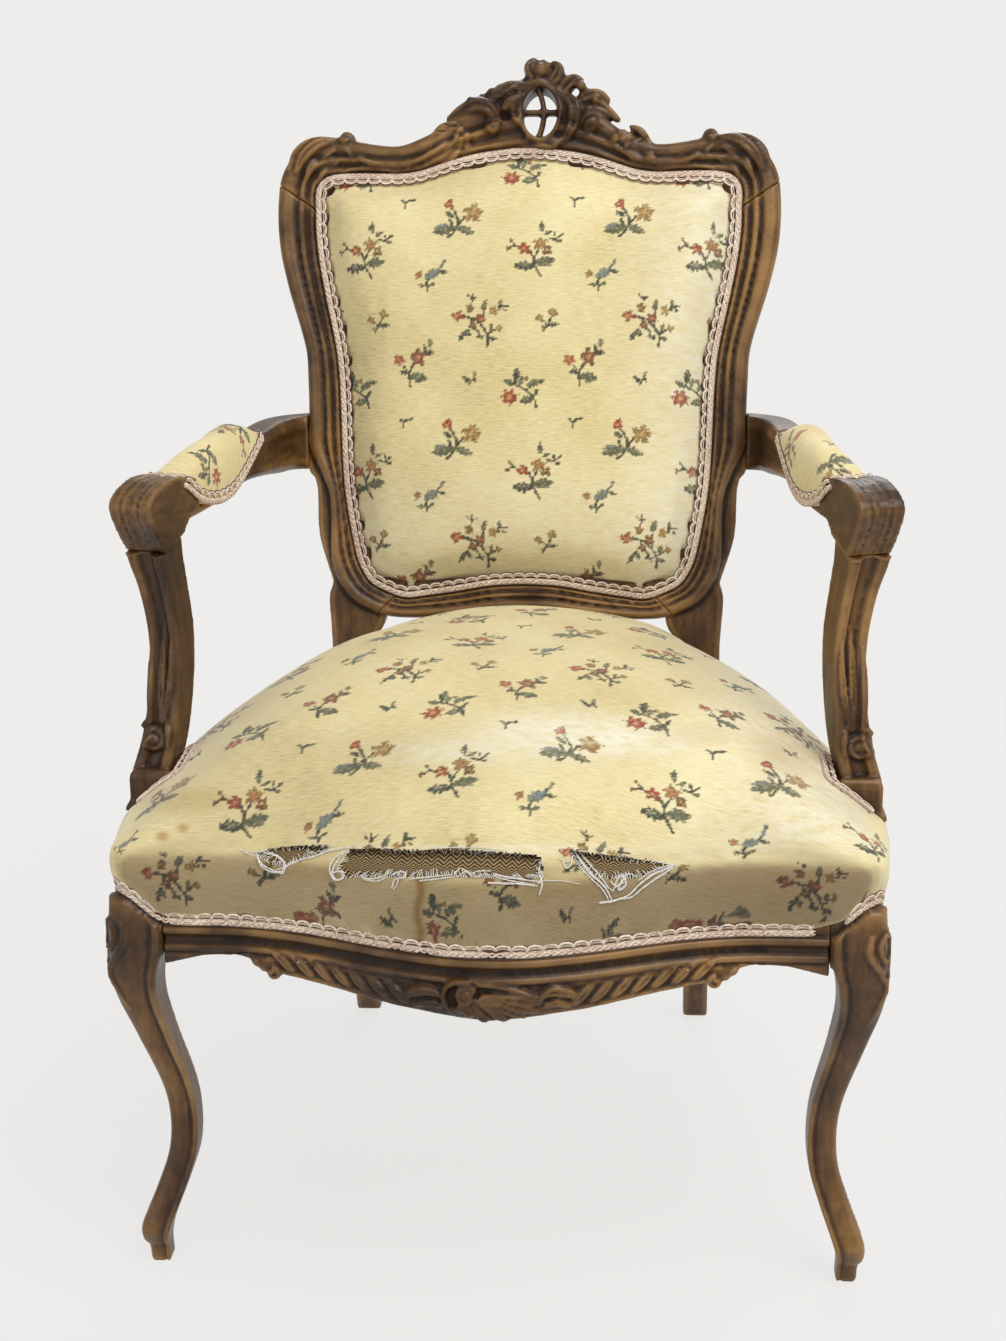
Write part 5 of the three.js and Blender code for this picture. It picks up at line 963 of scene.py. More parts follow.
# The reverse: x, height and forward of points in the raked frame.
def backPlace(points):
    x, y, z = points.T
    behind = y - backFrame["y"] - backFrame["rake"] * (z - backFrame["sill"])
    forward = -behind * math.cos(rakeAngle)
    return x, z - forward * math.sin(rakeAngle), forward


def wholeOpening(spacing=3.0):
    inner = np.vstack([
        smoothRows(lowerRailPairs[::-1], 6)[:, 2:], smoothRows(stilePairs, 6)[1:, 2:], smoothRows(crestPairs, 6)[1:, 2:]])
    left = inner[1:-1][::-1] * [-1, 1]
    ring = evenLine(np.vstack([inner, left]), spacing, closed=True)
    return smoothRing(ring, 3)


# The opening's edge moved inwards, square to itself.
def openingInset(inset, spacing=3.0, passes=0):
    ring = wholeOpening(spacing)
    along = unit(np.roll(ring, -2, axis=0) - np.roll(ring, 2, axis=0))
    moved = ring + inset * np.column_stack([-along[:, 1], along[:, 0]])
    return smoothRing(moved, passes)


backCloth = {"shiftU": -123.0, "shiftV": 387.0}


def makeBackCover():
    face = -6.7
    middle = np.array([0, backFrame["sill"] + backFrame["height"] * 0.54])
    rows = [(2, 0, face - 4), (2, 0, face), (13, 0, face + 0.5), (15, .02, lerp(face, 26, .2)), (16, .06, lerp(face, 26, .5)),
            (17, .13, lerp(face, 26, .71)), (17, .22, lerp(face, 26, .83)), (17, .36, lerp(face, 26, .92)),
            (17, .55, lerp(face, 26, .97)), (17, .8, lerp(face, 26, 1)), (17, .96, 26)]
    rings = []
    for inset, toward, forward in rows:
        ring = openingInset(inset, 5.0, 2)
        place = lerp(ring, middle, toward)
        rings.append(backPoint(place[:, 0], place[:, 1], forward))
    cover = loft("back_cover_cloth", rings)
    remesh(cover, 6.3, 3)
    inflate(cover, lambda points: np.where(backPlace(points)[2] > 6, 3.5, 0.6))
    deleteFaces(cover, lambda points: backPlace(points)[2] < -9.2)
    applyModifier(cover, "SUBSURF", levels=2, render_levels=2)
    points = readPoints(cover)
    x, height, forward = backPlace(points)
    run = height * math.hypot(1, backFrame["rake"])
    start = (backFrame["sill"]) * math.hypot(1, backFrame["rake"])
    marksAndPaintedLight = np.zeros((len(points), 3))
    # Red: painted light that pales the right and the lower part of the back.
    marksAndPaintedLight[:, 0] = 0.75 * smoothstep(x, 60, 195) * smoothstep(930 - height, 0, 80)
    marksAndPaintedLight[:, 0] += 0.4 * smoothstep(640 - height, 0, 110) * (1 - marksAndPaintedLight[:, 0])
    # Blue: painted shade on the left of the back.
    marksAndPaintedLight[:, 2] = 0.08 * smoothstep(-x, -60, 120)
    paintCloth(cover, x - backCloth["shiftU"], run - start - backCloth["shiftV"], marksAndPaintedLight)
    smoothShade(cover, 60)
    finish(cover, tapestry, ("back_cover",))


makeBackCover()
print("back upholstery made")


# Carving: rods, leaves and scrolls laid on a face, then melted into one surface with the wood.
# Their rows are across, up, half width and height; place(a, b, forward) turns them into points.

roundSection = [(-1, -1), (-1, .12), (-.82, .58), (-.45, .9), (0, 1), (.45, .9), (.82, .58), (1, .12), (1, -1)]
veinedSection = [(-1, -1), (-1, .25), (-.72, .85), (-.4, 1), (0, .4), (.4, 1), (.72, .85), (1, .25), (1, -1)]
carvingRoot = 8.0


def laidOn(rows, place, ground, section=roundSection):
    rows = smoothRows(rows, 5, slice(0, 2))
    along = unit(np.gradient(rows[:, :2], axis=0))
    across, up = np.array(section).T
    a = rows[:, :1] - along[:, 1:2] * across * rows[:, 2:3]
    b = rows[:, 1:2] + along[:, :1] * across * rows[:, 2:3]
    face = ground(rows[:, 0], rows[:, 1])[:, None]
    return loft("carving", place(a, b, face + np.where(up < 0, -carvingRoot, rows[:, 3:4] * up)))


# How far forward a piece's surface stands in a face's own frame.
def groundOf(piece, place, reach=90.0):
    mesh = piece.data
    tree = BVHTree.FromPolygons([v.co for v in mesh.vertices], [list(p.vertices) for p in mesh.polygons])

    def ground(a, b):
        heights = []
        for across, up in zip(a, b):
            start = Vector(toScene(place(across, up, reach)))
            end = Vector(toScene(place(across, up, -reach)))
            distance = tree.ray_cast(start, (end - start).normalized())[3]
            heights.append(np.nan if distance is None else reach - distance * 1000)
        heights = np.array(heights)
        found = np.where(~np.isnan(heights))[0]
        if not len(found):
            return np.zeros(len(heights))
        return np.interp(np.arange(len(heights)), found, heights[found])

    return ground


def scrollRows(x, up, radius, start, turns, half, rise):
    share = np.linspace(0, 1, 14)
    angle = 2 * math.pi * (start + turns * share)
    reach = (radius - half) * (1 - 0.72 * share)
    return np.column_stack([
        x + reach * np.cos(angle), up + reach * np.sin(angle), half * (1 - 0.3 * share), rise * (0.7 + 0.5 * share)])


def knobRows(x, up, radius, rise):
    shape = [(-1, .25, .15), (-.66, .76, .7), (0, 1, 1), (.66, .76, .7), (1, .25, .15)]
    return [(x + radius * out, up, radius * half, rise * high) for out, half, high in shape]


def flowerRows(x, up, radius, petals=5):
    rows = []
    for petal in range(petals):
        angle = 2 * math.pi * (petal / petals + 0.07)
        shape = [(.2, .14, 1.5), (.48, .3, 4.6), (.78, .34, 4.2), (1, .12, 1.2)]
        rows.append([
            (x + radius * out * math.cos(angle), up + radius * out * math.sin(angle), radius * half, rise)
            for out, half, rise in shape])
    return rows


# Every body of a list of carvings; what is marked as paired is repeated on the other side.
def carveBodies(carving, place, ground):
    leaves = list(carving.get("leaves", []))
    rods = list(carving.get("rods", []))
    for side in (1, -1):
        flip = np.array([side, 1, 1, 1])
        leaves += [np.array(rows) * flip for rows in carving.get("pairedLeaves", [])]
        rods += [np.array(rows) * flip for rows in carving.get("pairedRods", [])]
        rods += [scrollRows(*scroll) * flip for scroll in carving.get("pairedScrolls", [])]
    for scroll in carving.get("scrolls", []):
        rods += [scrollRows(*scroll), knobRows(scroll[0], scroll[1], scroll[2] * 0.3, scroll[6] * 1.15)]
    for x, up, radius in carving.get("flowers", []):
        leaves += flowerRows(x, up, radius)
        rods.append(knobRows(x, up, radius * 0.24, 5.6))
    rods += [knobRows(*knob) for knob in carving.get("knobs", [])]
    bodies = [laidOn(rows, place, ground, veinedSection) for rows in leaves]
    return bodies + [laidOn(rows, place, ground) for rows in rods]


# Cuts fine lines into a face. A line is half width, depth and its points.
def engrave(piece, lines, across, up, outward):
    points, normals = readPoints(piece), readNormals(piece)
    depth = np.zeros(len(points))
    for half, cut, *rows in lines:
        line = smoothRows(rows, 5)
        low, high = line.min(axis=0) - half, line.max(axis=0) + half
        near = np.where((across > low[0]) & (across < high[0]) & (up > low[1]) & (up < high[1]))[0]
        distance = np.full(len(near), 1e9)
        for start, end in zip(line, line[1:]):
            distance = np.minimum(distance, segmentDistance(across[near], up[near], *start, *end)[0])
        depth[near] = np.maximum(depth[near], cut * np.clip(1 - (distance / half) ** 2, 0, 1))
    facing = smoothstep((normals * outward).sum(axis=-1), 0.15, 0.6)
    writePoints(piece, points - outward * (depth * facing)[:, None])


# The carved pieces that stand left and right are made once and mirrored.
def finishWood(piece, material, *replaced):
    markHollows(piece)
    finish(piece, material, replaced)


def finishPair(piece, name, material, node):
    markHollows(piece)
    piece.name = piece.data.name = "right_" + name
    left = mirrorOf(piece, "left_" + name)
    finish(piece, material, ("right_" + node,))
    finish(left, material, ("left_" + node,))


# The back's moulded frame

moulding = smoothRows([
    [0, 1.1], [.04, .45], [.09, .3], [.12, .26], [.16, .12], [.26, 0], [.38, .06], [.47, .32], [.52, .72], [.55, .7],
    [.59, .3], [.65, .14], [.71, .28], [.76, .7], [.8, .82], [.87, .66], [.94, .5], [1, 1]], 4, slice(0, 1))


def mouldedLoft(name, pairs):
    outer, inner = pairs[:, None, :2], pairs[:, None, 2:]
    across = inner - outer
    face = outer + across * moulding[None, :, :1]
    tack = inner + backFrame["tack"] * unit(across)
    flat = np.concatenate([outer, face, tack, tack], axis=1)
    low, rebate = -backFrame["thickness"], -backFrame["moulding"]
    forward = np.concatenate([[low], rebate * moulding[:, 1], [rebate, low]])
    return loft(name, backPoint(flat[..., 0], flat[..., 1], forward))


def wholePairs(rows, perSpan=9):
    return smoothRows(np.vstack([rows * [-1, 1, -1, 1], rows[::-1][1:]]), perSpan, slice(0, 2))


crestSettings = {
    "opening": (12.0, 942.0, 17.0, 23.5), "bar": 2.6, "bow": 6.8, "voxel": 1.5,
    "leaves": [
        [(11, 966, 3, 5), (5, 976, 6, 10), (2, 985, 6, 12), (8, 992, 3, 8)],
        [(14, 966, 4, 5), (17, 975, 6, 9), (17, 984, 6, 12), (13, 991, 3, 7)],
        [(20, 966, 3, 5), (28, 975, 6, 9), (30, 983, 5, 11), (24, 989, 2, 7)],
        [(30, 960, 4, 6), (38, 968, 7, 10), (45, 973, 6, 9), (54, 971, 3, 5)],
        [(46, 952, 3, 4), (58, 958, 6, 8), (70, 959, 5, 7), (80, 953, 2, 3)],
        [(-80, 937, 2, 3), (-64, 946, 6, 7), (-48, 949, 8, 9), (-34, 942, 6, 8), (-27, 932, 3, 5)],
        [(-6, 968, 3, 4), (-17, 966, 6, 8), (-27, 960, 6, 9), (-36, 953, 3, 4)],
        [(-8, 957, 3, 5), (-18, 951, 5, 8), (-24, 943, 3, 6)],
        [(33, 960, 3, 5), (43, 950, 7, 9), (46, 936, 7, 9), (40, 922, 5, 7), (30, 912, 2, 3)],
        [(90, 935, 2, 3), (74, 946, 6, 7), (60, 950, 8, 9), (46, 943, 6, 8), (38, 932, 3, 5)],
        [(4, 912, 2, 3), (13, 913, 5, 6), (24, 912, 5, 7), (34, 918, 3, 5)],
        [(-71, 911, 2, 3), (-80, 906, 4, 5), (-92, 900, 4, 5), (-101, 895, 1.5, 2)],
        [(-66, 908, 1.5, 2), (-74, 901, 3, 4), (-84, 896, 1.5, 2)],
        [(101, 908, 2, 3), (110, 903, 4, 5), (121, 897, 4, 5), (130, 892, 1.5, 2)],
        [(95, 905, 1.5, 2), (103, 899, 3, 4), (112, 893, 1.5, 2)],
        [(-94, 921, 1.5, 2), (-84, 929, 3.5, 4), (-72, 933, 1.5, 2)],
        [(120, 913, 1.5, 2), (110, 924, 3.5, 4), (99, 929, 1.5, 2)],
    ],
    "pairedLeaves": [
        [(186, 918, 2, 3), (203, 915, 5, 6), (219, 903, 5.5, 6), (228, 887, 2.5, 3)],
        [(190, 908, 2, 2), (203, 902, 4, 4), (213, 892, 4, 4), (219, 879, 1.5, 2)],
        [(197, 921, 2, 2), (214, 917, 4, 4), (228, 905, 4.5, 5), (236, 889, 1.5, 2)],
        [(186, 898, 1.5, 1.5), (196, 893, 2.5, 2.5), (204, 884, 2.5, 2.5), (209, 874, 1, 1)],
    ],
    "rods": [
        [(-4, 930, 2.5, 5), (-13, 936, 3, 7), (-14, 948, 3, 7), (-6, 956, 2.5, 5)],
        [(-9, 961, 3, 4), (-3, 966, 3.5, 6), (10, 970, 3.5, 7), (24, 968, 3.5, 6), (33, 960, 3, 4)],
        [(5, 908, 2, 2), (14, 905, 2.5, 3), (24, 907, 2, 2)],
    ],
    "pairedRods": [
        [(181, 911, 1.5, 1), (173, 904, 2.4, 3), (153, 896, 2.6, 3.2), (118, 895, 2.6, 3.2), (93, 905, 2.4, 3),
         (70, 921, 1.6, 1.5)],
        [(208, 868, 1.2, 1), (201, 879, 1.8, 2), (184, 888, 1.8, 2.2), (160, 891, 1.8, 2.2), (120, 887, 1.2, 1)],
    ],
    "pairedScrolls": [(179, 919, 9, .5, -1.1, 2.6, 7)],
    "scrolls": [
        (-33, 930, 10, .3, 1.2, 2.7, 7), (60, 930, 9.5, .2, -1.2, 2.6, 7), (2, 920, 7, .9, 1.1, 2.1, 6),
        (52, 965, 6.5, .5, -1.1, 2, 6), (-6, 942, 6, .2, 1, 1.9, 5),
    ],
    "knobs": [(179, 919, 5, 7), (-179, 919, 5, 7), (-36, 962, 5, 7), (-28, 966, 4.4, 7), (-56, 953, 4, 5),
              (-45, 958, 4, 6), (66, 952, 3, 5), (13, 981, 7, 9)],
    "flowers": [(-65, 917, 10.5), (93, 915, 12.5)],
    "cuts": [
        (1.1, 1.3, (-88, 936), (-78, 930), (-70, 930)), (1.1, 1.2, (-96, 930), (-88, 925), (-80, 925)),
        (1.1, 1.2, (126, 917), (117, 918), (108, 913)), (1.0, 1.2, (232, 908), (222, 913), (209, 914)),
    ],
}


def ovalRows(x, up, halfWide, halfHigh, half, rise):
    angle = np.linspace(-0.1, 2 * math.pi + 0.1, 30)
    flat = np.column_stack([x + halfWide * np.cos(angle), up + halfHigh * np.sin(angle)])
    return np.column_stack([flat, np.full(len(angle), half), np.full(len(angle), rise)])


def makeCrest():
    rows = crestPairs.copy()
    rows[0] += [0, 0.3, 0, 0.3]
    base = mouldedLoft("crest_base", wholePairs(rows))
    ground = groundOf(base, backPoint)
    x, up, halfWide, halfHigh = crestSettings["opening"]
    filled = laidOn(knobRows(x, up, 36, 2), backPoint, lambda a, b: np.full(len(a), -7.0))
    bodies = carveBodies(crestSettings, backPoint, ground)
    rim = laidOn(ovalRows(x, up, halfWide + 2.4, halfHigh + 2.4, 2.6, 7.5), backPoint, lambda a, b: np.full(len(a), -5.0))
    crest = joinAll("carved_crest", [base, filled, rim] + bodies)
    remesh(crest, crestSettings["voxel"] + 0.1, 0)
    angle = np.linspace(0, 2 * math.pi, 40, endpoint=False)
    oval = np.column_stack([x + halfWide * np.cos(angle), up + halfHigh * np.sin(angle)])
    cutter = loft("oval_cutter", [backPoint(oval[:, 0], oval[:, 1], forward) for forward in (-60, 30)])
    applyModifier(crest, "BOOLEAN", operation="DIFFERENCE", object=cutter, solver="EXACT")
    bpy.data.objects.remove(cutter)
    share = np.linspace(-1, 1, 9)[:, None]
    bow = crestSettings["bow"]
    upright = np.hstack([x + bow * (0.5 - share**2), up + (halfHigh + 2) * share, 0 * share + 2.6, 0 * share + 4])
    level = np.hstack([x + (halfWide + 2) * share, up + 0.9 + 0 * share, 0 * share + 2.6, 0 * share + 3.4])
    bars = [laidOn(rows, backPoint, lambda a, b: np.full(len(a), -8.0)) for rows in (upright, level)]
    crest = joinAll("carved_crest", [crest] + bars)
    remesh(crest, crestSettings["voxel"], 1)
    across, height, _ = backPlace(readPoints(crest))
    engrave(crest, crestSettings["cuts"], across, height, backForward)
    finishWood(crest, walnutAcross, "crest_rail")


stileSettings = {
    "voxel": 1.95, "spread": 178.0, "width": 35.0, "depth": 36.0, "setback": 91.0, "top": 656.8, "chamfer": 3.0,
    "core": smoothRows([
        [0, .37, .37], [.09, .4, .34], [.2, .46, .37], [.3, .5, .4], [.45, .5, .45], [.545, .5, .45], [.6, .56, .43],
        [.66, .75, .42], [.69, 1.09, .46], [.733, 1.09, .5], [.749, .95, .4], [.77, .63, .52], [.82, .37, .8],
        [.903, .23, .92], [.912, .2, 1.088], [1, .06, 1.088]], 4, slice(0, 1)),
    "leg": smoothRows([
        [0, 1, .72], [.17, .7, .75], [.37, .395, .81], [.57, .154, .89], [.77, .022, .97], [.87, 0, 1], [1, 0, 1]], 6,
        slice(0, 1)),
}


def makeStiles():
    settings = stileSettings
    heights = np.linspace(0, settings["top"], 190)
    core, leg = settings["core"], settings["leg"]
    inner = settings["spread"] - settings["width"] * table(core[:, :2], heights / settings["top"])
    outer = settings["spread"] + settings["width"] * table(core[:, [0, 2]], heights / settings["top"])
    low = np.minimum(heights / seatPlan["railTop"], 1)
    legFront = seatPlan["depth"] + settings["setback"] * table(leg[:, :2], low)
    face = backPoint(0, heights, 0)[:, 1]
    front = np.maximum(legFront, np.where(heights > seatPlan["railTop"], face + backFrame["moulding"], 0))
    legBack = legFront + settings["depth"] * table(leg[:, [0, 2]], low)
    flush = np.clip((heights - seatPlan["railTop"]) / (settings["depth"] * 2), 0, 1)
    back = lerp(legBack, face + backFrame["thickness"] / math.cos(rakeAngle), flush)
    c = settings["chamfer"]
    corners = [(inner + c, front), (outer - c, front), (outer, front + c), (outer, back - c), (outer - c, back),
               (inner + c, back), (inner, back - c), (inner, front + c)]
    core = loft("stile_core", np.stack([np.stack([x, y, heights], axis=-1) for x, y in corners], axis=1))
    face = mouldedLoft("stile_face", smoothRows(stilePairs, 9, slice(0, 2)))
    stile = joinAll("rear_stile_wood", [face, core])
    remesh(stile, settings["voxel"], 1)
    finishPair(stile, "rear_stile_wood", walnutUpright, "rear_stile")


def makeLowerRail():
    rail = mouldedLoft("lower_rail_wood", wholePairs(lowerRailPairs))
    remesh(rail, 1.6, 1)
    finishWood(rail, walnutAcross, "lower_back_rail")


# Rails of the seat

def railLoft(name, stations, bottoms, face, place):
    cove = smoothRows([[4.5, 320.7], [.3, 320.5], [0, 316.5], [4.5, 312.5], [4.8, 309], [4.4, 307.2], [1.2, 305.6],
                       [.2, 304], [.9, 301.6], [3.2, 300.6]], 3)
    rings = []
    for station, bottom in zip(stations, bottoms):
        low = lerp(bottom, 300, 0.25)
        section = np.vstack([
            [[32, 352], [4.5, 352]], cove, [[3.0, 299], [1.6, lerp(low, 299, .6)], [1.6, low], [2.6, bottom + 1.5],
                                            [4.5, bottom], [17, bottom], [17, 300], [32, 300]]])
        rings.append(place(station, face(station) + 0 * section[:, 0], section))
    return loft(name, rings)


railSettings = {
    "voxel": 1.62, "end": 261.7,
    "frontApron": [[0, 1.02], [.14, .96], [.3, .89], [.47, .8], [.62, .74], [.67, .72], [.7, .74], [.73, .54],
                   [.78, .47], [.88, .5], [1, .66]],
    "sideApron": smoothRows([[0, .66], [.08, .52], [.25, .46], [.5, .56], [.75, .5], [.92, .5], [1, .62]], 5),
}


def apronBottom(x):
    share = np.abs(x) / railSettings["end"]
    return seatPlan["coverLine"] - seatPlan["apronDrop"] * table(railSettings["frontApron"], share)


def frontPlace(x, z, forward):
    x, z, forward = np.broadcast_arrays(x, z, forward)
    return np.stack([x, frontRailFace(x) - forward, z], axis=-1)


def alongBottom(start, end, count, lift, half, rise):
    x = np.linspace(start, end, count)
    swell = np.sin(math.pi * np.linspace(0.08, 0.92, count)) ** 0.3
    return np.column_stack([x, apronBottom(x) + lift, half * swell, rise * swell])


def apronCarving():
    lobes = []
    for step in range(7):
        x = 62 + 15.5 * step
        low = float(apronBottom(x + 8))
        lobes.append([(x, low + 5.5, 1.2, 1.5), (x + 5, low + 9, 3.4, 4), (x + 12, low + 15.5, 3.8, 4.2),
                      (x + 19, low + 20.5, 1.4, 1.5)])
    fan = [(40, 286), (38, 279), (29, 274.5), (15, 271.5), (0, 271), (-13, 273.5), (-23, 278)]
    boss = (-17, 293)
    ribs = []
    for x, z in fan:
        ribs.append([(lerp(boss[0], x, s), lerp(boss[1], z, s) + 3 * math.sin(math.pi * s) * (x > 0), half, rise)
                     for s, half, rise in ((.22, 1.5, 5), (.5, 3.0, 6.5), (.82, 4.3, 6), (1, 1.8, 2.5))])
    return {
        "pairedLeaves": lobes,
        "leaves": ribs + [
            [(40, 291, 2, 4), (50, 295, 4.5, 6), (62, 292, 4, 5), (72, 284, 1.5, 2)],
            [(44, 284, 2, 3), (54, 285, 3.5, 5), (64, 281, 1.5, 2)],
            [(-37, 291, 2, 4), (-47, 294, 4.5, 6), (-58, 291, 4, 5), (-68, 284, 1.5, 2)],
            [(-36, 282, 2, 3), (-46, 284, 3.5, 5), (-58, 280, 1.5, 2)]],
        "rods": [[(-14, 304, 1.6, 3), (-27, 303, 2.4, 6), (-34, 293, 2.6, 7), (-30, 281, 2.2, 5), (-22, 275, 1.4, 3)],
                 [(-8, 302, 1.6, 3), (10, 300, 2.2, 5), (28, 295, 2.2, 5), (42, 288, 1.4, 3)]],
        "pairedRods": [alongBottom(56, 172, 12, 2.6, 2.3, 2.6),
                       [(58, 298.5, 1, 1), (90, 298, 1.6, 2), (150, 297.5, 1.6, 2), (178, 296.5, 1, 1)]],
        "scrolls": [(-17, 293, 10.5, .05, 1.4, 2.6, 8)],
        "pairedScrolls": [(174, 285, 8, .25, 1.1, 2.3, 4.5), (188, 293, 4.5, .6, 1, 1.5, 3)],
        "cuts": [(0.9, 1.0, *[(side * x, 299.4) for x in (195, 215, 240, 260)]) for side in (1, -1)],
    }


def makeRails():
    xs = np.linspace(-railSettings["end"], railSettings["end"], 260)
    base = railLoft("front_rail_base", xs, apronBottom(xs), lambda x: 0.0,
                    lambda x, face, section: frontPlace(x + 0 * face, section[:, 1], -section[:, 0]))
    carving = apronCarving()
    bodies = carveBodies(carving, frontPlace, groundOf(base, frontPlace))
    front = joinAll("front_rail_wood", [base] + bodies)
    remesh(front, railSettings["voxel"], 1)
    x, _, z = readPoints(front).T
    engrave(front, carving["cuts"], x, z, np.array([0.0, -1.0, 0.0]))
    finishWood(front, walnutAcross, "front_seat_rail")

    ys = np.linspace(0.3, seatPlan["depth"] - 0.3, 200)
    drop = table(railSettings["sideApron"], ys / seatPlan["depth"])
    side = railLoft("side_rail_base", ys, seatPlan["coverLine"] - seatPlan["apronDrop"] * drop, sideRailFace,
                    lambda y, face, section: np.stack([face - section[:, 0], y + 0 * face, section[:, 1]], axis=-1))
    remesh(side, 2.0, 1)
    finishPair(side, "side_rail_wood", walnutDeep, "side_seat_rail")


# Front legs

legSettings = {
    "voxel": 1.60, "spread": 289.0, "swing": 24.0, "half": 22.0,
    "rows": [[0, 0, 0, .4], [.045, .04, .04, .42], [.06, .1, .1, .5], [.1, .04, .25, .58], [.135, -.14, .1, .58],
             [.19, -.46, -.3, .57], [.28, -.86, -.72, .56], [.41, -.87, -.76, .56], [.61, -.3, .1, .66],
             [.72, -.02, .66, .78], [.79, 0, .92, .9], [.83, -.1, .98, .96], [.87, -.16, .98, 1],
             [.915, -.18, .95, 1], [1, -.21, .92, .94]],
    "section": [[-1, -1], [-1, .72], [-.95, .93], [-.84, .99], [-.7, .95], [-.62, .8], [-.54, .78], [-.4, .88],
                [-.1, .97], [.3, 1], [.62, .94], [.84, .84], [.94, .62], [1, .3], [.97, -.1], [.88, -.4], [.78, -.54],
                [.8, -.62], [.95, -.7], [.99, -.84], [.93, -.95], [.72, -1]],
    "topHalf": (301.5, -35.5), "topRound": (276.0, -10.0, 25.5),
}


def kneePlace(a, b, forward):
    a, b, forward = np.broadcast_arrays(a, b, forward)
    slant = math.sqrt(0.5)
    return np.stack([283 + slant * (a + forward), -17 + slant * (a - forward), b], axis=-1)


kneeCarving = {
    "rods": [ovalRows(0, 315, 7.5, 11, 1.9, 3.4),
             [(-9, 300, 1.2, 1), (-5, 292, 1.8, 2.4), (0, 285, 2.0, 3), (0, 262, 1.6, 2.2), (0, 244, 1, .8)],
             [(9, 300, 1.2, 1), (5, 292, 1.8, 2.4), (0, 285, 2.0, 3)]],
    "leaves": [[(-12, 326, 2, 2), (-14, 314, 3.4, 3.4), (-10, 302, 3, 3.2), (-4, 294, 1.5, 2)],
               [(12, 326, 2, 2), (14, 314, 3.4, 3.4), (10, 302, 3, 3.2), (4, 294, 1.5, 2)]],
}


def makeFrontLegs():
    settings = legSettings
    rows = smoothRows(settings["rows"], 10, slice(0, 1))
    section = smoothRing(evenLine(settings["section"], 0.1, closed=True), 1)
    x = settings["spread"] + settings["swing"] * rows[:, 1:2] + settings["half"] * rows[:, 3:] * section[:, 0]
    y = -settings["swing"] * rows[:, 2:3] - settings["half"] * rows[:, 3:] * section[:, 1]
    base = loft("leg_base", np.stack([x, y, seatPlan["railTop"] * rows[:, :1] + 0 * x], axis=-1))
    angles = np.linspace(0, math.pi / 2, 10)
    outline = np.vstack([[[262, 0], [262, -40]],
                         np.column_stack([276 + 30 * np.sin(angles), -10 - 30 * np.cos(angles)]), [[306, 0]]])
    post = loft("leg_post", [np.column_stack([outline, np.full(len(outline), z)]) for z in (297, 352)])
    bodies = carveBodies(kneeCarving, kneePlace, groundOf(base, kneePlace))
    leg = joinAll("front_leg_wood", [base, post] + bodies)
    remesh(leg, settings["voxel"], 1)
    points = readPoints(leg)
    covered = points[:, 2] > coverEdge(points[:, 0], points[:, 1]) - 0.9
    x, y = np.minimum(points[:, 0], settings["topHalf"][0]), np.maximum(points[:, 1], settings["topHalf"][1])
    cornerX, cornerY, radius = settings["topRound"]
    reach = np.hypot(x - cornerX, y - cornerY)
    corner = (x > cornerX) & (y < cornerY) & (reach > radius)
    pull = np.where(corner, radius / np.maximum(reach, 1e-6), 1)
    points[:, 0] = np.where(covered, np.where(corner, cornerX + (x - cornerX) * pull, x), points[:, 0])
    points[:, 1] = np.where(covered, np.where(corner, cornerY + (y - cornerY) * pull, y), points[:, 1])
    writePoints(leg, points)
    finishPair(leg, "front_leg_wood", walnutUpright, "front_leg")


# Arms and their supports

armRows = smoothRows([
    [0, 0, 0, .9, 1.8], [.14, .012, 0, .9, 1.77], [.3, .07, .04, .94, 1.73], [.38, .17, .1, .97, 1.67],
    [.45, .33, .2, 1, 1.4], [.53, .51, .3, 1, 1.27], [.62, .7, .07, 1, 1.07], [.74, .83, -.03, 1.03, 1.07],
    [.89, .925, -.1, 1.09, 1.2]] * np.array([1.0, 1, 1, 1, 1]), 12, slice(0, 3))
armSettings = {
    "start": (216.4, 465.4), "end": (296.0, 122.0), "height": 628.0, "width": 34.0, "thickness": 30.0, "voxel": 1.61,
    "section": [[-.7, -1], [.7, -1], [1, -.72], [.96, -.5], [.8, -.35], [.77, 0], [.8, .35], [.96, .5], [1, .72],
                [.7, 1], [-.7, 1], [-1, .72], [-.96, .5], [-.8, .35], [-.77, 0], [-.8, -.35], [-.96, -.5], [-1, -.72]],
    "turn": math.radians(20), "knuckle": (296.0, 122.0, 628.0), "length": 62.0, "rise": 46.0, "across": 40.0,
    "outline": [[-.62, .42], [-.3, .47], [-.05, .45], [.21, .33], [.37, .19], [.43, .04], [.37, -.2], [.22, -.55],
                [.07, -.85], [-.39, -.59], [-.5, -.42], [-.62, -.28], [-.8, -.24], [-.8, .34]],
}


# The arm's middle line with its sideways direction, width and height.
def armLine():
    settings = armSettings
    at = np.column_stack([
        lerp(settings["start"][0], settings["end"][0], armRows[:, 0]),
        lerp(settings["start"][1], settings["end"][1], armRows[:, 1]),
        settings["height"] + settings["thickness"] * armRows[:, 2]])
    along = np.gradient(at, axis=0)
    along[:, 2] = 0
    along[0] = [1, 0, 0]
    along = unit(smoothEnds(along, 3))
    side = np.column_stack([along[:, 1], -along[:, 0], np.zeros(len(at))])
    return at, side, along, settings["width"] * armRows[:, 3], settings["thickness"] * armRows[:, 4]


def smoothEnds(rows, passes):
    for _ in range(passes):
        rows = np.vstack([rows[:1], 0.25 * rows[:-2] + 0.5 * rows[1:-1] + 0.25 * rows[2:], rows[-1:]])
    return rows


knuckleSide = np.array([math.cos(armSettings["turn"]), math.sin(armSettings["turn"]), 0])
knuckleFront = np.array([math.sin(armSettings["turn"]), -math.cos(armSettings["turn"]), 0])


def knucklePlace(forward, up, across):
    forward, up, across = np.broadcast_arrays(forward, up, across)
    flat = forward[..., None] * knuckleFront + across[..., None] * knuckleSide
    return np.array(armSettings["knuckle"]) + flat + np.stack([0 * up, 0 * up, up], axis=-1)


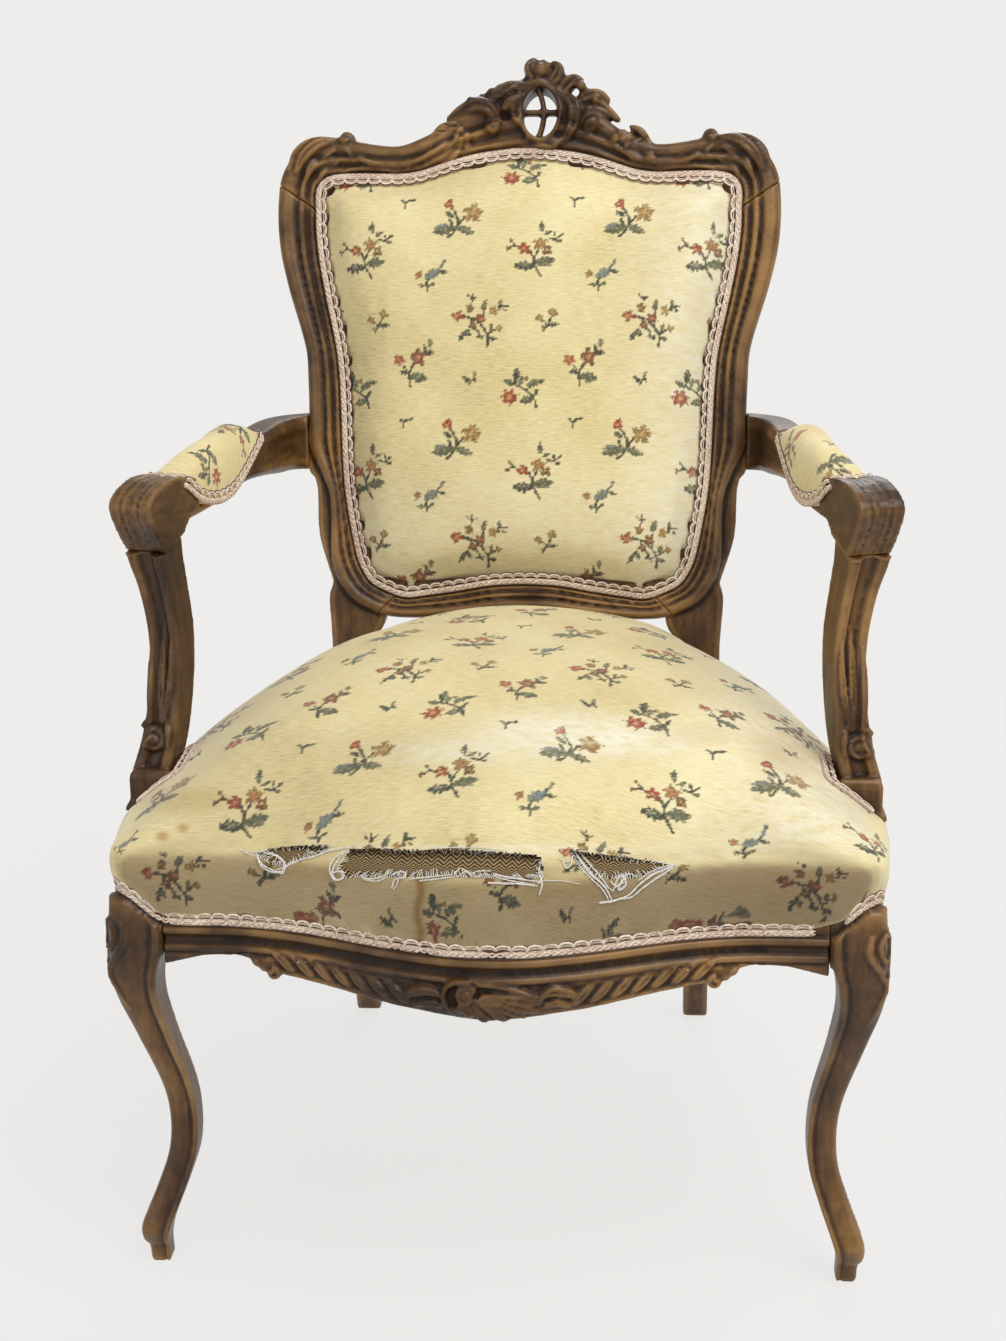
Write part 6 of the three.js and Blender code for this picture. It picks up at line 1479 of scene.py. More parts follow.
def knucklePlate(across, thickness, inset):
    outline = np.array(armSettings["outline"])
    nose, top = outline[:, 0] > 0.1, outline[:, 1] > 0.2
    forward = outline[:, 0] * armSettings["length"] - np.where(nose, inset, 0)
    up = outline[:, 1] * armSettings["rise"] - np.where(top, inset, 0)
    ring = smoothRing(evenLine(np.column_stack([forward, up]), 1.6, closed=True), 3)
    return loft("knuckle_plate", [
        knucklePlace(ring[:, 0], ring[:, 1], across + thickness * end) for end in (-0.5, 0.5)])


def makeArms():
    at, side, _, width, height = armLine()
    section = smoothRing(evenLine(armSettings["section"], 0.12, closed=True), 1)
    rings = (at[:, None, :] + side[:, None, :] * (section[None, :, :1] * width[:, None, None] / 2)
             + np.array([0, 0, 1]) * (section[None, :, 1:] * height[:, None, None] / 2))
    bar = loft("arm_bar", rings)
    cheek = (armSettings["across"] - 9.5) / 2
    plates = [
        knucklePlate(-cheek, 9.5, 0), knucklePlate(cheek, 9.5, 0), knucklePlate(0, 26, 4.4),
        knucklePlate(-6, 3.8, 1.0), knucklePlate(6, 3.8, 1.0), knucklePlate(0, 4.0, 1.8)]
    whorl = carveBodies({"scrolls": [(4, 2, 15, .25, -1.5, 3, 2.6)]}, knucklePlace,
                        lambda a, b: np.full(len(a), armSettings["across"] / 2 - 0.8))
    arm = joinAll("arm_wood", [bar] + plates + whorl)
    remesh(arm, armSettings["voxel"], 1)
    finishPair(arm, "arm_wood", walnutDeep, "arm")


supportSettings = {
    "spread": 294.0, "reach": 92.0, "width": 28.0, "depth": 30.0, "base": (36.0, 40.0), "bottom": 378.0, "top": 412.0,
    "joint": 594.9, "lip": 3.4, "voxel": 1.48,
    "rows": [[0, 0, .15, 1.2, 1.2], [.15, -.25, .45, 1.1, 1.12], [.38, -.42, .9, 1.02, 1.02], [.6, -.42, 1.15, 1.03, 1],
             [.8, -.22, 1.3, 1.12, 1.02], [.93, -.02, 1.38, 1.28, 1.1], [1.1, .1, 1.3, 1.4, 1.2]],
    "section": [[-1, -1], [1, -1], [1, .8], [.95, .95], [.82, 1], [.6, 1], [.45, .96], [.36, .72], [.2, .66], [-.2, .66],
                [-.36, .72], [-.45, .96], [-.6, 1], [-.82, 1], [-.95, .95], [-1, .8]],
}


def supportPlace(a, b, forward):
    a, b, forward = np.broadcast_arrays(a, b, forward)
    middle = np.array([290.0, 100.0, 0.0])
    flat = middle + a[..., None] * knuckleSide + forward[..., None] * knuckleFront
    return flat + np.stack([0 * b, 0 * b, b], axis=-1)


supportCarving = {
    "leaves": [[(-9, 520, 1.2, 1), (-10, 495, 3, 3), (-9, 470, 3.4, 4), (-4, 447, 2, 3)],
               [(0, 532, 1.2, 1), (0, 500, 3.2, 4), (-1, 470, 3.6, 5), (-2, 448, 2, 3)],
               [(9, 515, 1.2, 1), (9, 492, 3, 3), (7, 468, 3.2, 4), (3, 448, 2, 3)],
               [(-14, 430, 1.5, 2), (-13, 442, 3, 4), (-6, 452, 2, 3)],
               [(13, 428, 1.5, 2), (13, 440, 3, 4), (7, 450, 2, 3)]],
    "scrolls": [(0, 433, 11, .2, 1.3, 2.5, 5)],
}


def makeSupports():
    settings = supportSettings
    rows = smoothRows(settings["rows"], 10, slice(0, 1))
    section = smoothRing(evenLine(settings["section"], 0.1, closed=True), 1)
    turn = armSettings["turn"] * np.minimum(1, 0.3 + rows[:, 0])
    side = np.column_stack([np.cos(turn), np.sin(turn), 0 * turn])[:, None, :]
    front = np.column_stack([np.sin(turn), -np.cos(turn), 0 * turn])[:, None, :]
    middle = np.column_stack([
        settings["spread"] + settings["width"] * rows[:, 1], settings["reach"] + settings["width"] * rows[:, 2],
        lerp(settings["top"] - 4, settings["joint"], rows[:, 0])])[:, None, :]
    rings = (middle + side * section[None, :, :1] * (settings["width"] * rows[:, 3] / 2)[:, None, None]
             + front * section[None, :, 1:] * (settings["depth"] * rows[:, 4] / 2)[:, None, None])
    post = loft("support_post", rings)
    ground = groundOf(post, supportPlace)
    bodies = carveBodies(supportCarving, supportPlace, ground)
    # the post ends on the joint that slopes down to the front under the knuckle
    joined = joinAll("support_post", [post] + bodies)
    slope = np.array(armSettings["outline"])[8:10] * [armSettings["length"], armSettings["rise"]]
    points = readPoints(joined)
    forward = (points - np.array(armSettings["knuckle"])) @ knuckleFront
    lid = armSettings["height"] + slope[1, 1] + (slope[0, 1] - slope[1, 1]) * (
        (forward - slope[1, 0]) / (slope[0, 0] - slope[1, 0])) - 0.3
    points[:, 2] = np.minimum(points[:, 2], np.maximum(lid, 560))
    writePoints(joined, points)
    lip = settings["lip"]
    levels = [(378, lip), (381.4, lip), (383, lip * .8), (385, lip * .35), (388.2, 0), (406, 0), (410, -lip * .4), (412, -lip)]
    corners = np.array([[-1, -1], [1, -1], [1, 1], [-1, 1]])
    base = loft("support_base", [
        np.column_stack([np.array([settings["spread"], settings["reach"]])
                         + corners * (np.array(settings["base"]) / 2 + grow), np.full(4, z)]) for z, grow in levels])
    neck = loft("support_neck", [
        np.column_stack([np.array([settings["spread"], settings["reach"]]) + corners * [10.25, 13.25], np.full(4, z)])
        for z in (352.3, 380)])
    support = joinAll("support_wood", [joined, base, neck])
    remesh(support, settings["voxel"], 1)
    finishPair(support, "arm_support_wood", walnutUpright, "arm_support")


makeCrest()
makeStiles()
makeLowerRail()
print("back frame carved")
makeRails()
makeFrontLegs()
makeArms()
makeSupports()
print("seat frame and arms carved")


# Threads pulled out of the tear. Each is its thickness and its places in the photograph.

tearThreads = [
    (1.0, (258, 858), (263, 867), (275, 872), (284, 870), (285, 863), (276, 856), (264, 854)),
    (0.8, (256, 852), (262, 864), (272, 869), (283, 873), (287, 866), (296, 861)),
    (0.8, (284, 868), (298, 861), (316, 857), (330, 851), (352, 848)), (0.6, (276, 870), (290, 865), (306, 859)),
    (0.9, (346, 851), (335, 859), (330, 869), (335, 879), (344, 878), (343, 871), (333, 873)),
    (0.7, (356, 846), (345, 853), (338, 862), (333, 871), (337, 880), (346, 875)),
    (0.8, (362, 877), (374, 879), (386, 875), (389, 870)), (0.6, (364, 879), (378, 881), (388, 877)),
    (0.9, (393, 887), (395, 880), (406, 877), (404, 872), (393, 875)), (0.6, (400, 874), (398, 884), (394, 889)),
    (0.7, (410, 879), (434, 877), (452, 875)), (0.6, (420, 881), (440, 879), (455, 877)),
    (0.7, (455, 875), (461, 869), (470, 875), (478, 872), (491, 872)), (0.6, (458, 877), (468, 872), (474, 878), (486, 874)),
    (1.0, (494, 875), (515, 879), (539, 882)), (0.9, (488, 883), (515, 884), (537, 886)), (0.7, (497, 878), (520, 883), (534, 885)),
    (0.8, (540, 863), (539, 875), (542, 884), (539, 894)), (0.6, (536, 868), (543, 877), (537, 884), (545, 880)),
    (0.9, (572, 848), (579, 860), (590, 875), (605, 887), (611, 899)), (0.8, (575, 854), (584, 866), (596, 879), (612, 890)),
    (0.8, (578, 851), (588, 864), (599, 876), (608, 887)), (0.7, (570, 852), (580, 868), (592, 880), (603, 890), (609, 902)),
    (1.0, (674, 866), (656, 873), (641, 882), (629, 894), (614, 900), (599, 902)),
    (0.8, (672, 868), (658, 877), (644, 886), (630, 897), (618, 898)), (0.6, (668, 866), (650, 872), (638, 880)),
    (0.8, (610, 881), (617, 887), (623, 878), (617, 890), (626, 884), (620, 875), (614, 885)),
    (0.6, (614, 878), (622, 874), (625, 882), (617, 884), (612, 890)), (0.7, (622, 876), (630, 874), (636, 877)),
    (0.8, (562, 860), (566, 869), (570, 866), (572, 857)), (0.6, (558, 858), (566, 863), (574, 860)),
    (0.5, (240, 850), (250, 853), (262, 852), (280, 848), (302, 845)), (0.5, (244, 853), (262, 857), (274, 853)),
    (0.5, (300, 846), (318, 844), (334, 846)), (0.5, (430, 849), (470, 848), (505, 851)), (0.5, (560, 851), (590, 853), (625, 858)),
    (0.5, (625, 858), (650, 862), (676, 866)), (0.5, (545, 881), (560, 881), (580, 884)),
]


# The place on a piece that shows at a pixel of the photograph, stood off from it a little.
def onPiece(tree, px, py, lift):
    start = Vector(cameraView["place"])
    hit, normal = tree.ray_cast(start, Vector(photoRay(px, py)))[:2]
    if hit is None:
        return None
    return fromScene(hit) + lift * np.array(normal)


def makeThreads(cover, under):
    trees = [treeOf(cover), treeOf(under)]
    strands = []
    for number, (thickness, *pixels) in enumerate(tearThreads):
        line = smoothRows(pixels, 6)
        places = []
        for step, (px, py) in enumerate(line):
            lift = 0.7 + 1.1 * math.sin(step * 0.9 + number) ** 2
            spots = [spot for spot in (onPiece(tree, px, py, lift) for tree in trees) if spot is not None]
            places.append(min(spots, key=lambda spot: spot[1]))
        places = smoothEnds(np.array(places), 3)
        taper = np.sin(math.pi * np.linspace(0.12, 0.88, len(places))) ** 0.4
        for ply in range(3):
            wander = np.array([[math.sin(step * 0.8 + ply * 2.1 + number), math.cos(step * 0.7 + ply * 1.7),
                                math.cos(step * 0.9 + ply * 2.6)] for step in range(len(places))])
            body = strand(places + 0.55 * thickness * wander, 0.42 * thickness * taper, 5)
            strands.append(loft("thread", body))
    for hole in tearHoles:
        outline = evenLine(hole, 2.3, closed=True)
        heart = outline.mean(axis=0)
        for step, corner in enumerate(outline):
            length = 2.5 + 5 * stitchNoise(step, hole[0][0], 5)
            inward = unit(np.array([0.25 * (heart[0] - corner[0]), heart[1] - corner[1]]))
            inward = unit(inward + 0.9 * (stitchNoise(step, hole[0][0], 9) - 0.5) * np.array([1, 0.3]))
            spots = [onPiece(trees[0], *(corner - inward), 0.4)]
            spots += [onPiece(trees[1], *(corner + inward * length * share), 2.6 - share) for share in (0.35, 0.7, 1)]
            if not any(spot is None for spot in spots):
                body = strand(smoothRows(spots, 2), np.array([.32, .32, .3, .28, .26, .24, .2]), 4)
                strands.append(loft("thread", body))
    threads = joinAll("torn_threads", strands)
    smoothShade(threads, 80)
    finish(threads, threadWhite)


# Gimp: a flat ribbon, two crossing strands and round loops on its cloth side, each loop with a dark outline.

gimpShape = {
    "width": 12.6, "pitch": 11.8, "spacing": 1.4, "base": [(-.46, 0), (-.46, .6), (-.3, .9), (-.12, .9), (-.02, .5), (-.02, 0)],
    "braids": [(-.24, .12, .82, 0), (-.24, -.12, .82, .12)],
    "edge": (-.44, .55, .5), "arches": [(0, .40, 1.3, 1.5, .98, 0), (.07, .43, 1.1, 2.0, .55, 1), (.02, .2, 1.5, .8, .6, .3)],
}


def gimpBody(rings, closed, cord):
    body = loft("gimp_strand", rings, endless=closed)
    values = np.full(len(body.data.vertices), cord, np.float32)
    body.data.attributes.new("cord", "FLOAT", "POINT").data.foreach_set("value", values)
    return body


def gimpBand(name, line, across, normal, closed, nodes):
    width = gimpShape["width"]
    if closed:
        along = unit(np.roll(line, -1, axis=0) - np.roll(line, 1, axis=0))
        steps = np.linalg.norm(np.roll(line, -1, axis=0) - line, axis=1)
    else:
        along = unit(np.gradient(line, axis=0))
        steps = np.append(np.linalg.norm(np.diff(line, axis=0), axis=1), 0)
    run = np.concatenate([[0], np.cumsum(steps)[:-1]])
    turns = max(round(steps.sum() / gimpShape["pitch"]), 1)
    wave = 2 * math.pi * turns * run / steps.sum()

    def shifted(offset, height, slide=0.0):
        offset, height, slide = np.broadcast_arrays(offset, height, slide, run)[:3]
        return line + along * slide[:, None] + across * offset[:, None] + normal * height[:, None]

    ribbon = np.stack([shifted(width * side, up) for side, up in gimpShape["base"]], axis=1)
    arch = np.abs(np.sin(wave / 2)) ** 0.75
    bodies = [gimpBody(ribbon, closed, 0)]
    for middle, swing, radius, cord in gimpShape["braids"]:
        path = shifted(width * (middle + swing * np.sin(wave)), 1.25 + np.sign(swing) * 0.35 * np.cos(wave))
        bodies.append(gimpBody(strand(path, radius, 5, closed), closed, cord))
    middle, radius, cord = gimpShape["edge"]
    bodies.append(gimpBody(strand(shifted(width * middle, 0.9), radius, 5, closed), closed, cord))
    for low, rise, height, slide, radius, cord in gimpShape["arches"]:
        path = shifted(width * (low + rise * arch), height, -slide * np.sin(wave))
        bodies.append(gimpBody(strand(path, radius, 5, closed), closed, cord))
    band = joinAll(name, bodies)
    smoothShade(band, 60)
    finish(band, gimpFinish, nodes)


def treeOf(piece):
    bpy.context.view_layer.update()
    return BVHTree.FromObject(piece, bpy.context.evaluated_depsgraph_get())


def makeSeatGimp(cover):
    ring = seatOutline(0, gimpShape["spacing"])
    outward = unit(seatOutline(1, gimpShape["spacing"]) - ring)
    outward = np.column_stack([outward, np.zeros(len(ring))])
    held = np.where(ring[:, 1] < seatPlan["depth"] - 7)[0]
    gap = int(np.argmax(np.diff(held))) + 1
    order = np.concatenate([held[gap:], held[:gap]])
    tree = treeOf(cover)
    line = []
    for index in order:
        z = float(coverEdge(*ring[index])) + 6.8
        base = np.array([*ring[index], z])
        start = base + outward[index] * 30
        hit = tree.ray_cast(Vector(toScene(start)), Vector(-outward[index]))[0]
        line.append(base + outward[index] * 1.0 if hit is None else fromScene(hit))
    line = smoothEnds(np.array(line), 14)
    outward = unit(smoothEnds(outward[order], 6))
    across = unit(np.array([0, 0, 1.0]) + outward * 0.1)
    normal = unit(outward - across * (outward * across).sum(axis=1)[:, None])
    gimpBand("seat_edge_gimp", line + normal * 0.4, across, normal, False, ("seat_gimp",))


# Gimp laid on the cloth round three sides of each support's foot.
def makeFootGimps(cover):
    low, high = np.array(supportFoot["low"]) - 5.0, np.array(supportFoot["high"]) + 5.0
    corners = [(302.0, low[1]), (low[0], low[1]), (low[0], high[1]), (302.0, high[1])]
    plan = smoothEnds(evenLine(corners, gimpShape["spacing"]), 10)
    along = unit(np.gradient(plan, axis=0))
    tree = treeOf(cover)
    line = np.column_stack([plan, np.full(len(plan), 500.0)])
    normal = np.zeros(line.shape)
    for index, place in enumerate(toScene(line)):
        hit, facing = tree.ray_cast(Vector(place), Vector((0, 0, -1)))[:2]
        line[index] = fromScene(hit)
        normal[index] = facing
    normal = unit(smoothEnds(normal, 8))
    line = smoothEnds(line, 6) + 0.6 * normal
    across = np.column_stack([along[:, 1], -along[:, 0], np.zeros(len(line))])
    across = unit(across - normal * (across * normal).sum(axis=1)[:, None])
    for name, flip in (("right", 1), ("left", -1)):
        mirror = np.array([flip, 1, 1])
        gimpBand(name + "_foot_gimp", line * mirror, across * mirror, normal * mirror, False, ())


def makeBackGimps():
    ring = openingInset(7.2, gimpShape["spacing"], 10)
    toward = unit(smoothRing(openingInset(9.2, gimpShape["spacing"], 10) - ring, 10))
    face = np.array([0.0, 0.0, 0.0])
    across = unit(backPoint(toward[:, 0], toward[:, 1], 0) - backPoint(face[0], face[1], 0))
    lean = 0.3
    normal = unit(backForward - lean * across)
    across = unit(across + lean * backForward)
    gimpBand("back_edge_gimp", backPoint(ring[:, 0], ring[:, 1], -4.4), across, normal, True, ("back_gimp",))
    ring = openingInset(-6.3, gimpShape["spacing"], 10)
    toward = unit(smoothRing(openingInset(-4.3, gimpShape["spacing"], 10) - ring, 10))
    across = unit(backPoint(toward[:, 0], toward[:, 1], 0) - backPoint(face[0], face[1], 0))
    normal = np.broadcast_to(-backForward, across.shape)
    gimpBand("rear_edge_gimp", backPoint(ring[:, 0], ring[:, 1], -38.7), across, normal, True, ("rear_gimp",))


padShape = {
    "start": 0.56, "end": 0.985, "side": 2.3, "rise": 24.0, "drop": 30.0, "stations": 44,
    "section": smoothRows([[-1, 0, 0], [-1, .7, 0], [-.93, .9, .3], [-.76, 1, .68], [-.4, 1, .93], [0, 1, 1],
                           [.4, 1, .93], [.76, 1, .68], [.93, .9, .3], [1, .7, 0], [1, 0, 0]], 3, slice(0, 3)),
}


def padSwell(share, least=0.02):
    return np.sin(math.pi * np.clip(share, least, 1 - least)) ** 0.6


# Rows of the arm's line at shares of the pad's length.
def padRows(share):
    place = lerp(padShape["start"], padShape["end"], share) * (len(armRows) - 1)
    index = np.arange(len(armRows))

    def read(values):
        if values.ndim == 1:
            return np.interp(place, index, values)
        return np.column_stack([np.interp(place, index, values[:, k]) for k in range(3)])

    at, side, along, width, height = armLine()
    return read(at), unit(read(side)), unit(read(along)), read(width), read(height)


def makeArmPads():
    share = np.linspace(0, 1, padShape["stations"])
    at, side, along, width, height = padRows(share)
    swell = padSwell(share)[:, None]
    section = padShape["section"]
    half = (width / 2 + padShape["side"])[:, None]
    top = (height / 2)[:, None]
    hang = top - padShape["drop"] * swell - 0.3
    up = hang + (top - hang) * section[None, :, 1] + padShape["rise"] * swell * section[None, :, 2]
    across = half * section[None, :, 0]
    rings = at[:, None, :] + side[:, None, :] * across[..., None] + np.array([0, 0, 1.0]) * up[..., None]
    pad = loft("arm_pad_cloth", rings)
    remesh(pad, 2.8, 5)
    inflate(pad, lambda points: np.full(len(points), 1.6))
    applyModifier(pad, "SUBSURF", levels=1, render_levels=1)
    points = readPoints(pad)
    run = np.concatenate([[0], np.cumsum(np.linalg.norm(np.diff(at, axis=0), axis=1))])
    nearest = np.argmin(((points[:, None, :2] - at[None, :, :2]) ** 2).sum(axis=-1), axis=1)
    offset = ((points - at[nearest]) * side[nearest]).sum(axis=1)
    drop = np.maximum(at[nearest, 2] + height[nearest] / 2 + 12 - points[:, 2], 0)
    u = offset + np.sign(offset) * drop * smoothstep(np.abs(offset), 8, 16)
    v = run[nearest] + ((points - at[nearest]) * along[nearest]).sum(axis=1)
    points[:, 2] += 0.35 * np.sin(v / 5.3) * np.exp(-(offset / 14) ** 2)
    writePoints(pad, points)
    smoothShade(pad, 60)
    pad.name = pad.data.name = "right_arm_pad_cloth"
    left = mirrorOf(pad, "left_arm_pad_cloth")
    for piece, shiftU, shiftV, node_ in ((pad, 46.0, 20.0, "right_arm_pad"), (left, -20.0, 96.0, "left_arm_pad")):
        marksAndPaintedLight = np.zeros((len(points), 3))
        marksAndPaintedLight[:, 1] = 0.3 * np.exp(-((v - 60) / 30) ** 2 - (offset / 12) ** 2)
        paintCloth(piece, (u if piece is pad else -u) + shiftU, v + shiftV, marksAndPaintedLight)
        finish(piece, tapestry, (node_,))


# The gimp runs along both sides of a pad and over the arm at its two ends.
def makeArmGimps():
    share = np.concatenate([np.linspace(0, 1, 90), np.ones(24), np.linspace(1, 0, 90), np.zeros(24)])
    turn = np.linspace(1, -1, 24)
    acrossShare = np.concatenate([np.ones(90), turn, -np.ones(90), -turn])
    end = np.concatenate([np.zeros(90), np.ones(24), np.zeros(90), -np.ones(24)])
    at, side, along, width, height = padRows(share)
    swell = padSwell(share)
    half = width / 2 + padShape["side"]
    atEnd = np.abs(end) > 0
    low = height / 2 + np.where(atEnd, 1.5, -padShape["drop"] * swell + 6.3)
    line = at + side * (half * acrossShare)[:, None] + np.column_stack([0 * low, 0 * low, low])
    line += along * (end * 1.5)[:, None]
    outward = np.where(atEnd[:, None], along * end[:, None] * 0.5 + [0, 0, 0.85], side * acrossShare[:, None])
    upward = np.where(atEnd[:, None], -along * end[:, None] * 0.85 + [0, 0, 0.5], [[0, 0, 1.0]])
    line, outward, upward = smoothRing(line, 24), unit(smoothRing(outward, 20)), unit(smoothRing(upward, 20))
    whole = evenLine(np.hstack([line, outward, upward]), gimpShape["spacing"], closed=True)
    line, outward, upward = whole[:, :3], unit(whole[:, 3:6]), whole[:, 6:]
    upward = unit(upward - outward * (upward * outward).sum(axis=1)[:, None])
    for name, flip in (("right", 1), ("left", -1)):
        mirror = np.array([flip, 1, 1])
        gimpBand(name + "_arm_edge_gimp", (line + outward * 0.6) * mirror, upward * mirror, outward * mirror, True,
                 (name + "_arm_gimp",))


# Layers that the covers hide, and what shows from behind and below

outerBack = {"step": 2.45, "inset": -10.0, "forward": -38.3, "dome": 1.8, "thick": 1.6}


# A flat grid cut to the outline, domed a little, with the gimp over its edge.
def makeOuterBack():
    outline = openingInset(outerBack["inset"], 3.0, 3)
    low, high = outline.min(axis=0), outline.max(axis=0)
    x, height = np.meshgrid(np.arange(low[0], high[0], outerBack["step"]), np.arange(low[1], high[1], outerBack["step"]))
    inside = insidePolygon(x, height, [tuple(corner) for corner in outline])
    ids = np.cumsum(inside.ravel()).reshape(inside.shape) - 1
    whole = inside[:-1, :-1] & inside[1:, :-1] & inside[:-1, 1:] & inside[1:, 1:]
    quads = np.stack([ids[:-1, :-1], ids[1:, :-1], ids[1:, 1:], ids[:-1, 1:]], axis=-1)[whole]
    x, height = x[inside], height[inside]
    gap = np.sqrt(((np.column_stack([x, height])[:, None, :] - outline[None, ::4]) ** 2).sum(axis=-1).min(axis=1))
    dome = outerBack["dome"] * (1 - np.exp(-gap / 45)) + 0.25 * np.sin(x / 31 + height / 43) * smoothstep(gap, 10, 40)
    sheet = meshPiece("outer_back_cloth", backPoint(x, height, outerBack["forward"] - dome), quads.tolist())
    paintCloth(sheet, -x + 30, height * math.hypot(1, backFrame["rake"]) - 500)
    applyModifier(sheet, "SOLIDIFY", thickness=outerBack["thick"] / 1000, offset=-1)
    smoothShade(sheet, 60)
    finish(sheet, tapestry, ("outer_back_cover",))


# A woven strap, a little bowed, from one end to the other.
def strapPiece(name, start, end, wave, nodes):
    start, end = np.array(start), np.array(end)
    length = np.linalg.norm(end - start)
    along = (end - start) / length
    side = np.array([-along[1], along[0], 0])
    rings = []
    for share in np.linspace(0, 1, 48):
        middle = lerp(start, end, share) + np.array([0, 0, wave * 1.1 * math.cos(math.pi * 3 * share)])
        section = [(-35, -.5), (-34.4, -.9), (0, -.9), (34.4, -.9), (35, -.5), (35, .5), (34.4, .9), (0, .9),
                   (-34.4, .9), (-35, .5)]
        rings.append([middle + side * out + np.array([0, 0, up]) for out, up in section])
    piece = loft(name, rings)
    smoothShade(piece, 40)
    finish(piece, juteCloth, nodes)


def makeStraps():
    for number in (1, 2, 3):
        low, high = [fromScene(corner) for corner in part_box(f"lengthwise_strap_{number}")]
        middle = (low + high) / 2
        strapPiece(f"lengthwise_webbing_{number}", (middle[0], low[1] + 3, middle[2]), (middle[0], high[1], middle[2]),
                   1 if number % 2 else -1, (f"lengthwise_strap_{number}",))
        low, high = [fromScene(corner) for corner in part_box(f"crosswise_strap_{number}")]
        middle = (low + high) / 2
        strapPiece(f"crosswise_webbing_{number}", (low[0] + 4, middle[1], middle[2]), (high[0] - 4, middle[1], middle[2]),
                   -1 if number % 2 else 1, (f"crosswise_strap_{number}",))


springShape = {"radius": 36.0, "waist": 25.0, "turns": 4, "wire": 1.8}


def makeSprings():
    for number in range(1, 10):
        low, high = [fromScene(corner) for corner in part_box(f"seat_spring_{number}")]
        middle = (low + high) / 2
        share = np.linspace(0, 1, 120)
        angle = 2 * math.pi * springShape["turns"] * share
        radius = lerp(springShape["radius"], springShape["waist"], np.cos(math.pi * (share * 2 - 1) / 2))
        lift = np.clip((share * springShape["turns"] - 0.5) / (springShape["turns"] - 1), 0, 1)
        line = np.column_stack([
            middle[0] + radius * np.cos(angle), middle[1] + radius * np.sin(angle),
            lerp(low[2] + springShape["wire"], high[2] - springShape["wire"], lift)])
        spring = loft(f"coil_spring_{number}", strand(line, springShape["wire"], 8))
        smoothShade(spring, 60)
        finish(spring, springSteel, (f"seat_spring_{number}",))


# A place of the seat's rim carried towards the crown, as the cover's dome is.
def towardCrown(ring, share):
    middle = np.array([0, seatShape["crownY"]])
    arm = ring - middle
    roundness = 1 / np.hypot(arm[:, 0] / seatShape["crownHalf"][0], arm[:, 1] / seatShape["crownHalf"][1])
    reach = lerp(1, roundness, min(1.5 * share, 1)) * (1 - share)
    return middle + arm * reach[:, None]


def makeHiddenLayers():
    rim = seatOutline(-16, 6.0)
    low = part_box("spring_canvas")[0][2] * 1000
    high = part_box("spring_canvas")[1][2] * 1000 - 1.6
    rows = [(0, 0), (.03, .12), (.09, .5), (.14, .78), (.19, 1), (.35, 1), (.6, 1), (.9, 1), (.97, 1)]

    def level(lift):
        return [np.column_stack([towardCrown(rim, toward), np.full(len(rim), lerp(low, high, rise) + lift)])
                for toward, rise in rows]

    canvas = loft("spring_canvas_cloth", level(0)[::-1] + level(1.6))
    smoothShade(canvas, 50)
    finish(canvas, juteCloth, ("spring_canvas",))

    stuffing = loft("horsehair_stuffing", [ring for ring in level(2.0)[::-1]] + seatBody(
        depth=12.6, bottom=lambda x, y: low + 2.4 + 0 * x, spacing=6.0)[2:])
    smoothShade(stuffing, 60)
    finish(stuffing, horsehair, ("seat_stuffing",))

    middle = np.array([0, backFrame["sill"] + backFrame["height"] * 0.54])
    rings = []
    for inset, toward, forward in [(16, .97, -4.6), (16, .3, -4.6), (16, .05, -4.6), (17, .08, 1), (17, .12, 8), (17, .2, 14),
                                   (17, .36, 18), (17, .6, 20), (17, .97, 20.5)]:
        place = lerp(openingInset(inset, 6.0, 3), middle, toward)
        rings.append(backPoint(place[:, 0], place[:, 1], forward))
    pad = loft("back_stuffing", rings)
    smoothShade(pad, 60)
    finish(pad, horsehair, ("back_pad",))

    webbing = []
    outline = openingInset(13.0, 3.0, 3)
    for upright in (-112.0, 0.0, 112.0):
        near = outline[np.abs(outline[:, 0] - upright) < 34]
        top = near[near[:, 1] > middle[1], 1].min()
        bottom = near[near[:, 1] < middle[1], 1].max()
        corners = np.array([(upright - 35, bottom), (upright + 35, bottom), (upright + 35, top), (upright - 35, top)])
        webbing.append(loft("webbing", [backPoint(corners[:, 0], corners[:, 1], forward) for forward in (-8.6, -6.8)]))
    for share in (0.3, 0.7):
        height = backFrame["sill"] + backFrame["height"] * share
        near = outline[np.abs(outline[:, 1] - height) < 35]
        half = np.abs(near[:, 0]).min()
        corners = np.array([(-half, height - 35), (half, height - 35), (half, height + 35), (-half, height + 35)])
        webbing.append(loft("webbing", [backPoint(corners[:, 0], corners[:, 1], forward) for forward in (-8.4, -6.9)]))
    lattice = joinAll("back_webbing_straps", webbing)
    finish(lattice, juteCloth, ("back_webbing",))


makeThreads(seatCover, seatUnder)
makeSeatGimp(seatCover)
makeFootGimps(seatCover)
makeBackGimps()
makeArmPads()
makeArmGimps()
print("gimp, arm pads and threads made")
makeOuterBack()
makeStraps()
makeSprings()
makeHiddenLayers()
print("hidden layers made")


# Stage, light and camera

lamps = {
    "window": {"place": (1.2, -1.2, 3.0), "size": 2.4, "power": 66},
    "fill": {"place": (-1.9, -2.6, 1.5), "size": 2.6, "power": 20},
    "behind": {"place": (0.4, 2.4, 2.3), "size": 2.0, "power": 26},
}


def makeLamps():
    for name, lamp in lamps.items():
        data = bpy.data.lights.new(name, "AREA")
        data.shape = "DISK"
        data.size = lamp["size"]
        data.energy = lamp["power"]
        lightObject = bpy.data.objects.new(name, data)
        scene.collection.objects.link(lightObject)
        place = Vector(lamp["place"])
        lightObject.location = place
        lightObject.rotation_euler = (Vector((0, 0, 0.5)) - place).to_track_quat("-Z", "Y").to_euler()


backdropColour = (0.855, 0.847, 0.832)


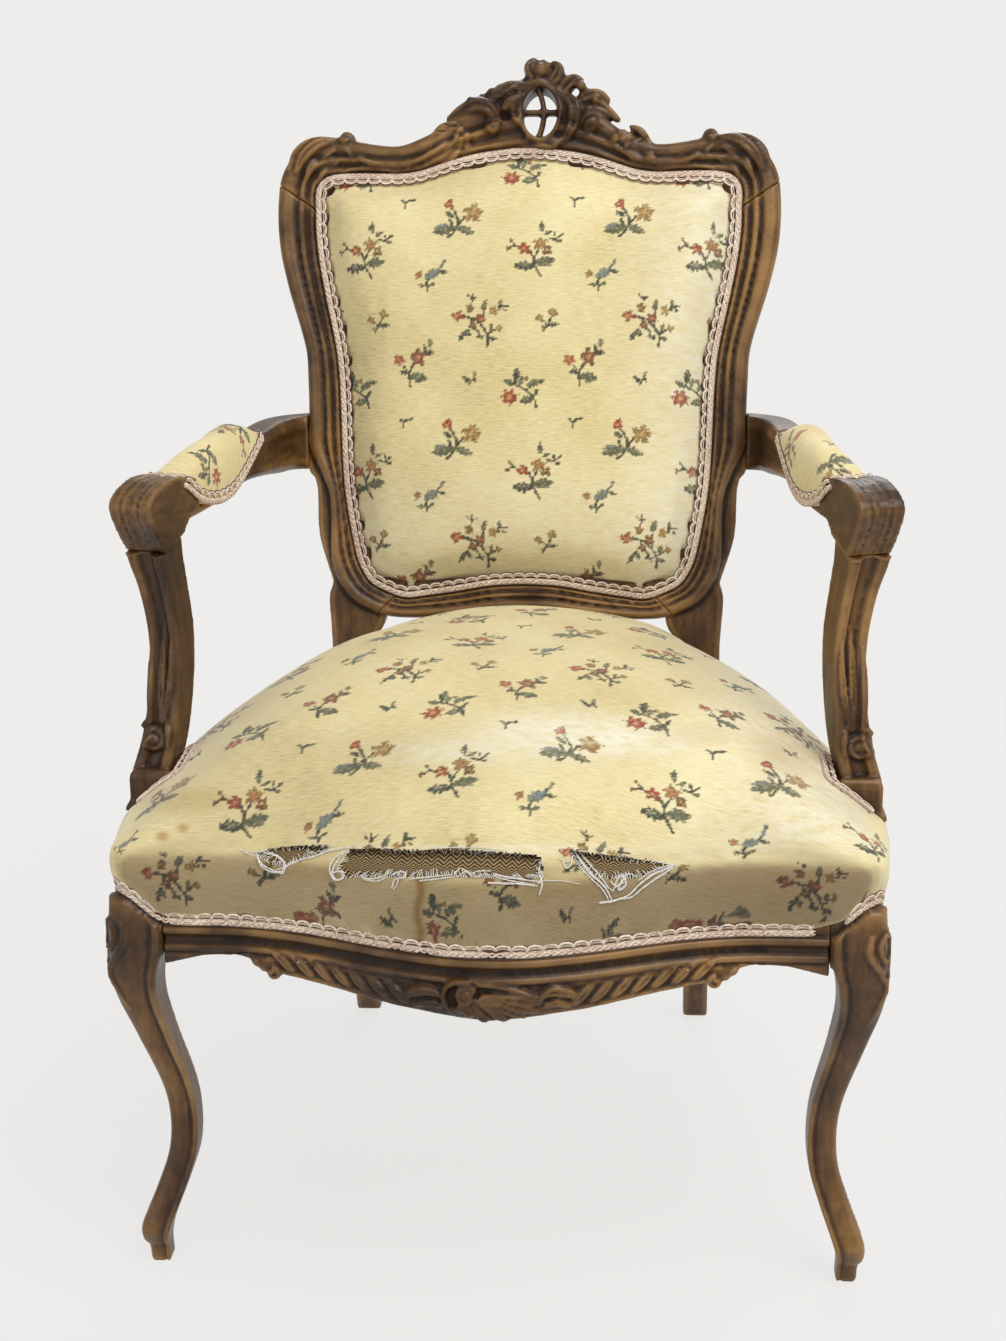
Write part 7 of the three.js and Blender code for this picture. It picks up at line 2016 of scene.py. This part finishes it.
def cameraFactor(tree):
    path = node(tree, "LightPath")
    seen = maths(tree, "ADD", path.outputs["Is Camera Ray"], path.outputs["Is Glossy Ray"])
    return maths(tree, "MINIMUM", maths(tree, "ADD", seen, path.outputs["Is Transmission Ray"]), 1.0)


def makeWorld():
    world = bpy.data.worlds.new("studio")
    world.use_nodes = True
    scene.world = world
    tree = world.node_tree
    tree.nodes.clear()
    soft = node(tree, "Background", {"Color": (0.98, 0.99, 1.0, 1), "Strength": 0.52})
    seen = node(tree, "Background", {"Color": (*backdropColour, 1), "Strength": 1.0})
    straight = node(tree, "LightPath").outputs["Is Camera Ray"]
    mix = node(tree, "MixShader", {0: straight, 1: soft.outputs[0], 2: seen.outputs[0]})
    node(tree, "OutputWorld", {"Surface": mix.outputs[0]})


def makeFloor():
    deselectAll()
    bpy.ops.mesh.primitive_plane_add(size=60, location=(0, 0, -0.0005))
    floor = bpy.context.object
    floor.name = "studio_floor"
    material, tree, shader = newMaterial("paleFloor")
    shader.inputs["Base Color"].default_value = (0.80, 0.79, 0.775, 1)
    shader.inputs["Roughness"].default_value = 0.9
    plain = node(tree, "Emission", {"Color": (*backdropColour, 1), "Strength": 1.0})
    place = node(tree, "TexCoord").outputs["Object"]
    away = node(tree, "VectorMath", {0: place}, operation="LENGTH").outputs["Value"]
    plainShare = node(tree, "MapRange", {
        "Value": away, "From Min": 0.5, "From Max": 1.7, "To Min": 0.86, "To Max": 1.0}).outputs["Result"]
    keep = maths(tree, "MULTIPLY", cameraFactor(tree), plainShare)
    mix = node(tree, "MixShader", {0: keep, 1: shader.outputs[0], 2: plain.outputs[0]})
    tree.links.new(mix.outputs[0], tree.nodes["Material Output"].inputs["Surface"])
    floor.data.materials.append(material)


makeCamera()
makeLamps()
makeWorld()
makeFloor()
scene.view_settings.view_transform = "Standard"
print("stage, lamps and camera made")


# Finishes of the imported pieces

def finishNodes():
    for name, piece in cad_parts.items():
        if "screw" in name:
            material = springSteel
        elif "block" in name or name == "rear_seat_rail":
            material = beech
        else:
            material = walnutUpright
        for slot in piece.material_slots:
            slot.material = material


finishNodes()
